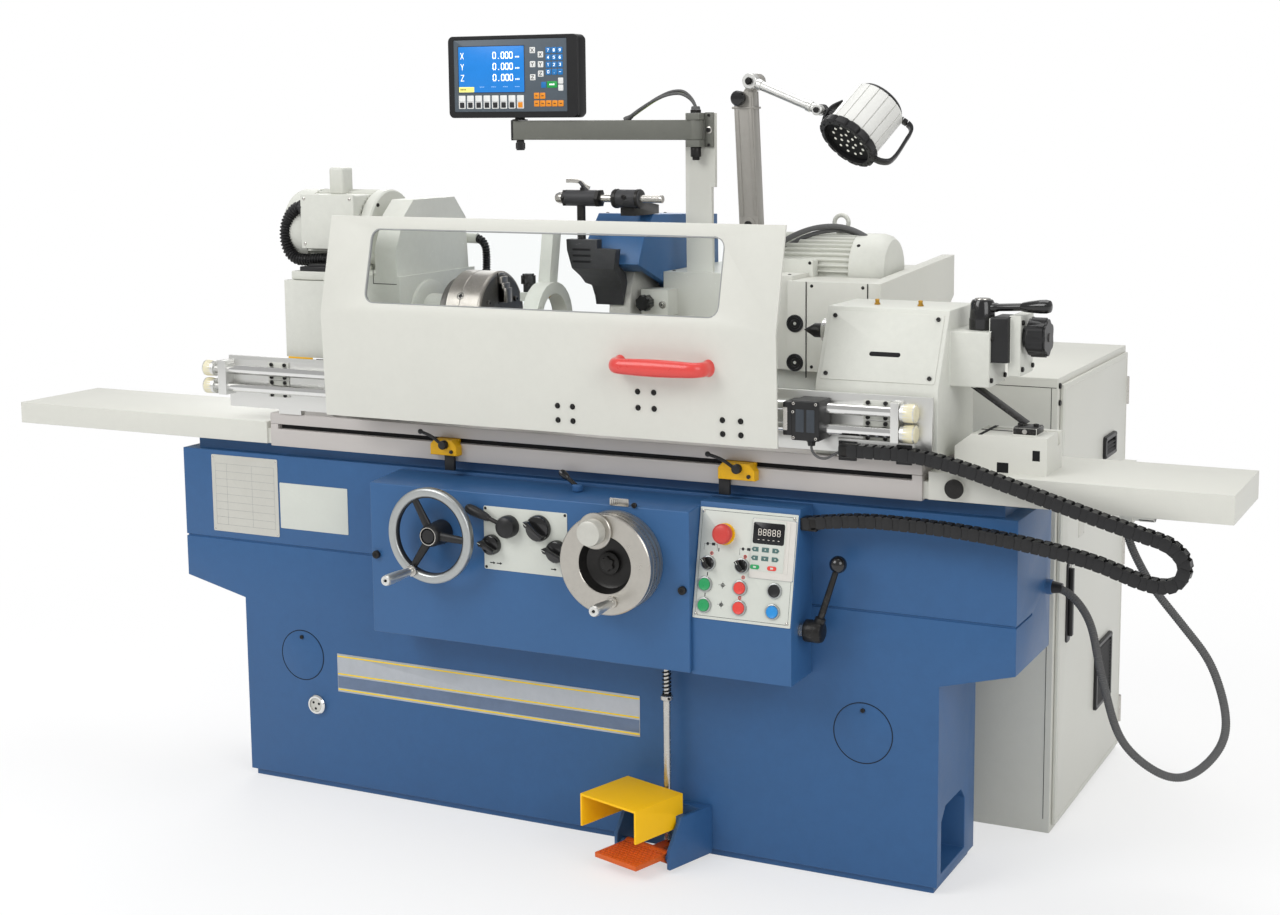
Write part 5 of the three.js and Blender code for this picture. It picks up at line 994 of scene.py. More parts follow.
BLUE = Finish("machine_blue", 0x325C8B, 0.42, grain=Grain.CASTING_PAINT, shade=0.9, cloud=4.0)
BLUE_SMOOTH = Finish("sheet_blue", 0x36608F, 0.38, shade=0.94, cloud=6.0)
WHITE = Finish("light_grey_sheet", 0xD2D2CA, 0.42, shade=0.97, cloud=5.0)
WHITE_CAST = Finish("light_grey_casting", 0xD3D4CC, 0.46, grain=Grain.CASTING_PAINT, shade=0.94, cloud=7.0)
GREY_PAINT = Finish("bracket_grey", 0x71726B, 0.5, grain=Grain.PAINT, shade=0.92, cloud=10.0)
YELLOW = Finish("guard_yellow", 0xFFC400, 0.55, shade=0.98, cloud=9.0, wear=0.05)
DOG_YELLOW = Finish(
    "dog_yellow", 0xE3AC0C, 0.4, grain=Grain.CASTING_PAINT, shade=0.85, cloud=30.0, wear=0.25
)
ORANGE = Finish(
    "pedal_orange", 0xDE6420, 0.45, grain=Grain.CASTING_PAINT, shade=0.85, cloud=20.0, wear=0.15
)
TABLE_IRON = Finish("ground_iron", 0x645E56, 0.42, 0.6, Grain.CAST, shade=0.72, cloud=12.0, wear=0.3)
GROUND_STEEL = Finish("ground_steel", 0xB9B6B1, 0.3, 0.9, Grain.GROUND_ALONG_X, shade=0.85, cloud=15.0)
TURNED_STEEL = Finish("turned_steel", 0xC6C3BD, 0.26, 0.95, Grain.BRUSHED, shade=0.86, cloud=12.0)
CHROME = Finish("hard_chrome", 0xE4E4E2, 0.1, 1.0, Grain.POLISHED, shade=0.95, cloud=10.0)
RIM_CHROME = Finish("satin_chrome", 0xB4B7B6, 0.36, 0.9, Grain.POLISHED, shade=0.92, cloud=10.0)
ALUMINIUM = Finish("satin_aluminium", 0xC2C1BC, 0.34, 0.85, Grain.BRUSHED, shade=0.9, cloud=10.0)
DRUM_METAL = Finish("drum_metal", 0xBDB9B1, 0.3, 0.9, Grain.BRUSHED, shade=0.9, cloud=9.0)
BLACK_OXIDE = Finish("black_oxide", 0x2E2D2C, 0.36, 0.55, Grain.MOULDED, shade=0.75, cloud=20.0, wear=0.15)
BLACK = Finish("black_moulding", 0x222223, 0.38, grain=Grain.MOULDED, shade=0.8, cloud=25.0)
GLOSS_BLACK = Finish("black_knob", 0x161617, 0.18, grain=Grain.POLISHED, shade=0.8, cloud=20.0, coat=0.5)
RUBBER = Finish("black_rubber", 0x1D1C1C, 0.6, grain=Grain.RUBBER, shade=0.75, cloud=30.0)
CREAM = Finish("cream_rubber", 0xE4DDBE, 0.5, grain=Grain.MOULDED, shade=0.9, cloud=30.0)
HANDLE_RED = Finish("handle_red", 0xDC4843, 0.3, grain=Grain.POLISHED, shade=0.93, cloud=15.0, coat=0.3)
STOP_RED = Finish("stop_red", 0xC9453F, 0.32, grain=Grain.MOULDED, shade=0.9, cloud=30.0)
PRESS_RED = Finish("button_red", 0xE04A42, 0.3, grain=Grain.MOULDED, shade=0.9, cloud=30.0)
PRESS_GREEN = Finish("button_green", 0x2E9E60, 0.3, grain=Grain.MOULDED, shade=0.9, cloud=30.0)
PRESS_BLUE = Finish("button_blue_cap", 0x2F8FD6, 0.3, grain=Grain.MOULDED, shade=0.9, cloud=30.0)
PANEL_WHITE = Finish("panel_face", 0xCDD0C8, 0.36, grain=Grain.PAINT, shade=0.97, cloud=20.0)
PANEL_INK = Finish("panel_ink", 0x2B2C2E, 0.5, grain=Grain.POLISHED, shade=0.9, cloud=30.0)
PLATE_METAL = Finish("plate_aluminium", 0xC9C8C0, 0.42, 0.35, Grain.BRUSHED, shade=0.94, cloud=15.0)
STONE = Finish("grinding_stone", 0xCFCDC6, 0.9, grain=Grain.CAST, shade=0.8, cloud=60.0)
BRASS = Finish("brass", 0xC79A45, 0.3, 0.9, Grain.BRUSHED, shade=0.85, cloud=20.0)
# Near-black: painted shade in the hollows of sockets, holes, slots, seams, grooves and openings, and also
# the colour of graduation ticks and a few small dark parts.
RECESS_SHADE_AND_MARKS = Finish("painted_recess_shade_and_dark_marks", 0x101113, 0.75, grain=Grain.RUBBER, shade=0.7, cloud=30.0)
CAP_GREY = Finish("keypad_grey", 0x9A9C9B, 0.45, grain=Grain.MOULDED, shade=0.92, cloud=30.0)
CASE_GREY = Finish("console_case", 0x3B4148, 0.42, grain=Grain.MOULDED, shade=0.85, cloud=20.0)
FACE_GREY = Finish("console_face", 0x566069, 0.4, grain=Grain.POLISHED, shade=0.92, cloud=20.0)
CHUCK_STEEL = Finish("chuck_steel", 0xA29C96, 0.36, 0.85, Grain.BRUSHED, shade=0.8, cloud=18.0, wear=0.1)
CHUCK_FACE = Finish("chuck_face", 0x6F6C69, 0.42, 0.7, Grain.BRUSHED, shade=0.75, cloud=22.0, wear=0.3)
POST_GREY = Finish("lamp_post_grey", 0x9C9993, 0.38, 0.25, Grain.BRUSHED, shade=0.93, cloud=9.0)
LAMP_SHELL = Finish("lamp_shell_white", 0xDFDFDB, 0.34, 0.0, Grain.POLISHED, shade=0.96, cloud=12.0)
CONSOLE_BLACK = Finish("console_frame", 0x111113, 0.46, grain=Grain.MOULDED, shade=0.85, cloud=20.0)
SCREEN_BLUE = Finish("screen_blue", 0x1672C0, 0.3, grain=Grain.POLISHED, shade=0.9, cloud=40.0, glow=0.5)
SCREEN_WHITE = Finish("screen_white", 0xF4F7FA, 0.3, grain=Grain.POLISHED, shade=0.98, cloud=40.0, glow=0.6)
SCREEN_PALE = Finish("screen_pale", 0x9CC4E6, 0.3, grain=Grain.POLISHED, shade=0.96, cloud=40.0, glow=0.5)
NOZZLE_GREY = Finish("nozzle_grey", 0x39393B, 0.5, grain=Grain.CAST, shade=0.8, cloud=25.0, wear=0.2)
CABLE_GREEN = Finish("cable_green_yellow", 0x8FA32B, 0.5, grain=Grain.MOULDED, shade=0.9, cloud=30.0)
SCREEN_YELLOW = Finish(
    "screen_yellow", 0xEDE57C, 0.3, grain=Grain.POLISHED, shade=0.97, cloud=40.0, glow=0.5
)
KEY_WHITE = Finish("key_white", 0xE9EAE8, 0.4, grain=Grain.MOULDED, shade=0.97, cloud=40.0)
KEY_BLUE = Finish("key_blue", 0x1E77BC, 0.4, grain=Grain.MOULDED, shade=0.95, cloud=40.0)
KEY_GREEN = Finish("key_green", 0x1FA24A, 0.4, grain=Grain.MOULDED, shade=0.95, cloud=40.0)
KEY_ORANGE = Finish("key_orange", 0xEE9322, 0.4, grain=Grain.MOULDED, shade=0.95, cloud=40.0)
LENS = Finish("lamp_lens", 0xF2F1E6, 0.2, grain=Grain.POLISHED, shade=0.95, cloud=60.0, glow=0.15, coat=0.5)


# The camera, the floor and the light


@dataclass
class Studio:
    """The photograph's camera, a pale floor and soft lamps."""

    eye: tuple = (1.89225, -3.4532, 1.5)
    lens: float = 53.27
    yaw: float = math.radians(25.551)
    pitch: float = math.radians(7.974)
    roll: float = math.radians(-0.341)
    shift: tuple = (-0.0401, -0.0618)
    sensor: float = 36.0
    clip: tuple = (0.05, 60.0)
    floor_reach: float = 40.0
    floor_lines: int = 21
    paper: float = 0.9
    fade_from: float = 0.9
    fade_to: float = 3.0
    white_near: float = 0.55
    aim: tuple = (0.0, 0.0, 0.9)
    lamps: tuple = (
        ("key", (-2.6, -4.2, 4.6), 3.2, 170.0),
        ("fill", (4.6, -3.0, 3.2), 3.0, 95.0),
        ("top", (0.4, 1.2, 5.2), 4.0, 110.0),
        ("back", (-3.0, 4.6, 3.4), 3.0, 70.0),
    )

    def build(self) -> None:
        """Makes the camera, the floor, the world and the lamps."""
        bpy.context.scene.view_settings.view_transform = "Standard"
        self.camera()
        self.floor()
        self.world()
        for name, place, size, power in self.lamps:
            self.lamp(name, place, size, power)

    def camera(self) -> None:
        """A camera at the eye, looking along the yaw and pitch, with the photograph's shift."""
        data = bpy.data.cameras.new("camera")
        data.lens = self.lens
        data.sensor_width = self.sensor
        data.shift_x, data.shift_y = self.shift
        data.clip_start, data.clip_end = self.clip
        made = bpy.data.objects.new("camera", data)
        ahead = Vector(
            (
                -math.sin(self.yaw) * math.cos(self.pitch),
                math.cos(self.yaw) * math.cos(self.pitch),
                -math.sin(self.pitch),
            )
        )
        turn = ahead.to_track_quat("-Z", "Y").to_matrix()
        made.matrix_world = (turn @ Euler((0, 0, self.roll)).to_matrix()).to_4x4()
        made.location = self.eye
        bpy.context.scene.collection.objects.link(made)
        bpy.context.scene.camera = made

    def floor(self) -> None:
        """A flat pale floor that fades to plain white for the camera with the distance from the machine."""
        x = np.linspace(-self.floor_reach, self.floor_reach, self.floor_lines)
        gx, gy = np.meshgrid(x, x)
        mesh = bpy.data.meshes.new("floor")
        points = np.stack([gx, gy, gx * 0], -1).reshape(-1, 3)
        faces = grid_faces(self.floor_lines, self.floor_lines, closed=False)
        mesh.from_pydata(points.tolist(), [], faces)
        made = bpy.data.objects.new("floor", mesh)
        paint = bpy.data.materials.new("floor_paper")
        paint.use_nodes = True
        tree = paint.node_tree
        shader = tree.nodes["Principled BSDF"]
        shader.inputs["Base Color"].default_value = (self.paper, self.paper, self.paper, 1)
        shader.inputs["Roughness"].default_value = 0.9
        glow = tree.nodes.new("ShaderNodeEmission")
        path = tree.nodes.new("ShaderNodeLightPath")
        seen = maths(tree, "MAXIMUM", path.outputs["Is Camera Ray"], path.outputs["Is Transmission Ray"])
        seen = maths(tree, "MAXIMUM", seen, path.outputs["Is Glossy Ray"])
        place = tree.nodes.new("ShaderNodeTexCoord")
        length = node(tree, "ShaderNodeVectorMath", operation="LENGTH")
        tree.links.new(place.outputs["Object"], length.inputs[0])
        fade = node(tree, "ShaderNodeMapRange", clamp=True, interpolation_type="SMOOTHSTEP")
        fade.inputs["From Min"].default_value = self.fade_from
        fade.inputs["From Max"].default_value = self.fade_to
        fade.inputs["To Min"].default_value = self.white_near
        tree.links.new(length.outputs["Value"], fade.inputs["Value"])
        both = tree.nodes.new("ShaderNodeMixShader")
        tree.links.new(maths(tree, "MULTIPLY", seen, fade.outputs["Result"]), both.inputs[0])
        tree.links.new(shader.outputs[0], both.inputs[1])
        tree.links.new(glow.outputs[0], both.inputs[2])
        tree.links.new(both.outputs[0], tree.nodes["Material Output"].inputs["Surface"])
        mesh.materials.append(paint)
        bpy.context.scene.collection.objects.link(made)

    def world(self) -> None:
        """Soft even light, and white where the camera, glass or gloss looks past the floor."""
        world = bpy.data.worlds.new("soft_room")
        bpy.context.scene.world = world
        world.use_nodes = True
        tree = world.node_tree
        shader = tree.nodes["Background"]
        shader.inputs["Color"].default_value = (1, 1, 1, 1)
        path = tree.nodes.new("ShaderNodeLightPath")
        seen = maths(tree, "MAXIMUM", path.outputs["Is Camera Ray"], path.outputs["Is Transmission Ray"])
        strength = maths(tree, "ADD", maths(tree, "MULTIPLY", seen, 0.5), 0.5)
        tree.links.new(strength, shader.inputs["Strength"])

    def lamp(self, name: str, place: tuple, size: float, power: float) -> None:
        """One square area lamp aimed at the middle of the machine.

        Args:
            name: its name.
            place: where it stands.
            size: its side.
            power: its power in watts.
        """
        data = bpy.data.lights.new(name, "AREA")
        data.energy, data.size = power, size
        made = bpy.data.objects.new(name, data)
        made.location = place
        made.rotation_euler = (Vector(self.aim) - Vector(place)).to_track_quat("-Z", "Y").to_euler()
        bpy.context.scene.collection.objects.link(made)


# Solids that keep their shape, with their edges rounded


def rounded(
    node_name: str,
    finish: Finish,
    width: float,
    body: str,
    extra: tuple[Finish, ...] = (),
    pick: Callable[[Vector], int] | None = None,
) -> bpy.types.Object:
    """A merged copy of a solid with rounded edges and smooth round faces, which stands for it.

    Args:
        node_name: the solid's name.
        finish: its finish.
        width: how wide its edges are rounded, zero to leave them sharp.
        body: the body that it rides on.
        extra: further finishes, for slots after the first.
        pick: gives the slot of a face from its middle, where there is more than one.

    Returns:
        The piece, named after the solid.
    """
    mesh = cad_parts[node_name].data.copy()
    mesh.name = node_name + "_rounded"
    mesh.materials.clear()
    for f in (finish, *extra):
        mesh.materials.append(f.material())
    bm = bmesh.new()
    bm.from_mesh(mesh)
    bmesh.ops.remove_doubles(bm, verts=bm.verts, dist=SOLID_WELD)
    bmesh.ops.dissolve_limit(bm, angle_limit=FLAT_ANGLE, verts=bm.verts, edges=bm.edges)
    if width:
        edges = [e for e in bm.edges if e.is_manifold and e.calc_face_angle(0.0) > BEVEL_ANGLE]
        edges = [e for e in edges if e.calc_length() > 0.25 * width]
        bmesh.ops.bevel(
            bm, geom=edges, offset=width, segments=3, profile=0.5, affect="EDGES", clamp_overlap=True
        )
    for f in bm.faces:
        f.material_index = pick(f.calc_center_median()) if pick else 0
        f.smooth = True
    bm.to_mesh(mesh)
    bm.free()
    mesh.set_sharp_from_angle(angle=SMOOTH_ANGLE)
    made = bpy.data.objects.new(node_name + "_rounded", mesh)
    bpy.context.scene.collection.objects.link(made)
    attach(made, body)
    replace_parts(made, node_name)
    LOG.info("%s: %d faces on %s", made.name, len(mesh.polygons), body)
    return made


# Small parts that repeat


def cap_screw(
    shape: Shape, place: Numbers, out: Numbers, radius: float = 0.004, slot: int = 0, socket: int = 1
) -> None:
    """A socket-head screw: a turned head with a rounded rim and, where its socket is, a thin near-black
    hexagon of painted shade.

    Args:
        shape: the shape that it is added to.
        place: where the head meets its seat.
        out: the direction in which the head stands out.
        radius: the head's radius.
        slot: the material slot of the head.
        socket: the material slot of the socket's painted shade.
    """
    tall = 0.9 * radius
    head = [(0.0, radius), (0.8 * tall, radius), (tall, 0.85 * radius), (tall, 0.55 * radius)]
    shape.turned(place, out, head, 18, slot)
    start = vec(place) + unit(out) * tall
    # the socket: a thin near-black hexagon on the head, painted shade instead of a hollow
    shape.turned(start, out, [(0.0, 0.5 * radius), (0.0002, 0.48 * radius)], 6, socket)


def flat_screw(
    shape: Shape, place: Numbers, out: Numbers, radius: float = 0.003, slot: int = 0
) -> None:
    """A low round screw head, as a shallow dome.

    Args:
        shape: the shape that it is added to.
        place: where the head meets its seat.
        out: the direction in which it stands out.
        radius: the head's radius.
        slot: the material slot.
    """
    profile = [(0.0, radius), *dome(radius, 0.45 * radius, 0.0, 4)[:-1], (0.45 * radius, 0.12 * radius)]
    shape.turned(place, out, profile, 16, slot)


def fluted(radius: float, depth: float, flutes: int, sides: int) -> Array:
    """A round outline whose radius is radius - depth * (1 + cos(flutes * angle)) / 2, as on a star grip.

    Args:
        radius: the lobes' radius.
        depth: how deep the flutes are.
        flutes: how many there are.
        sides: how many points the outline has.

    Returns:
        Its points (n, 2).
    """
    a = spread(sides)
    r = radius - depth * (0.5 + 0.5 * np.cos(flutes * a))
    return r[:, None] * on_circle(a)


def hung_cable(name: str, body: str, route: Numbers, radius: float, finish: Finish, counts: tuple) -> Array:
    """A plain round cable with both ends on the machine, as a piece.

    Args:
        name: the piece's name.
        body: the body that it rides on.
        route: the points of its middle line, from where it leaves its fitting.
        radius: its radius.
        finish: its material.
        counts: how many points its mesh has, first; the second number is not used.

    Returns:
        The mesh's middle line.
    """
    path = smooth_path(route, counts[0])
    cable = Shape().bar(path, radius, 14).made(name, body, finish)
    return path


@dataclass
class Base:
    """The bed, the apron and the control box, with their covers, plates, sight glass and stripe band."""

    front: float = -0.11
    seam: tuple = (0.547, 0.551)

    def build(self) -> None:
        """Builds the base and what is fastened to it."""
        rounded("bed", BLUE, 0.004, "bed")
        rounded("apron_housing", BLUE_SMOOTH, 0.0025, "bed")
        rounded("control_box", BLUE_SMOOTH, 0.002, "bed")
        self.bed_ways()
        self.round_covers()
        self.plates()
        self.stripe_band()
        self.apron_details()

    def bed_ways(self) -> None:
        """Bright ground strips on the two ways, where the rim of the bed leaves them bare at each end."""
        s = Shape()
        for x0, x1 in ((-0.956, -0.732), (0.785, 0.926)):
            s.box((x0, -0.0845, 0.7772), (x1, -0.0455, 0.7782), 0.0004, 1)
            s.box((x0, 0.0605, 0.7772), (x1, 0.1095, 0.7782), 0.0004, 1)
        s.made("bed_way_strips", "bed", GROUND_STEEL)

    def round_covers(self) -> None:
        """Two round access covers, each with a groove round it, drawn as a near-black ring of painted
        shade, and one screw near its top.
        """
        s = Shape()
        for x, z, r in ((-0.676, 0.301, 0.056), (0.659, 0.305, 0.06)):
            # the groove: a thin near-black ring, painted shade
            ring = [(-0.001, r + 0.0016), (0.0004, r + 0.0016), (0.0004, r), (-0.001, r)]
            s.turned((x, self.front, z), TOWARDS, ring, 64, 1)
            s.turned(
                (x, self.front, z), TOWARDS,
                [(-0.001, r - 0.001), (0.0006, r - 0.001), (0.001, r - 0.002)], 64
            )
            cap_screw(s, (x, self.front - 0.001, z + r - 0.014), TOWARDS, 0.0045, 2, 1)
        s.made("round_covers", "bed", BLUE, RECESS_SHADE_AND_MARKS, BLACK_OXIDE)
        g = Shape()
        eye = (-0.639, self.front, 0.192)
        rim = [
            (-0.001, 0.0225), (0.006, 0.0225), (0.009, 0.02), (0.0095, 0.0165), (0.006, 0.0158),
            (0.006, 0.014)
        ]
        g.turned(eye, TOWARDS, rim, 40)
        g.turned(eye, TOWARDS, [(0.0, 0.0155), (0.0065, 0.0155), (0.0072, 0.009)], 40, 1)
        for k in range(3):
            a = k * 2 * math.pi / 3 + 0.4
            at = (eye[0] + 0.0085 * math.cos(a), eye[1] - 0.0068, eye[2] + 0.0085 * math.sin(a))
            g.turned(at, TOWARDS, [(0.0, 0.003), (0.001, 0.0028)], 12, 2)
        g.made("oil_sight_glass", "bed", CHROME, PLATE_METAL, RECESS_SHADE_AND_MARKS)

    def plates(self) -> None:
        """A bare aluminium plate with four rivets and a ruled frame, and a bare white one beside it."""
        s = Shape()
        y = self.front - 0.0001
        s.slab(rectangle(-0.912, -0.728, 0.566, 0.742, 0.003), (0, y, 0), RIGHT, UP, 0.0012, 0.0004)
        for x, z in ((-0.907, 0.571), (-0.733, 0.571), (-0.907, 0.737), (-0.733, 0.737)):
            flat_screw(s, (x, y - 0.0012, z), TOWARDS, 0.0022, 1)
        rules = [(-0.902, -0.738, z, z + 0.0006) for z in np.linspace(0.582, 0.722, 9)]
        rules += [(x, x + 0.0006, 0.582, 0.7226) for x in (-0.902, -0.87, -0.8, -0.7386)]
        for x0, x1, z0, z1 in rules:
            s.slab(rectangle(x0, x1, z0, z1), (0, y - 0.0012, 0), RIGHT, UP, 0.0001, 0.00002, 2)
        s.slab(rectangle(-0.7235, -0.541, 0.588, 0.691, 0.002), (0, y, 0), RIGHT, UP, 0.0008, 0.0003, 3)
        s.made("lubrication_plate", "bed", PLATE_METAL, TURNED_STEEL, CAP_GREY, PANEL_WHITE)

    def stripe_band(self) -> None:
        """A band across the bed: silver over grey-blue, edged and crossed by thin yellow lines."""
        s = Shape()
        x0, x1, z0, z1 = -0.582, 0.1725, 0.229, 0.316
        y = self.front - 0.0001
        s.slab(rectangle(x0, x1, z0, z1, 0.001), (0, y, 0), RIGHT, UP, 0.0006, 0.0002)
        rows = ((z0 + 0.009, z0 + 0.036, 1), (z0 + 0.004, z0 + 0.007, 2), (z0 + 0.0395, z0 + 0.0425, 2))
        for low, high, slot in (*rows, (z1 - 0.0075, z1 - 0.0045, 2)):
            s.slab(
                rectangle(x0 + 0.001, x1 - 0.001, low, high), (0, y - 0.0006, 0), RIGHT, UP, 0.0002,
                0.00005, slot
            )
        silver = Finish("band_silver", 0xB9BDC2, 0.3, 0.5, Grain.GROUND_ALONG_X, shade=0.85, cloud=2.0)
        slate = Finish("band_slate", 0x6C7D97, 0.35, 0.2, Grain.GROUND_ALONG_X, shade=0.8, cloud=2.5)
        line = Finish("band_yellow", 0xF3D21B, 0.4, shade=0.95)
        s.made("stripe_band", "bed", silver, slate, line)

    def apron_details(self) -> None:
        """The knob plate, its bushes, the screws of the apron and the foot of the reversing lever."""
        s = Shape()
        y = -0.225
        plate = rectangle(-0.121, 0.073, 0.581, 0.712, 0.003)
        s.slab(plate, (0, y - 0.0001, 0), RIGHT, UP, 0.0012, 0.0004)
        for x, z in ((-0.1165, 0.5855), (0.0685, 0.5855), (-0.1165, 0.7075), (0.0685, 0.7075)):
            flat_screw(s, (x, y - 0.0012, z), TOWARDS, 0.0032, 3)
        for x, z in ((-0.108, 0.595), (-0.092, 0.595), (0.035, 0.595)):
            arrow = [
                (x, z - 0.001), (x + 0.008, z - 0.001), (x + 0.008, z - 0.003), (x + 0.013, z),
                (x + 0.008, z + 0.003), (x + 0.008, z + 0.001), (x, z + 0.001)
            ]
            s.slab(arrow, (0, y - 0.0013, 0), RIGHT, UP, 0.0001, 0.00002, 2)
        for x, z in ((-0.386, 0.585), (0.328, 0.582)):
            cap_screw(s, (x, y, z), TOWARDS, 0.0085, 3, 2)
        s.slab(
            rectangle(0.17, 0.212, 0.7375, 0.7525, 0.002), (0, y - 0.0002, 0), RIGHT, UP,
            0.0016, 0.0004, 1
        )
        for k in range(9):
            x = 0.174 + 0.00425 * k
            s.box((x, y - 0.002, 0.741), (x + 0.0008, y - 0.0017, 0.749), 0.0001, 1, 2)
        cap_screw(s, (0.2245, y, 0.7415), TOWARDS, 0.0055, 3, 2)
        s.made("knob_plate", "bed", PANEL_WHITE, TURNED_STEEL, RECESS_SHADE_AND_MARKS, BLACK_OXIDE)


# Cables


@dataclass
class Cables:
    """The corrugated hose from the bed up to the table, and the energy chain from the control box."""

    hose_radius: float = 0.0085
    rib: float = 0.0042
    rib_deep: float = 0.0011
    hose_route: tuple = (
        (0.9723, 0.1, 0.58), (0.992, 0.1, 0.58), (1.0415, 0.101, 0.5295), (1.0725, 0.104, 0.408),
        (1.1215, 0.108, 0.2745), (1.2235, 0.113, 0.224), (1.305, 0.119, 0.3125), (1.278, 0.126, 0.447),
        (1.218, 0.132, 0.523), (1.1585, 0.138, 0.59), (1.116, 0.144, 0.659), (1.1035, 0.146, 0.6915),
        (1.1035, 0.146, 0.7107),
    )
    hose_ease: float = 0.042
    chain_route: tuple = (
        (0.5523, 0.722), (0.665, 0.736), (0.781, 0.737), (0.894, 0.731), (1.004, 0.719), (1.111, 0.7),
        (1.225, 0.668), (1.262, 0.676), (1.275, 0.71), (1.251, 0.74), (1.188, 0.76), (1.109, 0.782),
        (1.029, 0.805), (0.947, 0.829), (0.86, 0.853), (0.776, 0.868), (0.7, 0.87), (0.63, 0.87),
    )
    chain_side: tuple = (-0.172, -0.144)
    chain_half: float = 0.0125
    link_plate: float = 0.0032
    link_step: float = 0.0011
    cross_bar: float = 0.0014
    pitch: float = 0.0165

    def build(self) -> None:
        """Builds both."""
        self.hose()
        self.chain()

    def hose_path(self, count: int) -> Array:
        """The hose's middle line in that many points."""
        return eased(smooth_path(self.hose_route, count), self.hose_ease)

    def hose(self) -> None:
        """A ribbed tube: radius = outer - deep * (1 + cos(2 pi s / rib)) / 2, and a gland at its foot."""
        length = path_length(self.hose_path(400))
        path = self.hose_path(int(length / self.rib * 5))
        tube = Shape().ribbed(path, self.hose_radius, self.rib_deep, self.rib, 14)
        hose = tube.made("corrugated_hose", "bed", RUBBER)
        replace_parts(hose, "cable_hose")
        self.hose_path(160).tolist()
        LOG.info("corrugated_hose: %.3f m long", length)
        g = Shape()
        nut = [(0.0, 0.0135), (0.0, 0.0145), (0.009, 0.0145), (0.0095, 0.0138)]
        g.turned((0.9603, 0.1, 0.58), RIGHT, nut, 6)
        g.turned((0.9698, 0.1, 0.58), RIGHT, [(0.0, 0.0125), (0.008, 0.0115), (0.022, 0.0094)], 28)
        g.made("hose_gland", "bed", BLACK)

    def chain(self) -> None:
        """Open links along the route: two waisted side plates and two cross bars for each pitch."""
        route = smooth_path([(x, 0.0, z) for x, z in self.chain_route], 900)
        total = path_length(route)
        count = int(total / self.pitch)
        marks = np.linspace(0, len(route) - 1, count + 1).round().astype(int)
        s = Shape()
        y0, y1 = self.chain_side
        h = self.chain_half
        plate = vec(
            (
                (-0.62, -0.62), (-0.45, -0.96), (0.3, -0.96), (0.62, -0.62), (0.62, 0.62), (0.3, 0.96),
                (-0.45, 0.96), (-0.62, 0.62)
            )
        )
        for k in range(count):
            a, b = route[marks[k]], route[marks[k + 1]]
            along = unit(b - a)
            up = np.cross(along, AWAY)
            up = up if up[2] > 0 or k > count / 3 else -up
            mid = (a + b) / 2
            size = vec((self.pitch, h))
            step = self.link_step * (k % 2)
            for y in (y0 + step, y1 - self.link_plate - step):
                base = mid + (0.0, y + self.link_plate, 0.0)
                across = along if np.cross(along, up)[1] < 0 else -along
                s.slab(plate * size, base, across, up, self.link_plate, 0.0006)
            for side in (-1, 1):
                low = mid + side * up * (h - 0.0022)
                reach = 0.3 * self.pitch
                bar = rectangle(-reach, reach, -self.cross_bar, self.cross_bar)
                path = np.array([low + (0.0, y0 + 0.001, 0.0), low + (0.0, y1 - 0.001, 0.0)])
                turn = np.outer(bar[:, 0], along) + np.outer(bar[:, 1], up)
                s.add(path[:, None] + turn[None], tube_faces(2, 4))
        for x0, x1, z0, z1 in ((0.5525, 0.585, 0.7095, 0.7345), (0.628, 0.662, 0.8575, 0.8825)):
            s.box((x0, y0 + 0.001, z0), (x1, y1 - 0.001, z1), 0.002, 2, 1)
        chain = s.made("energy_chain_links", "bed", BLACK, BLACK_OXIDE)
        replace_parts(chain, "energy_chain")


# Hand controls

PANEL_UP = vec((0.0, 0.19612, 0.98058))
PANEL_OUT = vec((0.0, -0.98058, 0.19612))
PANEL_BASE = vec((0.0, -0.216, 0.525))


def on_panel(across: float, up: float, out: float = 0.0) -> Array:
    """A point of the leaning panel: across along X, up along the panel, and out from it."""
    return PANEL_BASE + (across, 0.0, 0.0) + up * PANEL_UP + out * PANEL_OUT


def panel_slab(shape: Shape, box: tuple, out: float, thick: float, slot: int, corner: float = 0.0) -> None:
    """A thin rounded plate that lies on the leaning panel.

    Args:
        shape: the shape that it is added to.
        box: its sides x0, x1, up0 and up1.
        out: the height of its back.
        thick: its thickness.
        slot: the material slot.
        corner: the radius of its corners.
    """
    outline = rectangle(*box, corner)
    shape.slab(outline, on_panel(0, 0, out), RIGHT, PANEL_UP, thick, 0.3 * thick, slot)


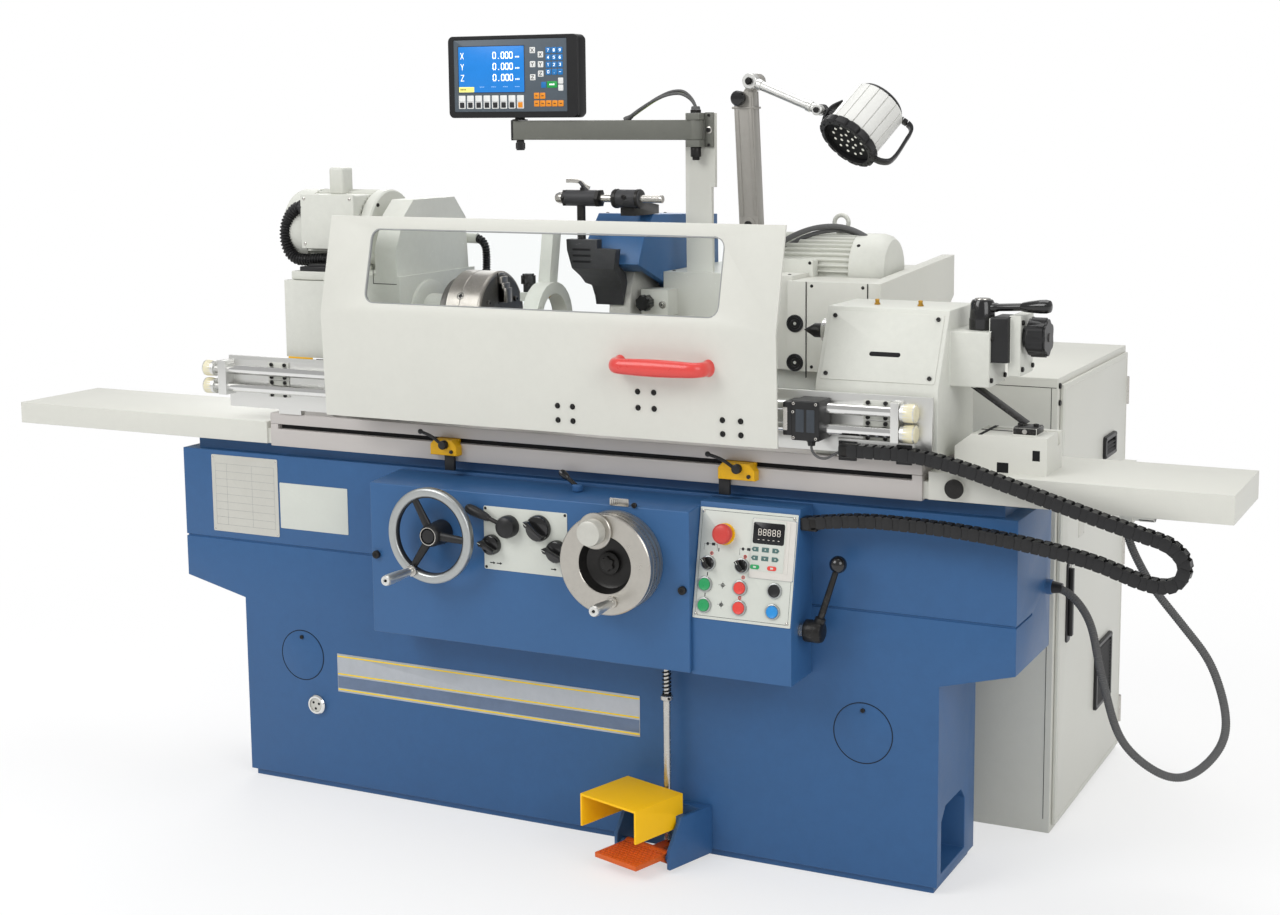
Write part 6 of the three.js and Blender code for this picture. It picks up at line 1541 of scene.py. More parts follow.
@dataclass
class Panel:
    """The leaning operator panel: plate, marks, keypad, push buttons, selectors and the stop."""

    top: float = 0.0015
    cap: float = 0.012
    buttons: tuple = (
        ("button_green_upper", 0.3661, 0.0695, PRESS_GREEN),
        ("button_green_lower", 0.3675, 0.0288, PRESS_GREEN),
        ("button_red_upper", 0.4406, 0.0693, PRESS_RED),
        ("button_red_lower", 0.4418, 0.0309, PRESS_RED),
        ("button_black", 0.5127, 0.0709, BLACK),
        ("button_blue", 0.5119, 0.0307, PRESS_BLUE),
    )
    selectors: tuple = (("selector_left", 0.3701, 0.1107), ("selector_right", 0.4412, 0.1117))
    stop: tuple = (0.4003, 0.1698)

    def build(self) -> None:
        """Builds the panel and all that is on it."""
        self.plate()
        self.keypad()
        for name, across, up, finish in self.buttons:
            self.button(name, across, up, finish)
        for name, across, up in self.selectors:
            self.selector(name, across, up)
        self.stop_button()

    def plate(self) -> None:
        """The plate with a ruled edge, four screws, chromed bezels and plain marks beside the buttons."""
        s = Shape()
        panel_slab(s, (0.3443, 0.55, 0.003, 0.219), self.top, 0.0003, 0, 0.002)
        for box in (
            (0.3495, 0.5448, 0.0082, 0.009),
            (0.3495, 0.5448, 0.213, 0.2138),
            (0.3495, 0.3501, 0.009, 0.213),
            (0.5442, 0.5448, 0.009, 0.213),
        ):
            panel_slab(s, box, self.top + 0.0003, 0.0001, 1)
        for across, up in ((0.3515, 0.011), (0.5428, 0.011), (0.3515, 0.211), (0.5428, 0.211)):
            flat_screw(s, on_panel(across, up, self.top + 0.0003), PANEL_OUT, 0.0034, 2)
        face = self.top + 0.0003
        seats = [(a, u) for _, a, u, _ in self.buttons] + [(a, u) for _, a, u in self.selectors]
        for across, up in seats:
            rim = [
                (0.0, 0.0155), (0.001, 0.0155), (0.0038, 0.0148), (0.0044, 0.0138), (0.0044, 0.01255),
                (0.0, 0.0125)
            ]
            s.turned(on_panel(across, up, face), PANEL_OUT, rim, 40, 3)
        yellow = [(0.0, 0.0212), (0.0022, 0.0212), (0.0028, 0.0204), (0.0028, 0.012), (0.0, 0.012)]
        s.turned(on_panel(*self.stop, face), PANEL_OUT, yellow, 56, 4)
        for across, up in ((0.3752, 0.1305), (0.4462, 0.1302), (0.4452, 0.0902), (0.4412, 0.0502)):
            s.turned(
                on_panel(across, up, face), PANEL_OUT,
                [(0.0, 0.0036), (0.00015, 0.0036), (0.00015, 0.0022), (0.0, 0.0022)], 24, 5
            )
        for across, up in ((0.3693, 0.0898), (0.3675, 0.049), (0.3895, 0.1385)):
            panel_slab(s, (across - 0.001, across + 0.001, up - 0.0035, up + 0.0035), face, 0.00015, 1)
        for across, up, wide in ((0.372, 0.148, 0.028), (0.4468, 0.1445, 0.026)):
            panel_slab(s, (across - wide / 2, across + wide / 2, up, up + 0.0005), face, 0.00012, 1)
            for end in (-1, 1):
                x = across + end * wide / 2
                panel_slab(s, (x - 0.0003, x + 0.0003, up - 0.012, up), face, 0.00012, 1)
            s.turned(
                on_panel(across - wide / 4, up, face), PANEL_OUT, [(0.0, 0.003), (0.0002, 0.003)], 20, 1
            )
            panel_slab(
                s, (across + 0.002, across + 0.009, up - 0.0025, up + 0.003), face, 0.00018, 1, 0.001
            )
        for across, up in ((0.4035, 0.071), (0.4035, 0.0335)):
            s.turned(
                on_panel(across, up, face), PANEL_OUT,
                [(0.0, 0.004), (0.00015, 0.004), (0.00015, 0.0034), (0.0, 0.0034)], 24, 1
            )
            panel_slab(s, (across - 0.0003, across + 0.0003, up - 0.007, up + 0.007), face, 0.00015, 1)
            panel_slab(s, (across - 0.009, across + 0.006, up - 0.0003, up + 0.0003), face, 0.00015, 1)
        s.made("operator_panel", "bed", PANEL_WHITE, PANEL_INK, TURNED_STEEL, RIM_CHROME, YELLOW, STOP_RED)

    def keypad(self) -> None:
        """The keypad: a case, a black window with lit digits, six keys, a green and a red key."""
        s = Shape()
        x0, x1, u0, u1 = 0.4575, 0.548, 0.0916, 0.2058
        panel_slab(s, (x0, x1, u0, u1), 0.003, 0.0012, 0, 0.003)
        panel_slab(s, (x0 + 0.001, 0.5275, u0 + 0.014, u1 - 0.002), 0.0042, 0.0008, 1, 0.002)
        panel_slab(s, (0.5305, 0.5365, u0 + 0.012, u1 - 0.004), 0.0042, 0.001, 0, 0.001)
        window = rectangle(0.4605, 0.5255, 0.1585, 0.1985, 0.003)
        bulge = 0.003 * np.sign(window[:, 1] - 0.1785) * (1 - ((window[:, 0] - 0.493) / 0.0325) ** 2)
        window[:, 1] = window[:, 1] + bulge
        s.slab(window, on_panel(0, 0, 0.005), RIGHT, PANEL_UP, 0.0006, 0.0002, 2)
        for k in range(5):
            self.digit(s, 0.4745 + 0.0098 * k, 0.1805, 0.0068, 0.0115)
        for k in range(5):
            x = 0.4725 + 0.0105 * k
            panel_slab(s, (x - 0.0018, x + 0.0018, 0.1655, 0.1665), 0.0056, 0.0001, 3)
        for row, up in enumerate((0.147, 0.1302)):
            for column, across in enumerate((0.4668, 0.4885, 0.5103)):
                w, h, tip = 0.0072, 0.0044, 0.0038 * (column - 1)
                key = [
                    (-w + max(-tip, 0), -h), (w - max(tip, 0), -h), (w, 0), (w - max(tip, 0), h),
                    (-w + max(-tip, 0), h), (-w, 0)
                ]
                key = vec(key) + (across, up)
                s.slab(key, on_panel(0, 0, 0.005), RIGHT, PANEL_UP, 0.0009, 0.0003, 4)
                turn = math.radians((180, 90 + 180 * row, 0)[column])
                arrow = vec((across, up)) + 0.0022 * on_circle(turn + spread(3))
                s.slab(arrow, on_panel(0, 0, 0.0059), RIGHT, PANEL_UP, 0.0001, 0.00002, 1)
        for across, slot in ((0.4688, 5), (0.5045, 6)):
            panel_slab(s, (across - 0.0095, across + 0.0095, 0.1085, 0.1172), 0.005, 0.0011, slot, 0.004)
            panel_slab(s, (across - 0.003, across + 0.003, 0.1112, 0.1146), 0.0061, 0.0001, 1)
        case = Finish("keypad_case", 0xD5D2CB, 0.42, grain=Grain.MOULDED, shade=0.95, cloud=30.0)
        lit = Finish("lit_digits", 0xF4EDE2, 0.4, grain=Grain.POLISHED)
        keys = Finish("keypad_keys", 0x4F6E6B, 0.45, grain=Grain.MOULDED, shade=0.92, cloud=40.0)
        window_finish = Finish("keypad_window", 0x17181A, 0.22, grain=Grain.POLISHED, shade=0.8)
        s.made("keypad", "bed", case, PANEL_WHITE, window_finish, lit, keys, PRESS_GREEN, PRESS_RED)

    @staticmethod
    def digit(shape: Shape, across: float, up: float, wide: float, tall: float) -> None:
        """One figure eight of seven lit bars, centred at a point of the panel.

        Args:
            shape: the shape that it is added to.
            across: the centre's place across the panel.
            up: the centre's place up the panel.
            wide: the figure's width.
            tall: its height.
        """
        t, w, h = 0.0011, wide / 2, tall / 2
        bars = [(-w + t, w - t, y - t / 2, y + t / 2) for y in (-h, 0, h)]
        spots = [(x, y) for x in (-w + t / 2, w - t / 2) for y in (-h, 0)]
        bars += [(x - t / 2, x + t / 2, y + 0.0005, y + h - 0.0005) for x, y in spots]
        for x0, x1, y0, y1 in bars:
            box = (across + x0, across + x1, up + y0, up + y1)
            panel_slab(shape, box, 0.0056, 0.0001, 3)

    def button(self, name: str, across: float, up: float, finish: Finish) -> None:
        """A round cap with a shallow dish in its face and a rounded rim.

        Args:
            name: the button's name.
            across: its place across the panel.
            up: its place up the panel.
            finish: its finish.
        """
        r, high = self.cap, 0.0089
        profile = [
            (0.0, r), (high - 0.0015, r), (high - 0.0005, r - 0.0004), (high, r - 0.0013),
            (high - 0.0004, r - 0.0028), (high - 0.0009, 0.5 * r), (high - 0.001, 0.1 * r)
        ]
        s = Shape().turned(on_panel(across, up, -0.0005), PANEL_OUT, profile, 40)
        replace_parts(s.made(name + "_cap", name, finish), name)

    def selector(self, name: str, across: float, up: float) -> None:
        """A selector: a round base and a waisted grip with a white pointer line.

        Args:
            name: the selector's name.
            across: its place across the panel.
            up: its place up the panel.
        """
        s = Shape()
        base = [(0.0, 0.012), (0.0098, 0.012), (0.011, 0.0108), (0.011, 0.001)]
        s.turned(on_panel(across, up, -0.0005), PANEL_OUT, base, 36)
        turn = math.radians(38)
        t = np.linspace(-1, 1, 13)
        half = 0.0028 + 0.0012 * t**2
        side = np.stack([np.concatenate([half, -half[::-1]]), np.concatenate([t, t[::-1]]) * 0.0113], -1)
        s.slab(rotated(side, turn) + (across, up), on_panel(0, 0, 0.0095), RIGHT, PANEL_UP, 0.0135, 0.0012)
        line = rotated(rectangle(-0.0006, 0.0006, 0.003, 0.0098), turn)
        s.slab(line + (across, up), on_panel(0, 0, 0.023), RIGHT, PANEL_UP, 0.0002, 0.00005, 1)
        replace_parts(s.made(name + "_knob", name, GLOSS_BLACK, PANEL_WHITE), name)

    def stop_button(self) -> None:
        """The stop: a mushroom head with a slightly domed face on a short neck."""
        profile = [
            (0.0, 0.009), (0.0135, 0.009), (0.014, 0.0175), (0.0148, 0.0195), (0.017, 0.02),
            (0.0225, 0.0198), (0.0258, 0.0188), (0.0278, 0.0168), (0.0288, 0.0135), (0.0294, 0.007),
            (0.0296, 0.001)
        ]
        s = Shape().turned(on_panel(*self.stop, -0.0035), PANEL_OUT, profile, 56)
        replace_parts(s.made("stop_mushroom", "emergency_stop", STOP_RED), "emergency_stop")


def machine_grip(name: str, node_name: str, start: tuple, length: float, radius: float) -> None:
    """A revolving grip: a tapered barrel with a waist and a screw in its end.

    Args:
        name: the piece's name.
        node_name: the solid that it stands for, which is also its body.
        start: where it leaves the wheel, running towards the operator.
        length: how long it is.
        radius: its largest radius.
    """
    share = np.array((0, 0.07, 0.08, 0.1, 0.14, 0.3, 0.5, 0.7, 0.85, 0.93, 0.97, 1.0, 1.0, 0.985, 0.985))
    width = np.array(
        (0.55, 0.55, 0.62, 0.72, 0.76, 0.82, 0.92, 0.99, 1.0, 0.99, 0.93, 0.82, 0.42, 0.42, 0.02)
    )
    s = Shape().turned(start, TOWARDS, np.stack([share * length, width * radius], -1), 32)
    tip = vec(start) + vec(TOWARDS) * length * 0.984
    s.turned(tip, TOWARDS, [(0.0, 0.3 * radius), (0.0012, 0.27 * radius)], 6, 1)
    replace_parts(s.made(name, node_name, ALUMINIUM, RECESS_SHADE_AND_MARKS), node_name)


@dataclass
class Handwheels:
    """The two handwheels with their grips, and the fine-feed knob."""

    face: float = -0.2253

    def build(self) -> None:
        """Builds both wheels."""
        self.table_wheel()
        self.crossfeed_wheel()
        machine_grip("table_wheel_grip", "table_handwheel_grip", (-0.263, -0.2833, 0.574), 0.0917, 0.0115)
        machine_grip("crossfeed_wheel_grip", "crossfeed_grip", (0.204, -0.2903, 0.559), 0.0717, 0.0115)
        self.fine_knob()

    def table_wheel(self) -> None:
        """A satin rim of rounded square section, three tapered spokes and a hub with a bright ring."""
        s = Shape()
        x, y, z, radius = -0.222, -0.2683, 0.649, 0.09
        a = spread(96)
        out = np.stack([np.cos(a), np.zeros(96), np.sin(a)], -1)
        section = rectangle(-0.0095, 0.0095, -0.0095, 0.0095, 0.006, 5)
        middle = vec((x, y, z))
        grid = middle + (radius + section[:, 0])[None, :, None] * out[:, None]
        grid = grid + section[None, :, 1:] * vec(AWAY)
        n = len(section)
        grid = np.concatenate([grid, grid[:1]])
        s.add(grid, grid_faces(97, n))
        for angle in (117.0, 237.0, 357.0):
            t = math.radians(angle)
            way = vec((math.cos(t), 0.0, math.sin(t)))
            path = middle + np.linspace(0.016, radius - 0.006, 9)[:, None] * way
            path[:, 1] += 0.004 * np.linspace(1, 0, 9)
            wide = np.linspace(0.0098, 0.0072, 9)
            side = np.cross(AWAY, way)
            ring = circle(1.0, 20)
            flat = ring[:, 0, None] * side[None], ring[:, 1, None] * vec((0.0, 0.72, 0.0))[None]
            spoke = path[:, None] + wide[:, None, None] * (flat[0] + flat[1])[None]
            s.add(spoke, tube_faces(9, 20), 1)
        hub = [
            (0.0, 0.0255), (0.003, 0.0255), (0.03, 0.024), (0.046, 0.0235), (0.052, 0.0215),
            (0.0545, 0.0185), (0.053, 0.0165), (0.051, 0.001)
        ]
        s.turned((x, self.face, z), TOWARDS, hub, 48, 1)
        s.turned(
            (x, self.face - 0.053, z), TOWARDS,
            [(0.0, 0.0188), (0.0016, 0.0188), (0.0018, 0.0172), (0.0, 0.0172)], 48, 2
        )
        s.turned(
            (x, self.face - 0.0505, z), TOWARDS, [(0.0, 0.0145), (0.0035, 0.014), (0.004, 0.001)], 32, 1
        )
        s.turned((-0.263, -0.2783, 0.574), TOWARDS, barrel(0.0, 0.005, 0.012, 0.0015), 32, 2)
        band = vec(((0.082, -0.006), (0.0786, -0.0045), (0.0786, 0.0045), (0.082, 0.006)))
        ring = middle + band[:, 0][None, :, None] * out[:, None]
        ring = ring + band[None, :, 1:] * vec(AWAY)
        s.add(np.concatenate([ring, ring[:1]]), grid_faces(97, 4), 1)
        wheel = s.made("table_wheel", "table_handwheel", RIM_CHROME, BLACK, TURNED_STEEL)
        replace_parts(wheel, "table_handwheel")

    def crossfeed_wheel(self) -> None:
        """A turned drum with three ring grooves, graduation lines, a dark dish and a star knob in it."""
        s = Shape()
        x, z, r = 0.188, 0.631, 0.1
        back, front = 0.0, 0.06
        side = [
            (back, r - 0.004), (0.004, r - 0.001), (0.014, r - 0.001), (0.0145, r - 0.004),
            (0.018, r - 0.004), (0.0185, r - 0.0005), (0.029, r - 0.0005), (0.0295, r - 0.0035),
            (0.033, r - 0.0035), (0.0335, r), (0.044, r), (0.0445, r - 0.002), (0.047, r - 0.002),
            (0.0475, r), (front - 0.002, r), (front, r - 0.002), (front, 0.0585), (front - 0.001, 0.0575)
        ]
        s.turned((x, self.face, z), TOWARDS, [*side, (front - 0.002, 0.0574), (front - 0.0246, 0.0574)], 96)
        dish = [
            (front - 0.0012, 0.0573), (front - 0.02, 0.05), (front - 0.0235, 0.044), (front - 0.024, 0.001)
        ]
        turned = vec(dish)
        ring = spokes(spread(96), TOWARDS)
        along, size = turned[:, 0, None, None], turned[:, 1, None, None]
        grid = vec((x, self.face, z)) + along * vec(TOWARDS) + size * ring[None]
        s.add(grid, [f[::-1] for f in grid_faces(4, 96)], 1)
        star = fluted(0.0155, 0.0035, 6, 72)
        s.slab(star, (x, self.face - 0.036, z), RIGHT, UP, 0.015, 0.002, 1)
        s.turned(
            (x, self.face - 0.036, z), TOWARDS,
            [(0.0, 0.0235), (0.006, 0.0225), (0.008, 0.018), (0.008, 0.001)], 48, 1
        )
        for k in range(100):
            t = 2 * math.pi * k / 100
            way = vec((math.cos(t), 0.0, math.sin(t)))
            long = 0.008 if k % 10 == 0 else 0.005
            start = vec((x, self.face - 0.0345, z)) + way * (r + 0.00004)
            cross = np.cross(TOWARDS, way)
            line = vec(((-0.0003, 0.0), (0.0003, 0.0), (0.0003, long), (-0.0003, long)))
            pts = start + line[:, :1] * cross + line[:, 1:] * vec(TOWARDS)
            s.add(
                np.concatenate([pts, pts + way * 0.00012]),
                [(0, 1, 2, 3), (7, 6, 5, 4), (0, 4, 5, 1), (1, 5, 6, 2), (2, 6, 7, 3), (3, 7, 4, 0)], 2
            )
        s.turned((0.204, -0.2853, 0.559), TOWARDS, barrel(0.0, 0.005, 0.0118, 0.0012), 32)
        wheel = s.made("crossfeed_wheel", "crossfeed_handwheel", DRUM_METAL, BLACK_OXIDE, PANEL_INK)
        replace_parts(wheel, "crossfeed_handwheel")

    def fine_knob(self) -> None:
        """The fine-feed knob: a thin flange and a smooth round cap in front of it."""
        s = Shape()
        start = (0.17, -0.2856, 0.698)
        flange = [(0.0, 0.0352), (0.0008, 0.036), (0.0056, 0.036), (0.007, 0.0346), (0.007, 0.001)]
        s.turned(start, TOWARDS, flange, 72)
        cap = [
            (0.007, 0.025), (0.008, 0.026), (0.0285, 0.0257), (0.0318, 0.0246), (0.0328, 0.023),
            (0.033, 0.001)
        ]
        s.turned(start, TOWARDS, cap, 72, 1)
        knob = s.made("fine_knob", "fine_feed_knob", DRUM_METAL, PLATE_METAL)
        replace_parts(knob, "fine_feed_knob")


@dataclass
class Levers:
    """Pointer knobs, ball levers and the small reversing lever."""

    face: float = -0.2253
    pointers: tuple = (
        ("pointer_knob_upper", 0.009, 0.677, 0.027, 35.0),
        ("pointer_knob_left", -0.102, 0.633, 0.021, 25.0),
        ("pointer_knob_right", 0.05, 0.633, 0.023, 20.0),
    )

    def build(self) -> None:
        """Builds every knob and lever of the apron and the control box."""
        for name, x, z, radius, lean in self.pointers:
            self.pointer(name, x, z, radius, lean)
        self.ball_lever()
        self.reversing_lever()
        self.feed_lever()

    def pointer(self, name: str, x: float, z: float, radius: float, lean: float) -> None:
        """A round knob with a wedge-shaped bar across it that points up to the left.

        Args:
            name: the knob's name.
            x: its axis along the table.
            z: its axis' height.
            radius: its radius.
            lean: how far the bar leans, in degrees.
        """
        s = Shape()
        body = [
            (0.0, radius), (0.009, radius), (0.0125, 0.93 * radius), (0.014, 0.8 * radius), (0.014, 0.001)
        ]
        s.turned((x, self.face, z), TOWARDS, body, 48)
        turn = math.radians(180 - lean)
        along = np.linspace(-1, 1, 15)
        half = 0.0052 + 0.0022 * along - 0.0105 * np.clip(along - 0.72, 0, 1) / 0.28 * 0.62
        bar = np.stack(
            [np.concatenate([along, along[::-1]]) * 0.98 * radius, np.concatenate([-half, half[::-1]])], -1
        )
        s.slab(rotated(bar, turn) + (x, z), (0, self.face - 0.0125, 0), RIGHT, UP, 0.019, 0.003)
        mark = vec(((0.55, -0.0006), (0.93, -0.0006), (0.93, 0.0006), (0.55, 0.0006))) * (radius, 1)
        s.slab(rotated(mark, turn) + (x, z), (0, self.face - 0.0315, 0), RIGHT, UP, 0.0002, 0.00005, 1)
        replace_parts(s.made(name + "_grip", name, GLOSS_BLACK, PANEL_WHITE), name)

    def ball_lever(self) -> None:
        """A domed hub with a dark lever that ends in a long black grip."""
        s = Shape()
        x, z = -0.06, 0.675
        hub = [
            (0.0, 0.0225), (0.004, 0.023), (0.016, 0.023), (0.0225, 0.0205), (0.026, 0.015), (0.027, 0.001)
        ]
        s.turned((x, self.face, z), TOWARDS, hub, 48)
        start, tip = vec((-0.068, -0.2395, 0.678)), vec((-0.148, -0.238, 0.706))
        way = unit(tip - start)
        s.turned(start, way, [(0.0, 0.0045), (0.032, 0.0045), (0.034, 0.0062), (0.038, 0.0062)], 24, 1)
        grip = [
            (0.036, 0.006), (0.04, 0.0078), (0.055, 0.0095), (0.075, 0.0108), (0.086, 0.0098),
            (0.0915, 0.006), (0.093, 0.001)
        ]
        s.turned(start, way, grip, 28)
        piece = s.made("ball_lever_grip", "ball_lever_knob", BLACK, BLACK_OXIDE)
        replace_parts(piece, "ball_lever_knob")

    def reversing_lever(self) -> None:
        """A short turned post with a thin arm and a small oval grip."""
        s = Shape()
        low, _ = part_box("reversing_lever")
        start = vec((0.06, -0.157, low.z))
        s.turned(
            start, UP,
            [(0.0, 0.0105), (0.001, 0.011), (0.0115, 0.011), (0.0135, 0.009), (0.0138, 0.001)], 36, 1
        )
        foot, tip = start + (0.0, 0.0, 0.008), vec((0.025, -0.157, 0.778))
        way = unit(tip - foot)
        reach = float(np.linalg.norm(tip - foot))
        s.turned(foot, way, [(0.0, 0.0045), (reach - 0.012, 0.0045), (reach - 0.011, 0.006)], 20)
        s.turned(
            foot, way,
            [
                (reach - 0.016, 0.0055), (reach - 0.01, 0.0075), (reach, 0.0082), (reach + 0.005, 0.0062),
                (reach + 0.0078, 0.001)
            ],
            24
        )
        piece = s.made("reversing_lever_arm", "reversing_lever", GLOSS_BLACK, BLUE_SMOOTH)
        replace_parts(piece, "reversing_lever")

    def feed_lever(self) -> None:
        """A dark hub on a bright spindle, a round arm and a large glossy ball."""
        s = Shape()
        y, z = -0.17, 0.515
        s.turned((0.5523, y, z), RIGHT, [(0.0, 0.0135), (0.014, 0.0135), (0.014, 0.012)], 32, 1)
        hub = [
            (0.01, 0.0195), (0.0115, 0.0215), (0.014, 0.022), (0.04, 0.022), (0.0455, 0.0195),
            (0.0477, 0.015), (0.0477, 0.001)
        ]
        s.turned((0.5523, y, z), RIGHT, hub, 48)
        start, ball = vec((0.585, y, z)), vec((0.625, -0.16, 0.648))
        way = unit(ball - start)
        reach = float(np.linalg.norm(ball - start))
        s.turned(
            start, way,
            [
                (0.0, 0.012), (0.028, 0.0105), (0.03, 0.0068), (reach - 0.016, 0.0058),
                (reach - 0.015, 0.0075), (reach - 0.01, 0.0075)
            ],
            28
        )
        a = np.linspace(-0.49 * np.pi, 0.49 * np.pi, 17)
        s.turned(ball, way, np.stack([0.017 * np.sin(a), 0.017 * np.cos(a)], -1), 36, 2)
        piece = s.made("feed_lever", "feed_ball_lever", BLACK_OXIDE, TURNED_STEEL, GLOSS_BLACK)
        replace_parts(piece, "feed_ball_lever")


# Table, trays, dogs, rails and door


def disc(
    shape: Shape,
    place: Numbers,
    out: Numbers,
    radius: float,
    thick: float,
    slot: int = 0,
    sides: int = 32,
) -> None:
    """A short turned disc with a rounded front rim.

    Args:
        shape: the shape that it is added to.
        place: the middle of its back.
        out: the direction in which it stands out.
        radius: its radius.
        thick: its thickness.
        slot: the material slot.
        sides: how many faces go round.
    """
    e = min(0.35 * thick, 0.3 * radius)
    profile = [(0.0, radius), (thick - e, radius), (thick - 0.3 * e, radius - 0.3 * e), (thick, radius - e)]
    shape.turned(place, out, [*profile, (thick, 0.001)], sides, slot)


def screws(
    name: str,
    body: str,
    places: Numbers,
    out: Numbers,
    radius: float,
    finish: Finish = BLACK_OXIDE,
) -> None:
    """One piece of several socket-head screws that face the same way.

    Args:
        name: the piece's name.
        body: the body that it rides on.
        places: where the heads sit.
        out: the direction that they face.
        radius: a head's radius.
        finish: their finish.
    """
    s = Shape()
    for place in places:
        cap_screw(s, place, out, radius)
    s.made(name, body, finish, RECESS_SHADE_AND_MARKS)


@dataclass
class Table:
    """The two tables, the way guards, the dogs and the rails of the splash door."""

    rail_y: float = -0.15
    rails: tuple = (0.946, 0.907)

    def build(self) -> None:
        """Builds the table and what rides on it."""
        rounded("lower_table", TABLE_IRON, 0.0012, "lower_table")
        rounded("upper_table", TABLE_IRON, 0.0012, "upper_table")
        rounded("way_guard_left", WHITE, 0.0015, "lower_table")
        rounded("way_guard_right", WHITE, 0.0015, "lower_table")
        self.slot_shadow()
        self.dogs()
        self.rail_set()
        self.safety_switch()
        self.tray_details()

    def slot_shadow(self) -> None:
        """A near-black strip in the T-slot: painted shadow in the slot."""
        s = Shape()
        # painted shadow: a thin near-black box at the back of the slot
        s.box((-0.706, -0.1172, 0.8163), (0.759, -0.116, 0.8266), 0.0002, 1)
        s.made("table_slot_painted_shadow", "lower_table", RECESS_SHADE_AND_MARKS)

    def dogs(self) -> None:
        """Yellow cast dogs with a black lever, its hub and screw, and a trip finger below."""
        for node_name, left, right, finger in (
            ("table_dog_left", -0.296, -0.231, -0.256),
            ("table_dog_right", 0.369, 0.448, 0.378),
        ):
            s = Shape()
            mid = (left + right) / 2
            block = [
                (left, 0.7925), (right, 0.7925), (right, 0.812), (right - 0.012, 0.8262),
                (left + 0.01, 0.8262), (left, 0.815)
            ]
            s.slab(block, (0, -0.1303, 0), RIGHT, UP, 0.0215, 0.003)
            s.box((left + 0.008, -0.1295, 0.8165), (right - 0.008, -0.1205, 0.8262), 0.0006, 1)
            s.box((finger - 0.012, -0.1408, 0.7595), (finger + 0.012, -0.1332, 0.797), 0.0015, 2, 1)
            cap_screw(s, (right - 0.012, -0.1518, 0.8015), TOWARDS, 0.004, 1, 1)
            hub = vec((mid + 0.004, -0.1518, 0.816))
            disc(s, hub, TOWARDS, 0.0095, 0.0125, 1)
            tip = vec((left - 0.016, -0.1618, 0.842))
            path = smooth_path([hub + (0, -0.009, 0), (hub + tip) / 2 + (0, -0.0035, 0.004), tip], 14)
            s.bar(path, 0.0034, 12, 1)
            a = np.linspace(-0.48 * np.pi, 0.48 * np.pi, 11)
            s.turned(tip, tip - hub, np.stack([0.0055 * np.sin(a), 0.0055 * np.cos(a)], -1), 20, 1)
            piece = s.made(node_name + "_cast", node_name, DOG_YELLOW, BLACK)
            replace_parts(piece, node_name)

    def rail_set(self) -> None:
        """Two chromed rails with cream bumpers, their blocks and feet, and the carrier plate."""
        rounded("rail_frame", ALUMINIUM, 0.001, "upper_table")
        s = Shape()
        for z in self.rails:
            s.turned((-0.8805, self.rail_y, z), RIGHT, barrel(0.0, 1.654, 0.0104, 0.001), 32)
            for x, way in ((-0.8825, 1), (0.7755, -1)):
                cup = [
                    (0.0, 0.0142), (0.002, 0.0172), (0.006, 0.0176), (0.023, 0.0174), (0.0275, 0.0155),
                    (0.0285, 0.0108)
                ]
                s.turned((x, self.rail_y, z), (way, 0, 0), cup, 32, 1)
        s.made("door_rails", "upper_table", CHROME, CREAM)
        b = Shape()
        for x0, x1 in ((-0.722, -0.667), (0.665, 0.72)):
            for z in self.rails:
                b.box((x0, -0.1375, z - 0.0185), (x1, -0.1343, z + 0.0185), 0.001, 2)
        for x0, x1 in ((0.62, 0.656), (0.735, 0.7655)):
            b.box((x0, -0.149, 0.848), (x1, -0.1438, 0.885), 0.001, 2, 1)
        b.made("rail_clamps", "upper_table", WHITE_CAST, BLACK)
        places = [
            (x, -0.1376, z + dz)
            for x in (-0.712, -0.677, 0.675, 0.71)
            for z in self.rails
            for dz in (-0.014, 0.014)
        ]
        screws("rail_screws", "upper_table", places, TOWARDS, 0.0042)

    def safety_switch(self) -> None:
        """The door switch: a case with a head at its left, screws, blank plates and a cable gland."""
        s = Shape()
        s.box((0.543, -0.1975, 0.8885), (0.5995, -0.1345, 0.9645), 0.003, 3)
        s.box((0.5255, -0.196, 0.897), (0.545, -0.14, 0.961), 0.002, 2)
        s.box((0.5262, -0.1976, 0.9065), (0.5352, -0.1945, 0.9505), 0.001, 1, 1)
        for x, z in ((0.5485, 0.894), (0.5935, 0.894), (0.5485, 0.959), (0.5935, 0.959), (0.5475, 0.943)):
            cap_screw(s, (x, -0.1975, z), TOWARDS, 0.003, 1, 2)
        for x0, x1 in ((0.5525, 0.569), (0.5745, 0.5905)):
            s.slab(rectangle(x0, x1, 0.905, 0.948, 0.0015), (0, -0.1975, 0), RIGHT, UP, 0.0005, 0.0002, 3)
        s.turned(
            (0.572, -0.166, 0.8885), DOWN,
            [(0.0, 0.01), (0.006, 0.01), (0.006, 0.0085), (0.0135, 0.0075)], 6
        )
        finishes = (BLACK, TURNED_STEEL, RECESS_SHADE_AND_MARKS, CASE_GREY)
        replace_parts(s.made("door_switch", "upper_table", *finishes), "safety_switch")
        route = [
            (0.572, -0.166, 0.8755), (0.5722, -0.166, 0.87), (0.5745, -0.1655, 0.863),
            (0.58, -0.1645, 0.8562), (0.587, -0.163, 0.8523), (0.595, -0.1615, 0.851),
            (0.603, -0.1602, 0.8526), (0.6105, -0.1592, 0.857), (0.619, -0.1583, 0.862),
            (0.629, -0.158, 0.867)
        ]
        hung_cable("switch_cable", "upper_table", route, 0.0024, RUBBER, (120, 100))

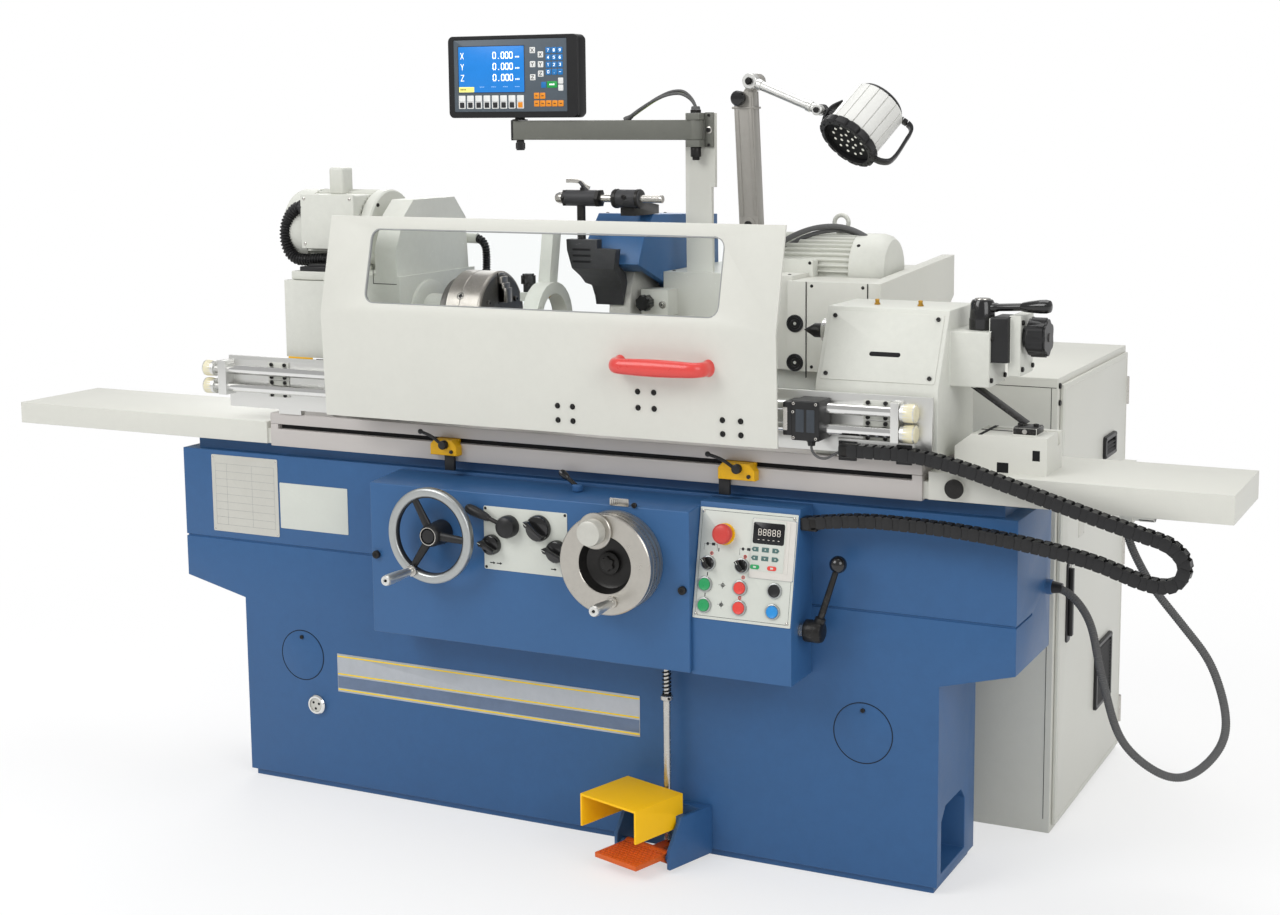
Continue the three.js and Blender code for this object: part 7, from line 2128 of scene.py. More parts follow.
    def tray_details(self) -> None:
        """Slots and grooves as near-black strips of painted shade, the dark clamp of the swivel scale
        block, and the hose clamp's knob.
        """
        s = Shape()
        # near-black strips: painted shade in the block's slots and grooves
        dark = (
            ((0.874, -0.0882, 0.9046), (0.882, 0.0222, 0.9054)),
            ((0.863, -0.0335, 0.9046), (0.935, -0.0265, 0.9054)),
            ((0.835, -0.0335, 0.8796), (0.8622, -0.0265, 0.8804)),
            ((0.911, -0.0884, 0.836), (0.933, -0.0876, 0.855)),
            ((0.978, -0.0884, 0.862), (0.992, -0.0876, 0.8815)),
        )
        for low, high in dark:
            s.box(low, high, 0.0002, 1, 1)
        s.box((0.9345, -0.0705, 0.9055), (0.9805, -0.0195, 0.9198), 0.0025, 2, 3)
        s.turned(
            (0.9575, -0.0703, 0.9125), TOWARDS, [(0.0, 0.0045), (0.0006, 0.0045), (0.0006, 0.003)], 24, 2
        )
        for x in (0.9425, 0.9725):
            cap_screw(s, (x, -0.045, 0.9198), UP, 0.0052, 3, 1)
        disc(s, (0.845, -0.1375, 0.808), TOWARDS, 0.0185, 0.0035, 3)
        knob = [(0.0, 0.0085), (0.012, 0.0085), (0.012, 0.0125), (0.04, 0.0125), (0.0425, 0.011)]
        s.turned((1.1158, 0.146, 0.728), RIGHT, knob, 8, 4)
        s.made("swivel_scale", "lower_table", TURNED_STEEL, RECESS_SHADE_AND_MARKS, GROUND_STEEL, BLACK_OXIDE, BLACK)


@dataclass
class Door:
    """The splash door: bent sheet, window, handle and its bolts."""

    corners: tuple = ((-0.21, 0.872), (-0.22, 1.089), (-0.17, 1.291))

    def build(self) -> None:
        """Builds the door."""
        rounded("door_panel", WHITE, 0.0008, "door")
        self.window()
        self.handle()
        self.bolts()

    def window(self) -> None:
        """A clear pane with a rounded outline behind the opening, and a thin rubber edge round it."""
        low, high = vec((-0.22, 1.089)), vec((-0.17, 1.291))
        up = unit((0.0, *(high - low)))
        out = np.cross(RIGHT, up)
        base = vec((0.0, -0.22, 1.089))
        rise = (1.114 - 1.089) / up[2], (1.267 - 1.089) / up[2]
        pane = Shape()
        outline = rectangle(-0.422, 0.412, rise[0] - 0.012, rise[1] + 0.012, 0.028, 8)
        pane.slab(outline, base - 0.0105 * out, RIGHT, up, 0.003, 0.0004)
        glass = bpy.data.materials.new("clear_sheet")
        glass.use_nodes = True
        tree = glass.node_tree
        shader = tree.nodes["Principled BSDF"]
        shader.inputs["Base Color"].default_value = (0.95, 0.97, 0.965, 1)
        shader.inputs["Transmission Weight"].default_value = 1.0
        shader.inputs["IOR"].default_value = 1.02
        shader.inputs["Roughness"].default_value = 0.02
        place = tree.nodes.new("ShaderNodeTexCoord").outputs["Object"]
        wave = Finish.effect(tree, "grain", place, Scale=(9.0, 9.0, 9.0))
        bump = node(tree, "ShaderNodeBump", Strength=0.15, Distance=0.0002)
        tree.links.new(wave.outputs["Height"], bump.inputs["Height"])
        tree.links.new(bump.outputs["Normal"], shader.inputs["Normal"])
        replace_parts(pane.made("door_pane", "door", glass), "door_window")
        edge = Shape()
        lip = rectangle(-0.4095, 0.3995, rise[0] + 0.0005, rise[1] - 0.0005, 0.0215, 8)
        inner = inset(lip, 0.0022)
        n = len(lip)
        rings = [(lip, 0.0), (lip, -0.0058), (inner, -0.0058), (inner, 0.0)]
        grid = [base + r[:, :1] * vec(RIGHT) + r[:, 1:] * up + d * out for r, d in rings]
        edge.add(np.array([*grid, grid[0]]), grid_faces(5, n))
        edge.made("window_edging", "door", CAP_GREY)

    def handle(self) -> None:
        """A moulded pull: a grip that swells at its middle and turns in to two flared feet."""
        x0, x1, z = 0.192, 0.381, 1.019
        foot, reach = -0.2165, -0.2585
        r = 0.022
        q = np.linspace(0, np.pi / 2, 7)
        left = np.stack([x0 + r * (1 - np.sin(q[::-1])), reach + r * (1 - np.cos(q[::-1]))], -1)
        right = np.stack([x1 - r * (1 - np.sin(q)), reach + r * (1 - np.cos(q))], -1)
        line = np.vstack([(x0, foot), left, right, (x1, foot)])
        path = smooth_path(np.stack([line[:, 0], line[:, 1], np.full(len(line), z)], -1), 90)
        along = np.linspace(0, 1, 90)
        wide = 0.0148 - 0.0015 * np.cos(2 * np.pi * along) + 0.003 * np.exp(-((along / 0.03) ** 2))
        wide = wide + 0.003 * np.exp(-(((1 - along) / 0.03) ** 2))
        way = np.gradient(path, axis=0)
        way /= np.linalg.norm(way, axis=1, keepdims=True)
        side = np.cross(UP, way)
        a = spread(28)
        grid = path[:, None] + wide[:, None, None] * (
            0.82 * np.cos(a)[None, :, None] * side[:, None] + 1.05 * np.sin(a)[None, :, None] * vec(UP)
        )
        pull = Shape().add(grid, tube_faces(90, 28)).made("door_pull", "door", HANDLE_RED)
        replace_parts(pull, "door_handle")

    def bolts(self) -> None:
        """Three sets of four dark socket screws with washers, where the bearing blocks are fastened."""
        s = Shape()
        sets = (
            ((0.048, 0.082), (0.926, 0.897)), ((0.228, 0.263), (0.965, 0.933)),
            ((0.408, 0.446), (0.92, 0.893))
        )
        out = unit((0.0, -0.217, 0.01))
        for xs, zs in sets:
            for x in xs:
                for z in zs:
                    y = -0.21 - 0.01 * (z - 0.872) / 0.217
                    disc(s, (x, y, z), out, 0.0058, 0.0008, 1, 24)
                    cap_screw(s, vec((x, y, z)) + 0.0007 * out, out, 0.0042, 0, 1)
        s.made("door_bolts", "door", BLACK_OXIDE, RECESS_SHADE_AND_MARKS)


# Foot pedal


@dataclass
class Pedal:
    """The foot pedal: yellow guard on blue cheeks, chequered plate, rod with its collar, and the spring."""

    turn: float = -17.0
    centre: tuple = (0.2075, -0.215)
    rod: tuple = (0.2541, -0.1498)
    coils: int = 9

    def build(self) -> None:
        """Builds the pedal's pieces."""
        rounded("pedal_bracket", BLUE, 0.0012, "bed", (YELLOW,), self.guard_slot)
        rounded("pedal", ORANGE, 0.0015, "pedal")
        self.chequers()
        self.rod_and_spring()

    def guard_slot(self, place: Array) -> int:
        """One for a face of the yellow guard, zero for one of the blue cheeks.

        Args:
            place: the face's middle.

        Returns:
            The slot.
        """
        x, y = self.unturned(place)
        cheek = 0.1432 < x < 0.1528
        return int(place[2] > 0.0817 and not cheek and x < 0.2853 and y < -0.1487)

    def unturned(self, place: Array) -> tuple[float, float]:
        """The x and y that a point of the pedal had before it was turned on its centre.

        Args:
            place: the point.

        Returns:
            The two values.
        """
        a = math.radians(-self.turn)
        dx, dy = place[0] - self.centre[0], place[1] - self.centre[1]
        return (
            self.centre[0] + dx * math.cos(a) - dy * math.sin(a),
            self.centre[1] + dx * math.sin(a) + dy * math.cos(a),
        )

    def chequers(self) -> None:
        """Raised lozenges on the plate, in rows offset by half a step, and the pivot's end caps."""
        s = Shape()
        for row, y in enumerate(np.arange(-0.275, -0.191, 0.0088)):
            for x in np.arange(0.1705 + 0.0055 * (row % 2), 0.273, 0.011):
                outline = [(x - 0.0046, y), (x, y - 0.0034), (x + 0.0046, y), (x, y + 0.0034)]
                s.slab(outline, (0, 0, 0.0338), RIGHT, AWAY, 0.0016, 0.0008)
        s.swung(Swing((*self.centre, 0.0), UP, math.radians(self.turn)))
        s.made("pedal_chequers", "pedal", ORANGE)

    def rod_and_spring(self) -> None:
        """A ground rod with a pointed foot and a collar, and a wound spring round its upper part."""
        x, y = self.rod
        s = Shape()
        profile = [
            (0.0311, 0.0011), (0.038, 0.0074), (0.3308, 0.0075), (0.3311, 0.0115), (0.3322, 0.0125),
            (0.3398, 0.0125), (0.3409, 0.0115), (0.3411, 0.006), (0.4226, 0.006), (0.4232, 0.0052)
        ]
        s.turned((x, y, 0.0), UP, profile, 32)
        cap_screw(s, (x + 0.0088, y - 0.0088, 0.336), (1, -1, 0), 0.0028, 1, 1)
        rod = s.made("pedal_push_rod", "pedal_rod", TURNED_STEEL, BLACK_OXIDE)
        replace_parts(rod, "pedal_rod")
        t = np.linspace(0, 1, 400)
        lead = np.clip(t * (self.coils + 2) - 1, 0, self.coils) / self.coils
        a = 2 * np.pi * (self.coils + 2) * t
        low, high = 0.3428, 0.4152
        z = low + (high - low) * (0.93 * lead + 0.07 * t)
        path = np.stack([x + 0.0083 * np.cos(a), y + 0.0083 * np.sin(a), z], -1)
        spring = Shape().bar(path, 0.00125, 8).made("wound_spring", "bed", BLACK_OXIDE)
        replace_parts(spring, "pedal_spring")
        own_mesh(spring)


# Workhead


def finned_barrel(
    shape: Shape, ends: tuple, middle: tuple, core: float, fin: float, count: int, taper: float = 0.88
) -> None:
    """A motor's frame along x: radius = core + fin * max(0, cos(count * angle))^(1/3).

    Args:
        shape: the shape that it is added to.
        ends: where it starts and ends along x.
        middle: the axis' y and z.
        core: the radius between the fins.
        fin: a fin's height.
        count: how many fins go round.
        taper: the share of the radius that is left at its ends.
    """
    sides = count * 6
    a = spread(sides)
    size = core + fin * np.clip(np.cos(count * a), 0, 1) ** (1 / 3)
    grid = np.empty((4, sides, 3))
    grid[..., 0] = vec((ends[0], ends[0], ends[1], ends[1]))[:, None]
    grow = vec((taper, 1.0, 1.0, taper))[:, None]
    grid[..., 1] = middle[0] + grow * size * np.cos(a)
    grid[..., 2] = middle[1] + grow * size * np.sin(a)
    shape.add(grid, tube_faces(4, sides))


@dataclass
class Workhead:
    """The workhead: casting with lid and belt cover, finned motor with its box and conduit, and chuck."""

    axis_z: float = WORK_HEIGHT
    motor: tuple = (0.04, 1.25, 0.088)
    fins: int = 44

    def build(self) -> None:
        """Builds the workhead."""
        rounded("workhead_body", WHITE_CAST, 0.003, "workhead")
        self.covers()
        self.finned_motor()
        self.terminal_box()
        self.conduit()
        self.chuck()

    def covers(self) -> None:
        """The casting's lid with its seam and screws, the yellow strip below it with a small slot beside
        it, and the graduated base; the seam and the slot are drawn dark as painted shade.
        """
        s = Shape()
        s.box((-0.677, -0.103, 1.145), (-0.46, 0.05, 1.164), 0.003, 3, 0)
        strip = [(-0.686, 0.969), (-0.621, 0.969), (-0.621, 0.976), (-0.686, 0.976)]
        s.slab(strip, (0, -0.1099, 0), RIGHT, UP, 0.0009, 0.0003, 2)
        # a small slot beside the strip, near-black as painted shade
        s.box((-0.612, -0.1106, 0.9705), (-0.586, -0.1094, 0.974), 0.0003, 1, 1)
        s.turned(
            (-0.488, 0, 0.8605), UP,
            [(0.0, 0.1072), (0.0, 0.1085), (0.0115, 0.1085), (0.0115, 0.1072)], 96, 3
        )
        for k in range(61):
            a = math.radians(-150 + 2 * k)
            way = vec((math.cos(a), math.sin(a), 0))
            tall = 0.0085 if k % 5 == 0 else 0.005
            side = np.cross(UP, way)
            low = vec((-0.488, 0, 0.8615)) + way * 0.10845
            s.slab(
                [(-0.0003, 0), (0.0003, 0), (0.0003, tall), (-0.0003, tall)], low, side, UP, 0.0002,
                0.00005, 1
            )
        for x in (-0.5715, -0.4045):
            cap_screw(s, (x, -0.0985, 0.8515), UP, 0.0085, 4, 1)
        s.made("workhead_covers", "workhead", WHITE_CAST, RECESS_SHADE_AND_MARKS, YELLOW, GROUND_STEEL, BLACK_OXIDE)
        b = Shape()
        # two thin dark strips: painted shade in a seam of the casting
        b.box((-0.4555, -0.1106, 1.1435), (-0.3965, -0.1096, 1.145), 0.0002, 1)
        b.box((-0.4562, -0.1106, 1.1435), (-0.4548, -0.1096, 1.186), 0.0002, 1)
        b.turned(
            (-0.3955, 0, self.axis_z), RIGHT,
            [(0.0, 0.072), (0.012, 0.071), (0.0145, 0.066), (0.0145, 0.045)], 64, 1
        )
        b.made("workhead_bosses", "workhead", BLACK_OXIDE, WHITE_CAST)

    def finned_motor(self) -> None:
        """Motor: radius = core + fin * max(0, cos(fins * angle))^(1/3), with end bells and a fan cowl."""
        y, z, r = self.motor
        s = Shape()
        finned_barrel(s, (-0.684, -0.535), (y, z), r - 0.0105, 0.0095, self.fins, 0.86)
        bell = [(0.0, 0.0835), (0.004, 0.087), (0.0265, 0.0875), (0.03, 0.084)]
        s.turned((-0.5355, y, z), RIGHT, bell, 64)
        cowl = [
            (0.0, 0.0872), (0.046, 0.0872), (0.056, 0.0838), (0.0595, 0.076), (0.0595, 0.058),
            (0.0575, 0.058)
        ]
        s.turned((-0.684, y, z), LEFT, [*cowl, (0.0575, 0.012), (0.0595, 0.012), (0.0595, 0.001)], 64)
        for k in range(24):
            b = 2 * np.pi * k / 24
            s.box(
                (-0.7437, y + 0.0125, z - 0.0012), (-0.7411, y + 0.0585, z + 0.0012), 0.0004, 1, 0,
                turn=Swing((0.0, y, z), RIGHT, b),
            )
        for k in range(4):
            b = math.pi / 4 + k * math.pi / 2
            cap_screw(s, (-0.5065, y + 0.079 * math.cos(b), z + 0.079 * math.sin(b)), RIGHT, 0.0042, 1, 2)
            flat_screw(
                s, (-0.705, y + 0.087 * math.cos(b), z + 0.087 * math.sin(b)),
                (0, math.cos(b), math.sin(b)), 0.0035, 1
            )
        s.box((-0.69, y - 0.055, 1.1445), (-0.528, y + 0.055, 1.1735), 0.004, 2)
        finishes = (WHITE_CAST, BLACK_OXIDE, RECESS_SHADE_AND_MARKS)
        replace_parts(s.made("workhead_finned_motor", "workhead", *finishes), "workhead_motor")

    def terminal_box(self) -> None:
        """The motor's terminal box with a lid and corner screws, and the dark stepped block under it."""
        s = Shape()
        s.box((-0.6775, -0.056, 1.2115), (-0.5385, 0.02, 1.3275), 0.004, 3)
        s.box((-0.6785, -0.0605, 1.2105), (-0.5375, -0.055, 1.329), 0.0025, 3)
        # a thin near-black sheet under the lid's edge: painted shade in the seam
        s.box((-0.6765, -0.0562, 1.2125), (-0.5395, -0.0545, 1.327), 0.0005, 1, 1)
        for x in (-0.6685, -0.5475):
            for z in (1.2205, 1.319):
                flat_screw(s, (x, -0.0603, z), TOWARDS, 0.004, 3)
        s.box((-0.642, -0.004, 1.326), (-0.604, 0.036, 1.386), 0.006, 4, 0)
        s.box((-0.656, -0.1, 1.1638), (-0.565, -0.061, 1.174), 0.002, 2, 2)
        s.box((-0.634, -0.098, 1.1738), (-0.565, -0.063, 1.18), 0.0015, 2, 2)
        s.made("workhead_terminal_box", "workhead", WHITE_CAST, RECESS_SHADE_AND_MARKS, BLACK, TURNED_STEEL)

    def conduit(self) -> None:
        """A ribbed conduit that loops from the box's top down into the casting's left side."""
        y = -0.045
        route = [
            (-0.68, y, 1.301), (-0.696, y, 1.299), (-0.713, y, 1.287), (-0.7285, y, 1.262),
            (-0.7325, y, 1.232), (-0.7235, y, 1.202), (-0.7035, y, 1.1865), (-0.675, y, 1.1845),
            (-0.64, y, 1.186), (-0.6, y, 1.187), (-0.575, y, 1.187)
        ]
        s = Shape()
        s.ribbed(smooth_path(route, 420), 0.0138, 0.0034, 0.0072, 20)
        s.turned((-0.677, y, 1.301), LEFT, [(0.0, 0.0165), (0.01, 0.0165), (0.012, 0.0145)], 6, 1)
        s.made("workhead_conduit", "workhead", BLACK, BLACK)
        elbow = [
            (-0.425, 0.1725, 1.2225), (-0.425, 0.18, 1.2225), (-0.418, 0.187, 1.2225),
            (-0.4, 0.188, 1.2225), (-0.378, 0.188, 1.2222)
        ]
        rear = [
            (-0.38, 0.188, 1.2222), (-0.368, 0.188, 1.218), (-0.3585, 0.187, 1.205),
            (-0.3555, 0.186, 1.185), (-0.3555, 0.184, 1.15), (-0.3565, 0.182, 1.11), (-0.362, 0.181, 1.083),
            (-0.375, 0.18, 1.071), (-0.3895, 0.18, 1.068)
        ]
        t = Shape()
        t.bar(smooth_path(elbow, 40), 0.0112, 24, 1)
        t.ribbed(smooth_path(rear, 240), 0.0098, 0.0024, 0.0055, 18)
        t.made("workhead_rear_conduit", "workhead", BLACK, WHITE_CAST)

    def chuck(self) -> None:
        """Three-jaw chuck: back ring, bright body, darker face with slots, stepped jaws and key holes; the
        slots and the key holes' depths are near-black painted shade.
        """
        z = self.axis_z
        s = Shape()
        bore = 0.026
        ring = [(0.0, bore), (0.0, 0.076), (0.002, 0.078), (0.0245, 0.078), (0.025, 0.0775), (0.025, bore)]
        s.turned((-0.315, 0, z), RIGHT, ring, 96, 1)
        body = [
            (0.0, bore), (0.0, 0.0925), (0.0025, 0.095), (0.033, 0.095), (0.0345, 0.0938), (0.036, 0.095),
            (0.0785, 0.095), (0.082, 0.0925), (0.0838, 0.089), (0.0838, bore), (0.0, bore)
        ]
        s.turned((-0.2898, 0, z), RIGHT, body, 128, 0)
        face = [
            (0.0, 0.0265), (0.0, 0.0872), (0.001, 0.0872), (0.001, 0.084), (0.0006, 0.0836), (0.0006, 0.04),
            (0.0012, 0.0395), (0.0012, 0.0265)
        ]
        s.turned((-0.2062, 0, z), RIGHT, face, 128, 1)
        for k in range(3):
            a = 2 * math.pi * k / 3
            about = Swing((0.0, 0.0, z), RIGHT, a)
            # near-black strips beside each jaw: painted shade in its slot
            for side in (-1, 1):
                s.box(
                    (-0.2064, side * 0.0135 - 0.0011, z + 0.026),
                    (-0.2048, side * 0.0135 + 0.0011, z + 0.0925), 0.0004, 1, 2, about
                )
            for x1, z0, z1 in ((-0.1962, 0.03, 0.084), (-0.191, 0.03, 0.071), (-0.1862, 0.03, 0.06)):
                s.box((-0.2065, -0.0122, z + z0), (x1, 0.0122, z + z1), 0.0012, 2, 0, about)
            s.box((-0.2065, -0.0128, z + 0.0845), (-0.203, 0.0128, z + 0.0915), 0.0008, 2, 0, about)
            b = a + math.pi / 3
            way = vec((0, -math.sin(b), math.cos(b)))
            s.turned(
                vec((-0.256, 0, z)) + 0.0942 * way, way,
                [(0.0, 0.0085), (0.0012, 0.0085), (0.0012, 0.0062), (0.0, 0.0062)], 24, 1
            )
            # near-black bottom of the key hole: painted shade
            s.turned(vec((-0.256, 0, z)) + 0.0945 * way, way, [(0.0, 0.006), (0.0007, 0.0058)], 4, 2)
            cap_screw(s, vec((-0.2055, 0, z)) + 0.064 * way, RIGHT, 0.0058, 1, 2)
        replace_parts(s.made("three_jaw_chuck", "chuck", CHUCK_STEEL, CHUCK_FACE, RECESS_SHADE_AND_MARKS), "chuck")


# Steady rest and tailstock


@dataclass
class SteadyRest:
    """The steady rest: cast foot, hoop with its pads, leaning arm, star screw and clamp screws."""

    axis_z: float = WORK_HEIGHT

    def build(self) -> None:
        """Builds the steady rest."""
        rounded("steady_rest", WHITE_CAST, 0.0025, "steady_rest", (BLACK,), self.screw_slot)
        z = self.axis_z
        s = Shape()
        for k in range(3):
            a = math.radians(30 + 120 * k)
            way = vec((0, math.cos(a), -math.sin(a)))
            start = vec((-0.094, 0, z)) + 0.0535 * way
            s.turned(start, -way, [(-0.004, 0.0075), (0.008, 0.0075), (0.0115, 0.0055)], 24, 0)
            s.turned(start + 0.021 * way, way, [(0.0, 0.0095), (0.009, 0.0095), (0.0105, 0.008)], 6, 1)
        for x in (-0.148, -0.046):
            cap_screw(s, (x, -0.0705, 0.871), TOWARDS, 0.0075, 1, 2)
            s.turned((x, -0.052, 0.8912), UP, [(0.0, 0.0125), (0.008, 0.0125), (0.0095, 0.011)], 6, 1)
        s.made("steady_pads", "steady_rest", BRASS, BLACK_OXIDE, RECESS_SHADE_AND_MARKS)
        k = Shape()
        top = vec((-0.139, 0.0, self.axis_z + 0.066))
        k.turned(top, UP, [(0.0, 0.0085), (0.006, 0.0085)], 32, 1)
        for (low, high), share in (((0.004, 0.022), 1.0), ((0.022, 0.0255), 0.8)):
            outline = fluted(0.0155 * share, 0.0035 * share, 6, 48)
            k.carried([top + (0, 0, low), top + (0, 0, high)], outline, 0)
        k.made("steady_knob", "steady_rest", GLOSS_BLACK, TURNED_STEEL)

    @staticmethod
    def screw_slot(place: Array) -> int:
        """One for a face of the clamp screw, zero for the casting."""
        return int(place[0] < -0.1279 and place[2] > 1.1285)


@dataclass
class Tailstock:
    """The tailstock: body with a sloped cover, sleeve with its centre, lever, knob, oilers and screws."""

    axis_z: float = WORK_HEIGHT
    knob: tuple = (0.945, 0.0, 1.081)

    def build(self) -> None:
        """Builds the tailstock."""
        rounded("tailstock_body", WHITE_CAST, 0.0028, "tailstock", (BLACK, BLACK_OXIDE), self.part_slot)
        self.fittings()
        self.sleeve()
        self.lever()
        self.star_knob()

    @staticmethod
    def part_slot(place: Array) -> int:
        """Black for the knob and the flange before the end plate, dark steel for the strap, else paint."""
        if place[0] > 0.9352 or (0.8822 < place[0] < 0.9152 and place[2] > 1.0335):
            return 1
        return 2 if place[0] > 0.8825 and place[2] < 1.0075 and place[1] < -0.009 else 0

    def fittings(self) -> None:
        """Seam, slot and screws of the sloped cover, brass oilers, the bore's ring, two nuts at the
        tailstock's base and the screws of its end plates.
        """
        s = Shape()
        low, high = vec((0, -0.118, 0.987)), vec((0, -0.05, 1.13))
        up = unit(high - low)
        s.slab(rectangle(0.5685, 0.7965, 0.01, 0.1485, 0.004), low, RIGHT, up, 0.0022, 0.0008, 0)
        # the cover's slot: a thin near-black plate, painted shade
        s.slab(
            rectangle(0.66, 0.722, 0.06, 0.069, 0.0044, 6), low + 0.0022 * np.cross(RIGHT, up),
            RIGHT, up, 0.0003, 0.0001, 2
        )
        for x in (0.579, 0.786):
            for t in (0.021, 0.138):
                cap_screw(
                    s, low + (x, 0, 0) + t * up + 0.0022 * np.cross(RIGHT, up), np.cross(RIGHT, up),
                    0.0042, 1, 2
                )
        for x in (0.64, 0.728):
            s.turned(
                (x, 0.005, 1.1302), UP,
                [(0.0, 0.0062), (0.003, 0.0062), (0.003, 0.0045), (0.006, 0.0045)], 6, 3
            )
            s.turned(
                (x, 0.005, 1.136), UP,
                [(0.0, 0.0036), (0.002, 0.0044), (0.004, 0.0044), (0.0052, 0.0032)], 24, 3
            )
        s.turned(
            (0.5602, 0, self.axis_z), LEFT,
            [(0.0, 0.0255), (0.0, 0.036), (0.0045, 0.036), (0.0055, 0.035), (0.0055, 0.0262)], 64, 4
        )
        for k in range(4):
            a = math.pi / 4 + k * math.pi / 2
            flat_screw(
                s, (0.5546, 0.0307 * math.cos(a), self.axis_z + 0.0307 * math.sin(a)), LEFT, 0.0028, 1
            )
        for x in (0.583, 0.782):
            s.turned((x, -0.1183, 0.872), TOWARDS, [(0.0, 0.0115), (0.007, 0.0115), (0.0082, 0.0102)], 6, 1)
        for z in (1.021, 1.109):
            for y in (-0.018, 0.052):
                cap_screw(s, (0.9352, y, z), RIGHT, 0.0048, 1, 2)
        for y in (-0.04, 0.05):
            for z in (1.0, 1.078):
                cap_screw(s, (0.8822, y, z), RIGHT, 0.0048, 1, 2)
        s.made("tailstock_fittings", "tailstock", WHITE_CAST, BLACK_OXIDE, RECESS_SHADE_AND_MARKS, BRASS, TURNED_STEEL)

    def sleeve(self) -> None:
        """Ground sleeve with chamfers and a groove, its nut, and the centre with a 60 degree point."""
        z = self.axis_z
        s = Shape()
        centre = [(0.0, 0.0012), (0.0225, 0.014), (0.0345, 0.0142), (0.042, 0.0142)]
        s.turned((0.4902, 0, z), RIGHT, centre, 64, 1)
        sleeve = [
            (0.0, 0.0142), (0.0, 0.0225), (0.0015, 0.024), (0.006, 0.024), (0.0066, 0.0234),
            (0.0075, 0.0234), (0.0081, 0.024), (0.1065, 0.024), (0.108, 0.0225)
        ]
        s.turned((0.532, 0, z), RIGHT, sleeve, 96, 0)
        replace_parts(s.made("tailstock_sleeve", "tailstock_quill", CHROME, BLACK_OXIDE), "tailstock_quill")

    def lever(self) -> None:
        """Lever: turned hub with a cap, a steel arm and a long black grip that swells at its end."""
        foot = vec((0.852, 0.002, 1.0916))
        root = foot + (0, 0, 0.0406)
        tip = vec((0.991, -0.024, 1.142))
        way = unit(tip - root)
        s = Shape()
        hub = [
            (0.0, 0.0245), (0.001, 0.0252), (0.02, 0.0252), (0.0215, 0.024), (0.05, 0.0225),
            (0.0555, 0.0195), (0.0578, 0.012)
        ]
        s.turned(foot, UP, hub, 64, 0)
        s.turned(foot + (0, 0, 0.057), UP, [(0.0, 0.015), (0.0014, 0.0146), (0.0018, 0.013)], 48, 1)
        length = float(np.linalg.norm(tip - root))
        s.turned(
            root + 0.018 * way, way,
            [(0.0, 0.0095), (0.012, 0.0088), (0.016, 0.0072), (0.64 * length, 0.0074)], 32, 0
        )
        grip = [
            (0.0, 0.008), (0.004, 0.0092), (0.018, 0.011), (0.038, 0.0128), (0.05, 0.013), (0.0575, 0.0112),
            (0.06, 0.006), (0.0602, 0.001)
        ]
        s.turned(tip - 0.06 * way, way, grip, 40, 0)
        finishes = (GLOSS_BLACK, TURNED_STEEL, RECESS_SHADE_AND_MARKS)
        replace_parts(s.made("tailstock_hand_lever", "tailstock_lever", *finishes), "tailstock_lever")

    def star_knob(self) -> None:
        """A six-lobed black grip over the plain disc of the solid, with a threaded rod end."""
        x, y, z = self.knob
        s = Shape()
        for low, high, share in ((-0.0005, 0.004, 0.93), (0.004, 0.032, 1.0), (0.032, 0.0365, 0.93)):
            outline = fluted(0.0375 * share, 0.0055 * share, 6, 72)
            s.carried([(x + low, y, z), (x + high, y, z)], outline, 0)
        s.turned((x + 0.0362, y, z), RIGHT, [(0.0, 0.009), (0.002, 0.008), (0.0024, 0.0045)], 32, 1)
        s.made("tailstock_knob", "tailstock", BLACK, BLACK_OXIDE)


# Wheelhead: slide, housing, hood, wheel, motor and coolant


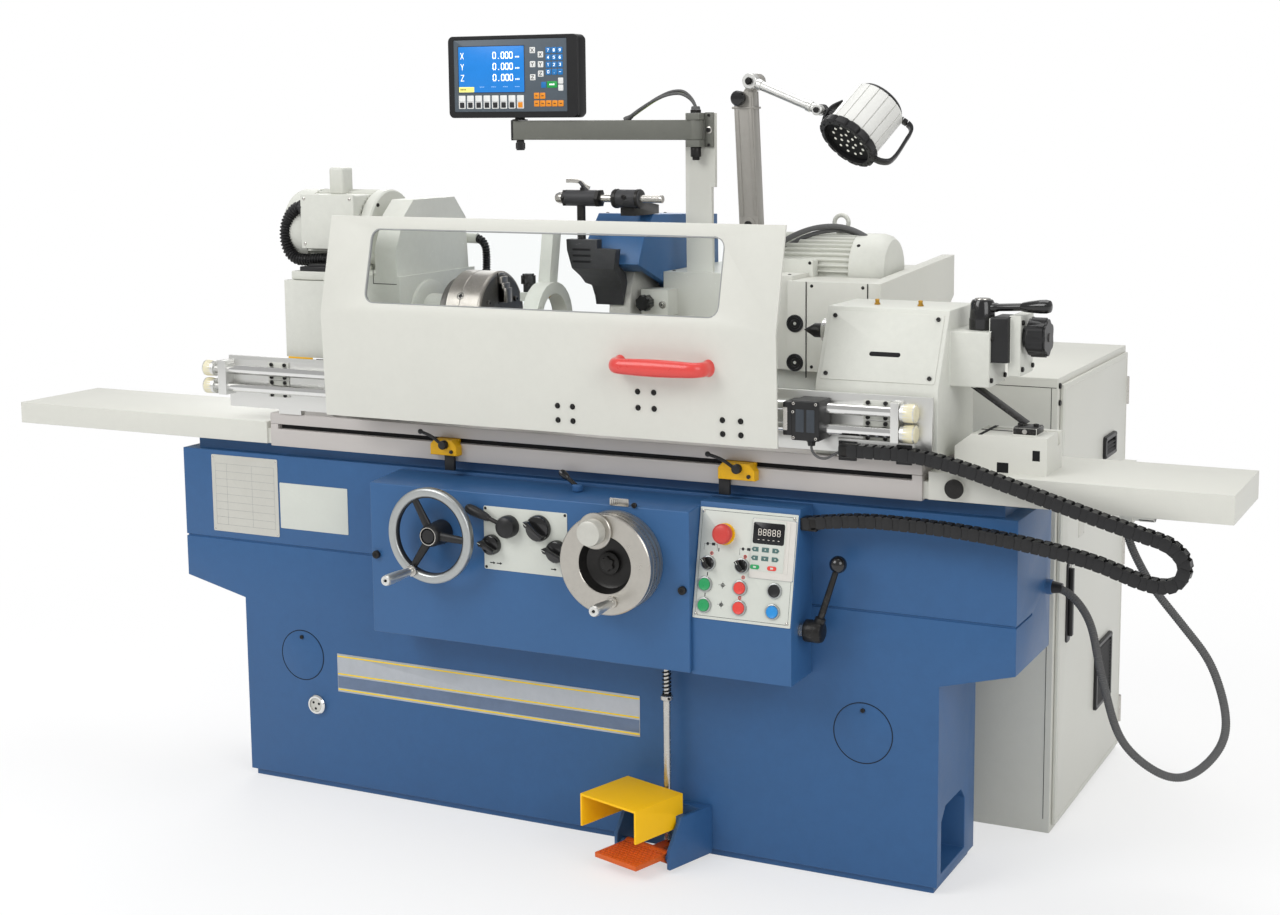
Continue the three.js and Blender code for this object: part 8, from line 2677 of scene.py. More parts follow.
@dataclass
class Wheelhead:
    """The wheelhead and what stands on its housing, but for the display and the lamp."""

    wheel: tuple = (0.27, WORK_HEIGHT, 0.172)
    motor: tuple = (0.37, 1.165, 0.078)
    tap: tuple = (0.047, 1.325)

    def build(self) -> None:
        """Builds the wheelhead."""
        rounded("cross_slide", WHITE_CAST, 0.0025, "cross_slide")
        rounded("wheelhead_housing", WHITE, 0.002, "wheelhead", (BLACK, GREY_PAINT), self.housing_slot)
        rounded("wheel_hood", BLUE_SMOOTH, 0.0025, "wheelhead")
        self.housing_details()
        self.hood_details()
        self.grinding_wheel()
        self.drive_motor()
        self.motor_cables()
        self.coolant()
        self.dresser()

    @staticmethod
    def housing_slot(place: Array) -> int:
        """Black for the dresser's knob, grey for the lamp's stub, paint elsewhere.

        Args:
            place: the face's middle.

        Returns:
            The slot.
        """
        if place[0] < 0.0925 and place[1] < 0.1278:
            return 1
        near = math.hypot(place[0] - 0.28, place[1] - 0.22) < 0.021
        ear = place[1] < 0.1899 and place[2] > 1.42
        return 2 if ear or (near and place[2] > 1.1645) else 0

    def housing_details(self) -> None:
        """Seams as thin near-black strips of painted shade, two round recesses drawn black as painted
        shade, hinge ears' bolts, the covers' screws, and the display's hinge pin.
        """
        s = Shape()
        # seams: thin near-black strips, painted shade in the gaps
        for x, z0, z1 in ((0.4285, 0.955, 1.1545), (0.5632, 0.9705, 1.1545)):
            s.box((x - 0.0009, 0.1585, z0), (x + 0.0009, 0.1612, z1), 0.0003, 1, 1)
        s.box((0.2385, 0.174, 1.0805), (0.24, 0.1755, 1.163), 0.0003, 1, 1)
        # two round recesses with a pale boss, drawn black: painted shade in their hollows
        for z in (1.067, 0.9855):
            place = (0.4035, 0.16, z)
            rim = [
                (0.0, 0.0185), (0.0022, 0.0182), (0.003, 0.017), (0.003, 0.0135), (0.0008, 0.0125),
                (0.0008, 0.0085)
            ]
            s.turned(
                place, TOWARDS,
                [*rim, (0.002, 0.008), (0.002, 0.004), (0.0006, 0.0035), (0.0006, 0.0005)], 48, 2
            )
            s.turned(vec(place) + (0, -0.0008, 0), TOWARDS, [(0.0, 0.0033), (0.0012, 0.0024)], 24, 0)
        for x in (0.4405, 0.5525):
            for z in (0.978, 1.146):
                flat_screw(s, (x, 0.16, z), TOWARDS, 0.0036, 3)
        for x in (0.105, 0.375):
            for y in (0.2, 0.6):
                flat_screw(s, (x, y, 1.164), UP, 0.0042, 3)
        s.box((0.1885, 0.1835, 1.4285), (0.2075, 0.1899, 1.5015), 0.0012, 2, 4)
        s.turned(
            (0.198, 0.1836, 1.4645), TOWARDS, [(0.0, 0.0078), (0.0012, 0.0078), (0.0018, 0.0066)], 40, 5
        )
        cap_screw(s, (0.198, 0.182, 1.4645), TOWARDS, 0.005, 3, 1)
        for z in (1.4335, 1.4955):
            cap_screw(s, (0.198, 0.1836, z), TOWARDS, 0.003, 3, 1)
        s.turned((0.172, 0.174, 1.5004), UP, [(0.0, 0.0125), (0.006, 0.0125), (0.0072, 0.0112)], 6, 3)
        s.turned((0.172, 0.174, 1.4296), DOWN, barrel(0.0, 0.021, 0.0112, 0.0012), 40, 3)
        s.turned((0.172, 0.174, 1.4087), DOWN, [(0.0, 0.0085), (0.006, 0.0085), (0.0068, 0.0075)], 6, 3)
        finishes = (WHITE, RECESS_SHADE_AND_MARKS, BLACK, BLACK_OXIDE, GREY_PAINT, TURNED_STEEL)
        s.made("housing_fittings", "wheelhead", *finishes)

    def hood_details(self) -> None:
        """Cover plate on the hood's left side with screws, the flange ring on its front, and four screws on
        the hood's top.
        """
        y, z, _ = self.wheel
        s = Shape()
        plate = [
            (0.436, 0.99), (0.436, 1.258), (0.158, 1.27), (0.112, 1.236), (0.095, 1.205), (0.205, 1.134),
            (0.33, 0.99)
        ]
        s.slab([(-a, b) for a, b in plate], (-0.0402, 0, 0), TOWARDS, UP, 0.0022, 0.0008)
        for a, b in (
            (0.425, 1.001), (0.425, 1.246), (0.3, 1.253), (0.166, 1.259), (0.11, 1.206), (0.335, 1.001),
            (0.232, 1.118)
        ):
            flat_screw(s, (-0.0424, a, b), LEFT, 0.0042, 1)
        s.turned((-0.0424, y, z + 0.055), LEFT, [(0.0, 0.031), (0.0018, 0.0305), (0.0022, 0.029)], 64, 0)
        for x in (-0.028, 0.078):
            flat_screw(s, (x, 0.152, 1.2889), (0, 0.05, 1), 0.004, 1)
            flat_screw(s, (x, 0.43, 1.2752), (0, 0.05, 1), 0.004, 1)
        s.made("hood_cover", "wheelhead", BLUE_SMOOTH, BLACK_OXIDE)

    def grinding_wheel(self) -> None:
        """The stone with dressed edges and a paper ring, and its flange with balance slots and a nut."""
        y, z, r = self.wheel
        s = Shape()
        stone = [
            (0.0, 0.0615), (0.0, r - 0.0015), (0.0015, r), (0.0485, r), (0.05, r - 0.0015), (0.05, 0.0615)
        ]
        s.turned((0.0, y, z), RIGHT, stone, 192, 0)
        s.turned((-0.0006, y, z), RIGHT, [(0.0, 0.0615), (0.0, 0.092), (0.0009, 0.092)], 96, 2)
        flange = [
            (0.0, 0.022), (0.0, 0.05), (0.0025, 0.0535), (0.0095, 0.06), (0.0618, 0.06), (0.0618, 0.03),
            (0.1036, 0.03)
        ]
        s.turned((-0.0118, y, z), RIGHT, flange, 96, 1)
        s.turned((-0.0118, y, z), RIGHT, [(-0.0001, 0.0185), (0.0035, 0.0185)], 6, 1)
        for k in range(6):
            a = k * math.pi / 3
            cap_screw(s, (-0.011, y + 0.041 * math.cos(a), z + 0.041 * math.sin(a)), LEFT, 0.0048, 3, 4)
        finishes = (STONE, TURNED_STEEL, PRESS_BLUE, BLACK_OXIDE, RECESS_SHADE_AND_MARKS)
        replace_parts(s.made("grinding_stone", "grinding_wheel", *finishes), "grinding_wheel")

    def drive_motor(self) -> None:
        """The wheel motor: finned frame, end bell, slotted fan cowl, feet, terminal box and lifting eye."""
        y, z, r = self.motor
        s = Shape()
        finned_barrel(s, (0.262, 0.47), self.motor[:2], r - 0.0085, 0.008, 38)
        bell = [(0.0, 0.035), (0.004, 0.05), (0.012, 0.07), (0.02, r - 0.0015), (0.0305, r)]
        s.turned((0.2325, y, z), RIGHT, [(0.0, 0.001), *bell], 96)
        cowl = [(0.0, r), (0.052, r), (0.066, r - 0.004), (0.0755, 0.066), (0.0815, 0.046), (0.0815, 0.001)]
        s.turned((0.47, y, z), RIGHT, cowl, 96)
        for k in range(20):
            swing = Swing((0.0, y, z), RIGHT, 2 * math.pi * k / 20)
            s.box((0.545, y + 0.02, z - 0.0013), (0.5513, y + 0.046, z + 0.0013), 0.0005, 1, 1, swing)
        for k in range(4):
            a = math.pi / 4 + k * math.pi / 2
            way = (0, math.cos(a), math.sin(a))
            flat_screw(s, vec((0.485, y, z)) + (r - 0.0003) * vec(way), way, 0.0042, 2)
            cap_screw(s, (0.2502, y + 0.071 * way[1], z + 0.071 * way[2]), LEFT, 0.0042, 2, 1)
        s.box((0.285, y - 0.0495, 1.0804), (0.499, y + 0.0495, 1.0955), 0.002, 2)
        for x in (0.3, 0.484):
            for side in (-1, 1):
                s.box(
                    (x - 0.012, y + side * 0.036 - 0.0125, 1.095),
                    (x + 0.012, y + side * 0.036 + 0.0125, 1.125), 0.002, 2
                )
        s.box((0.285, y - 0.1035, 1.105), (0.4, y - 0.07, 1.19), 0.004, 3)
        s.box((0.2835, y - 0.1065, 1.1035), (0.4015, y - 0.1025, 1.1915), 0.0015, 2)
        for x in (0.2905, 0.3945):
            for up in (1.1105, 1.1845):
                flat_screw(s, (x, y - 0.1065, up), TOWARDS, 0.0036, 2)
        x = 0.425
        s.turned(
            (x, y, z + r - 0.0035), UP,
            [(0.0, 0.0115), (0.0065, 0.0115), (0.008, 0.0085), (0.013, 0.007)], 32, 3
        )
        a = np.linspace(0, 2 * np.pi, 49)
        ring = np.stack([x + 0.016 * np.cos(a), np.full(49, y), z + r + 0.0218 + 0.016 * np.sin(a)], -1)
        s.bar(ring, 0.0048, 16, 3)
        finishes = (WHITE_CAST, RECESS_SHADE_AND_MARKS, BLACK_OXIDE, WHITE_CAST)
        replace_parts(s.made("wheel_drive_motor", "wheelhead", *finishes), "wheel_motor")

    def motor_cables(self) -> None:
        """Black cables that arch over the motor from a gland in the bay's left wall to its right end."""
        routes = (
            (
                (0.2235, 0.3, 1.148), (0.248, 0.298, 1.156), (0.3, 0.306, 1.215), (0.37, 0.33, 1.252),
                (0.44, 0.345, 1.256), (0.5, 0.352, 1.228), (0.535, 0.352, 1.18),
                (0.5485, 0.352, 1.14), (0.552, 0.35, 1.108), (0.552, 0.349, 1.085)
            ),
            (
                (0.2235, 0.318, 1.136), (0.248, 0.317, 1.144), (0.305, 0.322, 1.204),
                (0.375, 0.34, 1.242), (0.45, 0.358, 1.2465), (0.505, 0.372, 1.212),
                (0.536, 0.376, 1.164), (0.55, 0.378, 1.135), (0.554, 0.38, 1.105), (0.554, 0.38, 1.085)
            ),
        )
        g = Shape()
        for i, (route, radius) in enumerate(zip(routes, (0.0058, 0.0048))):
            path = hung_cable(f"motor_cable_{i + 1}", "wheelhead", route, radius, RUBBER, (220, 120))
            way = unit(path[3] - path[0])
            g.turned(
                vec((0.2222, *route[0][1:])), RIGHT,
                [(0.0, radius + 0.006), (0.005, radius + 0.006), (0.006, radius + 0.004)], 6, 0
            )
            g.turned(
                path[0] + 0.003 * way, way,
                [(0.0, radius + 0.0035), (0.006, radius + 0.003), (0.015, radius + 0.0004)], 24, 0
            )
        g.made("motor_cable_glands", "wheelhead", BLACK)

    def coolant(self) -> None:
        """The nozzle block, its pipe, and the tap with a steel rod, nuts, clamp and bent lever."""
        rounded(
            "coolant_nozzle", NOZZLE_GREY, 0.0012, "wheelhead", (TURNED_STEEL, BLACK_OXIDE),
            self.coolant_slot
        )
        y, z = self.tap
        s = Shape()
        for x, r, wide in ((-0.0745, 0.019, 0.006), (0.0035, 0.0195, 0.009)):
            s.turned(
                (x, y, z), RIGHT, [(0.0, 0.9 * r), (0.001, r), (wide, r), (wide + 0.001, 0.9 * r)], 6, 1
            )
        s.turned(
            (-0.0955, y, z), RIGHT,
            [(0.0, 0.0055), (0.0035, 0.01), (0.0105, 0.0125), (0.018, 0.0128), (0.0205, 0.011)], 48, 0
        )
        for x in (0.0465, 0.0975):
            s.turned(
                (x, y, z), RIGHT, [(0.0, 0.0192), (0.0008, 0.0203), (0.0065, 0.0203), (0.0073, 0.0192)],
                48, 1
            )
        cap_screw(s, (0.075, y - 0.0185, z + 0.004), TOWARDS, 0.0048, 1, 2)
        s.turned((0.1515, y, z), RIGHT, [(0.0, 0.0082), (0.004, 0.0082), (0.0055, 0.0066)], 32, 0)
        s.turned(
            (-0.03, y, z + 0.0155), UP,
            [(0.0, 0.0065), (0.0065, 0.0065), (0.0065, 0.0045), (0.0105, 0.0045)], 24, 1
        )
        lever = smooth_path(
            [
                (-0.014, y, z + 0.021), (-0.0275, y, z + 0.027), (-0.0365, y, z + 0.0335),
                (-0.048, y, z + 0.0358), (-0.07, y, z + 0.0362)
            ],
            30
        )
        s.carried(lever, rectangle(-0.0045, 0.0045, -0.0008, 0.0008, 0.0004, 2), 0, AWAY)
        # three near-black strips: painted shade in slots of the nozzle block
        for k in range(3):
            low = 1.19 + 0.0125 * k
            s.box((-0.05, 0.033, low), (-0.008, 0.0345, low + 0.0045), 0.0006, 1, 2)
        s.made("coolant_tap_fittings", "wheelhead", TURNED_STEEL, BLACK_OXIDE, RECESS_SHADE_AND_MARKS)

    def coolant_slot(self, place: Array) -> int:
        """Bright metal for the rod and nose beside the tap, dark steel for the pipe, plastic elsewhere.

        Args:
            place: the face's middle.

        Returns:
            The slot.
        """
        y, z = self.tap
        reach = math.hypot(place[1] - y, place[2] - z)
        if reach < 0.0125 and (place[0] < -0.0721 or 0.0092 < place[0] < 0.0438 or place[0] > 0.1072):
            return 1
        return 2 if 1.2381 < place[2] < 1.307 else 0

    def dresser(self) -> None:
        """A star knob and a lock screw on the dresser's block, and its diamond holder."""
        s = Shape()
        mid = 1.1025
        for low, high, share in ((-0.0005, 0.003, 0.9), (0.003, 0.0185, 1.0), (0.0185, 0.0225, 0.9)):
            outline = fluted(0.0178 * share, 0.0035 * share, 8, 64)
            s.carried([(0.077, 0.1275 - low, mid), (0.077, 0.1275 - high - 0.004, mid)], outline, 0)
        s.turned(
            (0.112, 0.128, mid - 0.004), TOWARDS,
            [(0.0, 0.0082), (0.0016, 0.0078), (0.0018, 0.006), (0.0006, 0.0055)], 32, 1
        )
        cap_screw(s, (0.112, 0.1275, mid - 0.004), TOWARDS, 0.0045, 1, 2)
        s.turned(
            (0.0622, 0.146, mid - 0.008), LEFT, [(0.0, 0.0062), (0.01, 0.0062), (0.0165, 0.0018)],
            24, 1
        )
        s.made("dresser_fittings", "wheelhead", GLOSS_BLACK, TURNED_STEEL, RECESS_SHADE_AND_MARKS)


# Display


@dataclass
class Display:
    """The display console on its hinged arm."""

    left: float = -0.424
    low: float = 1.492
    wide: float = 0.327
    high: float = 0.178
    front: float = 0.152
    back: float = 0.196
    face: float = -0.0016
    pivot: tuple = (-0.255, 0.174)

    def build(self) -> None:
        """Builds the console and its arm."""
        self.arm()
        self.case()
        self.screen()
        self.keys()

    def spot(self, across: float, up: float, out: float = 0.0) -> Array:
        """A point of the console's face from its lowest left corner."""
        return vec((self.left + across, self.front - out, self.low + up))

    def arm(self) -> None:
        """The square tube with an end cap and its hinge block, and a star knob under the console."""
        rounded("display_arm", GREY_PAINT, 0.0015, "display_arm")
        s = Shape()
        s.box((-0.2712, 0.1608, 1.4428), (-0.2665, 0.1872, 1.4872), 0.001, 2)
        s.made("arm_fittings", "display_arm", BLACK, BLACK_OXIDE, RECESS_SHADE_AND_MARKS)
        self.arm_cables()
        k = Shape()
        x, y = self.pivot
        k.turned((x, y, 1.4438), DOWN, [(0.0, 0.0085), (0.004, 0.0085), (0.0045, 0.0055)], 32, 1)
        for low, high, share in ((0.004, 0.0065, 0.85), (0.0065, 0.0195, 1.0), (0.0195, 0.0225, 0.85)):
            outline = fluted(0.0105 * share, 0.0026 * share, 6, 48)
            k.carried([(x, y, 1.4438 - low), (x, y, 1.4438 - high)], outline, 0)
        k.turned((x, y, 1.4863), UP, [(0.0, 0.017), (0.0022, 0.017), (0.003, 0.0115)], 48, 1)
        k.made("console_pivot", "display_console", GLOSS_BLACK, BLACK_OXIDE)

    def arm_cables(self) -> None:
        """Three cables that leave the arm's top, arch over the hinge and enter a grommet on its pivot."""
        g = Shape()
        cables = (
            ("display_cable_1", 0.1675, 0.0, 0.003, RUBBER),
            ("display_cable_2", 0.174, 0.006, 0.003, RUBBER),
            ("display_cable_3", 0.1805, 0.0025, 0.0024, CABLE_GREEN),
        )
        for name, y, lift, radius, finish in cables:
            route = [
                (0.01, y, 1.488), (0.02, y, 1.4938), (0.044, y, 1.509), (0.08, y, 1.528 + lift / 2),
                (0.118, y, 1.5395 + lift), (0.144, y, 1.539 + lift),
                (0.163, 0.35 * y + 0.1131, 1.527 + lift / 2), (0.1715, 0.3 * y + 0.1218, 1.514),
                (0.172, 0.3 * y + 0.1218, 1.5078)
            ]
            path = hung_cable(name, "display_arm", route, radius, finish, (160, 100))
            way = unit(path[4] - path[0])
            sleeve = [(0.0, radius + 0.0026), (0.005, radius + 0.0024), (0.014, radius + 0.0004)]
            g.turned(vec(route[0]) - 0.0025 * way, way, sleeve, 24)
        g.turned((0.172, 0.174, 1.5078), UP, [(0.0, 0.0098), (0.005, 0.0092), (0.0065, 0.0078)], 40)
        g.made("cable_grommets", "display_arm", RUBBER)

    def case(self) -> None:
        """The console's shell: a rounded back, a raised rim round the face, and louvres behind, whose slits
        are near-black painted shade.
        """
        s = Shape()
        w, h = self.wide, self.high
        outline = rectangle(0.0, w, 0.0, h, 0.012, 6)
        s.slab(inset(outline, 0.004), self.spot(0, 0, self.front - self.back), RIGHT, UP, 0.012, 0.001)
        s.slab(outline, self.spot(0, 0, -0.034), RIGHT, UP, 0.029, 0.002)
        inner = rectangle(0.0145, w - 0.0275, 0.0135, h - 0.0085, 0.002, 6)
        s.frame(outline, inner, self.spot(0, 0), RIGHT, UP, -0.0062, 0.0, 0)
        s.slab(
            rectangle(0.014, w - 0.027, 0.013, h - 0.008, 0.001), self.spot(0, 0, -0.0054), RIGHT,
            UP, 0.0038, 0.0004, 1
        )
        # louvre slits: near-black strips, painted shade in the openings
        for k in range(10):
            x = -0.36 + 0.02 * k
            s.box((x, 0.1948, 1.545), (x + 0.006, 0.1968, 1.625), 0.0006, 1, 2)
        s.turned((*self.pivot, 1.4865), UP, [(0.0, 0.011), (0.0075, 0.011)], 48, 0)
        for x in (0.012, w - 0.012):
            for z in (0.012, h - 0.012):
                cap_screw(s, (self.left + x, 0.1962, self.low + z), AWAY, 0.0034, 2, 2)
        finishes = (CONSOLE_BLACK, FACE_GREY, RECESS_SHADE_AND_MARKS)
        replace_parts(s.made("console_shell", "display_console", *finishes), "display_console")

    def screen(self) -> None:
        """The lit screen: three axis rows with their readings, a line of small marks and a yellow tab."""
        s = Shape()
        s.frame(
            rectangle(0.025, 0.195, 0.0545, 0.1565, 0.001),
            rectangle(0.0263, 0.1937, 0.0558, 0.1552, 0.0006), self.spot(0, 0), RIGHT, UP, self.face,
            self.face + 0.0006, 4
        )
        self.mark(s, (0.0263, 0.1937, 0.0558, 0.1552), self.spot(0, 0, self.face), 0)
        lit = self.face + 0.0002
        for row, letter in enumerate("XYZ"):
            z = 0.129 - 0.024 * row
            s.strokes(letter, self.spot(0.0325, z, lit), RIGHT, UP, (0.007, 0.0125), 0.0, 0.0014, 1)
            s.strokes("0.000", self.spot(0.115, z, lit), RIGHT, UP, (0.0072, 0.013), 0.0106, 0.0019, 1)
            for i in range(3):
                x0, x1 = 0.1715 + 0.0038 * i, 0.174 + 0.0038 * i
                self.mark(s, (x0, x1, z + 0.001, z + 0.0042), self.spot(0, 0, lit), 1)
        for i in range(4):
            for j in range(3):
                x = 0.08 + 0.03 * i + 0.0042 * j
                self.mark(s, (x, x + 0.003, 0.0668, 0.068), self.spot(0, 0, lit), 2)
        self.mark(s, (0.0265, 0.0655, 0.0562, 0.0676, 0.0005), self.spot(0, 0, lit), 3)
        for j in range(4):
            x0, x1 = 0.03 + 0.004 * j, 0.033 + 0.004 * j
            self.mark(s, (x0, x1, 0.0605, 0.0632), self.spot(0, 0, lit + 0.0002), 4)
        finishes = (SCREEN_BLUE, SCREEN_WHITE, SCREEN_PALE, SCREEN_YELLOW, PANEL_INK)
        s.made("console_screen", "display_console", *finishes)

    @staticmethod
    def mark(shape: Shape, sides: tuple, spot: Array, slot: int) -> None:
        """A flat mark on the console's face.

        Args:
            shape: the shape that it is added to.
            sides: what rectangle() takes for its outline.
            spot: where the outline's (0, 0) is.
            slot: the material slot.
        """
        shape.slab(rectangle(*sides), spot, RIGHT, UP, 0.0002, 0.00005, slot)

    def keys(self) -> None:
        """The keys: eight below the screen, axis keys, a number block, a green one and orange ones."""
        s = Shape()
        tall_key = 0.0009
        top = self.spot(0, 0, self.face + tall_key)

        def key(x: float, z: float, wide: float, tall: float, slot: int) -> Array:
            """Adds a key and gives the spot of its lowest left corner on its top."""
            s.slab(
                rectangle(x, x + wide, z, z + tall, 0.0015, 3), self.spot(0, 0, self.face), RIGHT, UP,
                tall_key, 0.0004, slot
            )
            return self.spot(x, z, self.face + tall_key)

        for i in range(8):
            x = 0.0255 + 0.0213 * i
            key(x, 0.02, 0.0172, 0.029, 0)
            s.slab(
                rectangle(x + 0.0028, x + 0.0144, 0.022, 0.034, 0.001, 2), top, RIGHT, UP,
                0.0003, 0.0001, 4 if i == 7 else 5
            )
            self.mark(s, (x + 0.001, x + 0.0162, 0.0357, 0.0362), top, 6)
        for i, letter in enumerate("XYZ"):
            for x, z in ((0.2085, (0.1385, 0.1085, 0.0805)[i]), (0.2285, (0.129, 0.108, 0.088)[i])):
                spot = key(x, z, 0.0135, 0.013, 0)
                s.strokes(letter, spot + (0.0035, 0, 0.003), RIGHT, UP, (0.006, 0.007), 0.0, 0.0014, 5)
        for row, line in enumerate(("789", "456", "123", "0.-")):
            for column, letter in enumerate(line):
                spot = key(0.248 + 0.0146 * column, 0.1378 - 0.0154 * row, 0.0128, 0.0128, 1)
                s.strokes(letter, spot + (0.0042, 0, 0.0038), RIGHT, UP, (0.004, 0.0054), 0.0, 0.0009, 7)
        key(0.236, 0.064, 0.012, 0.0128, 1)
        spot = key(0.2502, 0.064, 0.0255, 0.014, 2)
        for j in range(3):
            self.mark(s, (0.0065 + 0.0045 * j, 0.0098 + 0.0045 * j, 0.0055, 0.0088), spot, 7)
        key(0.2782, 0.0725, 0.0125, 0.013, 0)
        key(0.2782, 0.0575, 0.0125, 0.013, 0)
        for i, z in [(i, 0.0405) for i in range(2)] + [(i, 0.024) for i in range(5)]:
            spot = key(0.2175 + 0.015 * i, z, 0.0132, 0.0132, 3)
            self.mark(s, (0.0038, 0.0094, 0.0056, 0.0074), spot, 5)
        finishes = (
            KEY_WHITE, KEY_BLUE, KEY_GREEN, KEY_ORANGE, KEY_ORANGE, PANEL_INK, FACE_GREY, SCREEN_WHITE
        )
        s.made("console_keys", "display_console", *finishes)


# Lamp


@dataclass
class Lamp:
    """The machine lamp: grooved post, elbow with a knob, thin arm, and a finned head with lights."""

    front: tuple = (0.506, 0.181, 1.436)
    back: tuple = (0.554, 0.259, 1.522)
    elbow: tuple = (0.29, 0.2045, 1.565)
    end: tuple = (0.44, 0.2045, 1.505)

    def build(self) -> None:
        """Builds the lamp."""
        self.post()
        self.arm()
        self.head()

    def post(self) -> None:
        """A square post with grooves in its sides, a knuckle bolt at its foot and a clamp at its head."""
        rounded("lamp_post", POST_GREY, 0.0018, "lamp_post")
        foot, head = vec((0.28, 0.22, 1.285)), vec((0.267, 0.22, 1.535))
        up = unit(head - foot)
        side = np.cross(AWAY, up)
        s = Shape()
        tall = float(np.linalg.norm(head - foot))
        for base, across in ((foot + (0, -0.015, 0), side), (foot + (0, 0.015, 0), -side)):
            for off in (-0.015, 0.015):
                s.slab(
                    rectangle(off - 0.0035, off + 0.0035, 0.0, tall), base, across, up, 0.0011, 0.0004, 3
                )
        for low in (1.508, 1.252):
            s.box((0.2415, 0.2035, low), (0.2945, 0.2365, low + 0.0045), 0.0015, 2, 3)
        x, z = 0.2595, 1.53
        s.turned((x, 0.2046, z), TOWARDS, [(0.0, 0.0075), (0.003, 0.0075)], 32, 2)
        s.turned(
            (x, 0.2018, z), TOWARDS,
            [(0.0, 0.0145), (0.0015, 0.016), (0.009, 0.016), (0.012, 0.0135), (0.013, 0.006)], 48, 4
        )
        s.turned((0.28, 0.2047, 1.267), TOWARDS, [(0.0, 0.015), (0.002, 0.015), (0.0024, 0.0105)], 48, 1)
        cap_screw(s, (0.28, 0.2023, 1.267), TOWARDS, 0.0075, 2, 0)
        s.turned((0.28, 0.2353, 1.267), AWAY, [(0.0, 0.0105), (0.006, 0.0105), (0.007, 0.0092)], 6, 2)
        s.turned(
            (0.29, 0.2352, 1.565), AWAY,
            [(0.0, 0.0115), (0.001, 0.0115), (0.001, 0.008), (0.007, 0.008)], 6, 2
        )
        s.made("lamp_post_fittings", "lamp_post", RECESS_SHADE_AND_MARKS, POST_GREY, BLACK_OXIDE, POST_GREY, GLOSS_BLACK)

    def arm(self) -> None:
        """A thin tube between two turned knuckles, with a black clamp knob at the elbow."""
        y0 = self.elbow[1] - 0.0202
        a, b = vec(self.elbow) + (0, -0.01, 0), vec(self.end) + (0, -0.01, 0)
        s = Shape()
        s.bar(np.array([a, b]), 0.0098, 32, 0)
        for (x, _, z), r in ((self.elbow, 0.016), (self.end, 0.011)):
            hub = [(0.0, r - 0.001), (0.001, r), (0.019, r), (0.02, r - 0.001)]
            s.turned((x, y0, z), AWAY, hub, 48, 0)
        way = unit(b - a)
        for start in (a + 0.0155 * way, b - 0.026 * way):
            s.turned(start, way, [(0.0, 0.0106), (0.001, 0.0116), (0.01, 0.0116), (0.011, 0.0106)], 40, 0)
        x, _, z = self.elbow
        s.turned((x, y0, z), TOWARDS, [(0.0, 0.008), (0.0035, 0.008)], 32, 1)
        cap_screw(s, (x, y0 - 0.0034, z), TOWARDS, 0.0062, 2, 1)
        x, _, z = self.end
        cap_screw(s, (x, y0, z), TOWARDS, 0.006, 2, 1)
        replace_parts(s.made("lamp_tube", "lamp_arm", ALUMINIUM, GLOSS_BLACK, BLACK_OXIDE), "lamp_arm")

    def head(self) -> None:
        """A grooved tube with a black lobed ring, a dark front with lights, a rear cap and a handle."""
        front, back = vec(self.front), vec(self.back)
        way = unit(back - front)
        length = float(np.linalg.norm(back - front))
        first, second = side_axes(way)
        s = Shape()
        s.lobed(
            front, way,
            (
                (0.0, 0.064), (0.0025, 0.0672), (0.016, 0.0672), (0.0185, 0.0645), (0.0185, 0.0545),
                (0.0, 0.0545), (0.0, 0.064)
            ),
            14, 0.0045, 1
        )
        s.turned(front + 0.0085 * way, way, [(0.0, 0.055), (0.004, 0.055)], 96, 2)
        body = (
            (0.0185, 0.0585), (0.02, 0.06), (length - 0.012, 0.06), (length - 0.0095, 0.058),
            (length - 0.0095, 0.048)
        )
        s.grooved(front, way, body, 16, 0.003)
        cap = [
            (length - 0.0095, 0.054), (length - 0.004, 0.0535), (length, 0.05), (length, 0.045),
            (length - 0.003, 0.043), (length - 0.003, 0.001)
        ]
        s.turned(front, way, cap, 96, 1)
        for k in range(14):
            a = 2 * math.pi * (k + 0.5) / 14
            place = front - 0.0002 * way + 0.0588 * (math.cos(a) * first + math.sin(a) * second)
            flat_screw(s, place, -way, 0.002, 2)
        lens = Shape()
        for many, reach in ((1, 0.0), (7, 0.0185), (12, 0.0365)):
            for k in range(many):
                a = 2 * math.pi * k / many + 0.2
                place = front + 0.0085 * way + reach * (math.cos(a) * first + math.sin(a) * second)
                lens.turned(
                    place, -way, [(0.0, 0.0032), (0.0008, 0.003), (0.0014, 0.0022), (0.0018, 0.001)], 20,
                    0
                )
        mid = front + 0.35 * (back - front)
        fork = vec(self.end) + (0, 0.0105, 0)
        s.bar(np.array([fork, fork + 0.5 * (mid - fork)]), 0.008, 24, 1)
        s.turned(
            (self.end[0], 0.205, self.end[2]), AWAY,
            [(0.0, 0.0105), (0.001, 0.0115), (0.019, 0.0115), (0.02, 0.01)], 48, 1
        )
        reach = unit(fork - mid)
        strap = smooth_path(
            [
                front + 0.01 * way + 0.066 * reach, front + 0.03 * way + 0.074 * reach,
                front + 0.056 * way + 0.0755 * reach, front + 0.08 * way + 0.064 * reach
            ],
            30
        )
        s.carried(strap, rectangle(-0.011, 0.011, -0.0022, 0.0022, 0.001, 2), 1, reach)
        side = vec((1.0, 0.0, -1.0))
        side = unit(side - (side @ way) * way)
        grip = [
            front + 0.01 * way + 0.062 * side, front + 0.014 * way + 0.078 * side,
            front + 0.024 * way + 0.091 * side, front + 0.04 * way + 0.0945 * side,
            front + 0.085 * way + 0.0905 * side, front + 0.108 * way + 0.087 * side,
            front + 0.1165 * way + 0.079 * side, front + 0.1175 * way + 0.056 * side
        ]
        s.carried(smooth_path(grip, 70), rectangle(-0.01, 0.01, -0.0034, 0.0034, 0.0016, 2), 1, side)
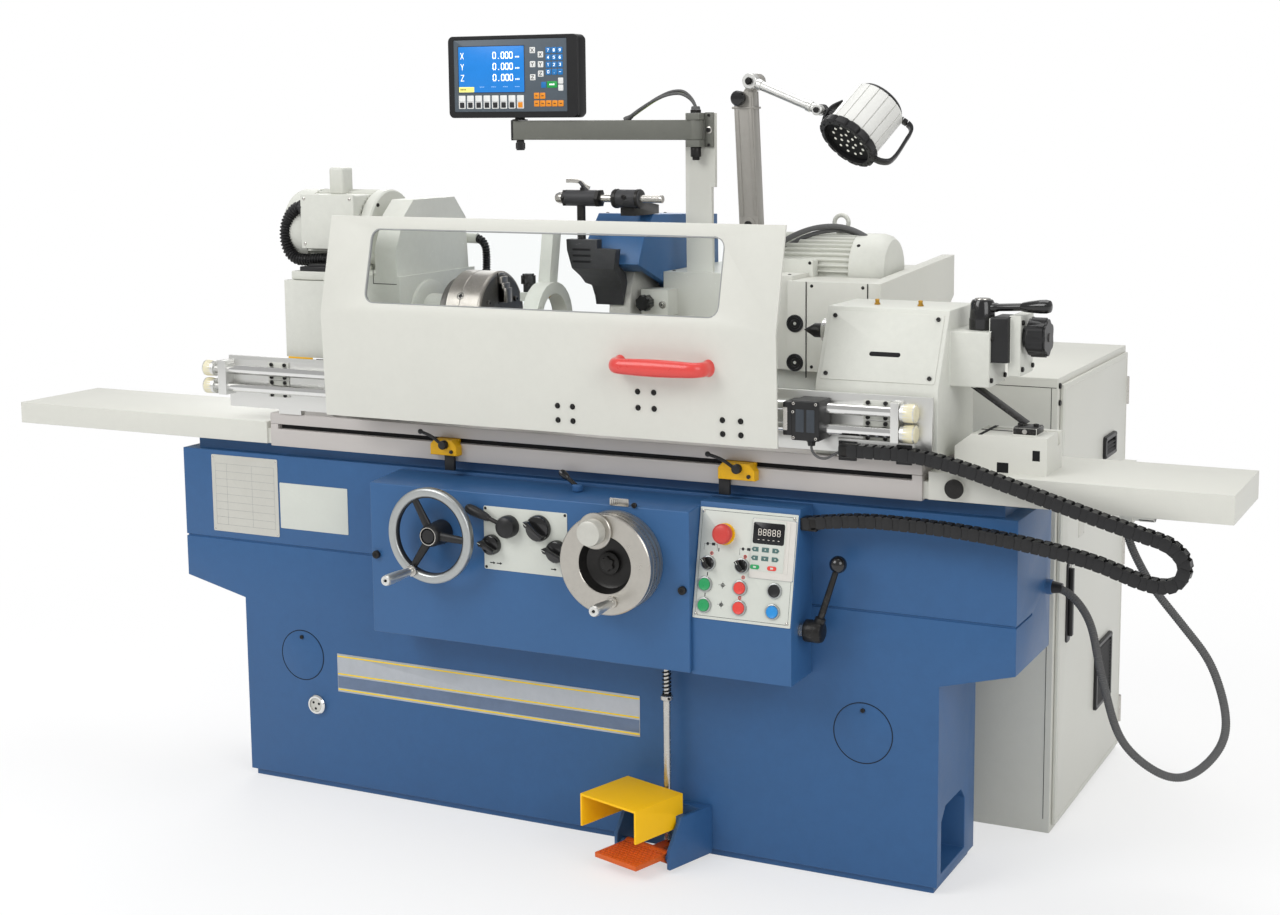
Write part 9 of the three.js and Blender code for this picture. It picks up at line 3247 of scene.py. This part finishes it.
        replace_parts(s.made("lamp_shell", "lamp_head", LAMP_SHELL, BLACK, RECESS_SHADE_AND_MARKS), "lamp_head")
        lens.made("lamp_lights", "lamp_head", LENS)


# Electrical cabinet


@dataclass
class Cabinet:
    """The electrical cabinet with its door, grilles, hinges, handle and bare plates."""

    face: float = 0.9333

    def build(self) -> None:
        """Builds the cabinet."""
        rounded("electrical_cabinet", WHITE, 0.0025, "bed")
        rounded("cabinet_door", WHITE, 0.002, "cabinet_door")
        self.frame_details()
        self.grilles()
        self.door_fittings()

    def frame_details(self) -> None:
        """Seams of the front sheet as thin near-black strips of painted shade, and two black screws on the
        frame beside the door.
        """
        s = Shape()
        # seams: thin near-black strips, painted shade in the gaps
        s.box((0.565, 0.2944, 0.9425), (0.921, 0.2952, 0.9437), 0.0002, 1)
        s.box((0.9105, 0.2944, 0.03), (0.9117, 0.2952, 0.9425), 0.0002, 1)
        for z in (0.947, 0.912):
            s.turned((0.9252, 0.3022, z), RIGHT, [(0.0, 0.006), (0.003, 0.006), (0.004, 0.005)], 32, 1)
        s.made("cabinet_frame_details", "bed", RECESS_SHADE_AND_MARKS, BLACK_OXIDE)

    def grilles(self) -> None:
        """Two square fan grilles: frame, slanted slats, a near-black sheet behind the slats as painted
        shade in the openings, and corner screws.
        """
        s = Shape()
        for y0, y1, z0, z1 in ((0.625, 0.77, 0.17, 0.32), (0.66, 0.765, 0.735, 0.785)):
            base = (self.face, 0, 0)
            outer = rectangle(y0, y1, z0, z1, 0.006)
            inner = rectangle(y0 + 0.011, y1 - 0.011, z0 + 0.011, z1 - 0.011, 0.003)
            s.frame(outer, inner, base, AWAY, UP, -0.0002, 0.0075, 0)
            # near-black sheet behind the slats: painted shade in the opening
            s.slab(inner, base, AWAY, UP, 0.0009, 0.0002, 1)
            count = int((z1 - z0 - 0.022) / 0.0078)
            for k in range(count):
                z = z0 + 0.0125 + 0.0078 * k
                ends = [(self.face + 0.0042, y, z + 0.002) for y in (y0 + 0.0105, y1 - 0.0105)]
                s.carried(
                    ends, rectangle(-0.0028, 0.0028, -0.0009, 0.0009, 0.0003, 1), 0, (0.75, 0.0, 0.66)
                )
            for y in (y0 + 0.0055, y1 - 0.0055):
                for z in (z0 + 0.0055, z1 - 0.0055):
                    flat_screw(s, (self.face + 0.0075, y, z), RIGHT, 0.0022, 2)
        s.made("cabinet_grilles", "cabinet_door", BLACK, RECESS_SHADE_AND_MARKS, BLACK_OXIDE)

    def door_fittings(self) -> None:
        """A folded rim line, two barrel hinges, the lock and bezel round the handle, and bare plates."""
        s = Shape()
        base = (self.face, 0, 0)
        s.frame(
            rectangle(0.3175, 0.8775, 0.0225, 0.9405, 0.004),
            rectangle(0.3205, 0.8745, 0.0255, 0.9375, 0.004), base, AWAY, UP, -0.0003, 0.0006, 0
        )
        s.slab(rectangle(0.3595, 0.3925, 0.394, 0.567, 0.01, 6), base, AWAY, UP, 0.0035, 0.0015, 1)
        s.box((self.face + 0.003, 0.369, 0.408), (self.face + 0.0125, 0.383, 0.553), 0.0035, 3, 1)
        s.turned(
            (self.face + 0.0034, 0.376, 0.5585), RIGHT,
            [(0.0, 0.0065), (0.0018, 0.0062), (0.0022, 0.005)], 32, 2
        )
        s.box((self.face + 0.0053, 0.3755, 0.555), (self.face + 0.006, 0.3765, 0.562), 0.0002, 1, 3)
        for z in (0.1, 0.48, 0.86):
            s.turned(
                (self.face - 0.0015, 0.8885, z - 0.032), UP,
                [
                    (0.0, 0.0052), (0.001, 0.006), (0.03, 0.006), (0.0305, 0.0054), (0.031, 0.006),
                    (0.063, 0.006), (0.064, 0.0052)
                ],
                32, 2
            )
        for y0, y1, z0, z1 in ((0.43, 0.52, 0.7, 0.755), (0.455, 0.505, 0.6, 0.64)):
            s.slab(rectangle(y0, y1, z0, z1, 0.002), base, AWAY, UP, 0.0006, 0.0002, 4)
            for y in (y0 + 0.004, y1 - 0.004):
                for z in (z0 + 0.004, z1 - 0.004):
                    flat_screw(s, (self.face + 0.0005, y, z), RIGHT, 0.0015, 2)
        s.made("cabinet_door_fittings", "cabinet_door", WHITE, BLACK, TURNED_STEEL, RECESS_SHADE_AND_MARKS, PLATE_METAL)


def main() -> None:
    """Builds the whole scene."""
    logging.basicConfig(level=logging.INFO, format="%(message)s")
    tint_group()
    grain_group()
    wear_group()
    parts = (
        Studio, Cables, Base, Panel, Handwheels, Levers, Pedal, Table, Door, Workhead, SteadyRest,
        Tailstock, Wheelhead, Display, Lamp, Cabinet,
    )
    for part in parts:
        part().build()


if __name__ == "__main__":
    main()
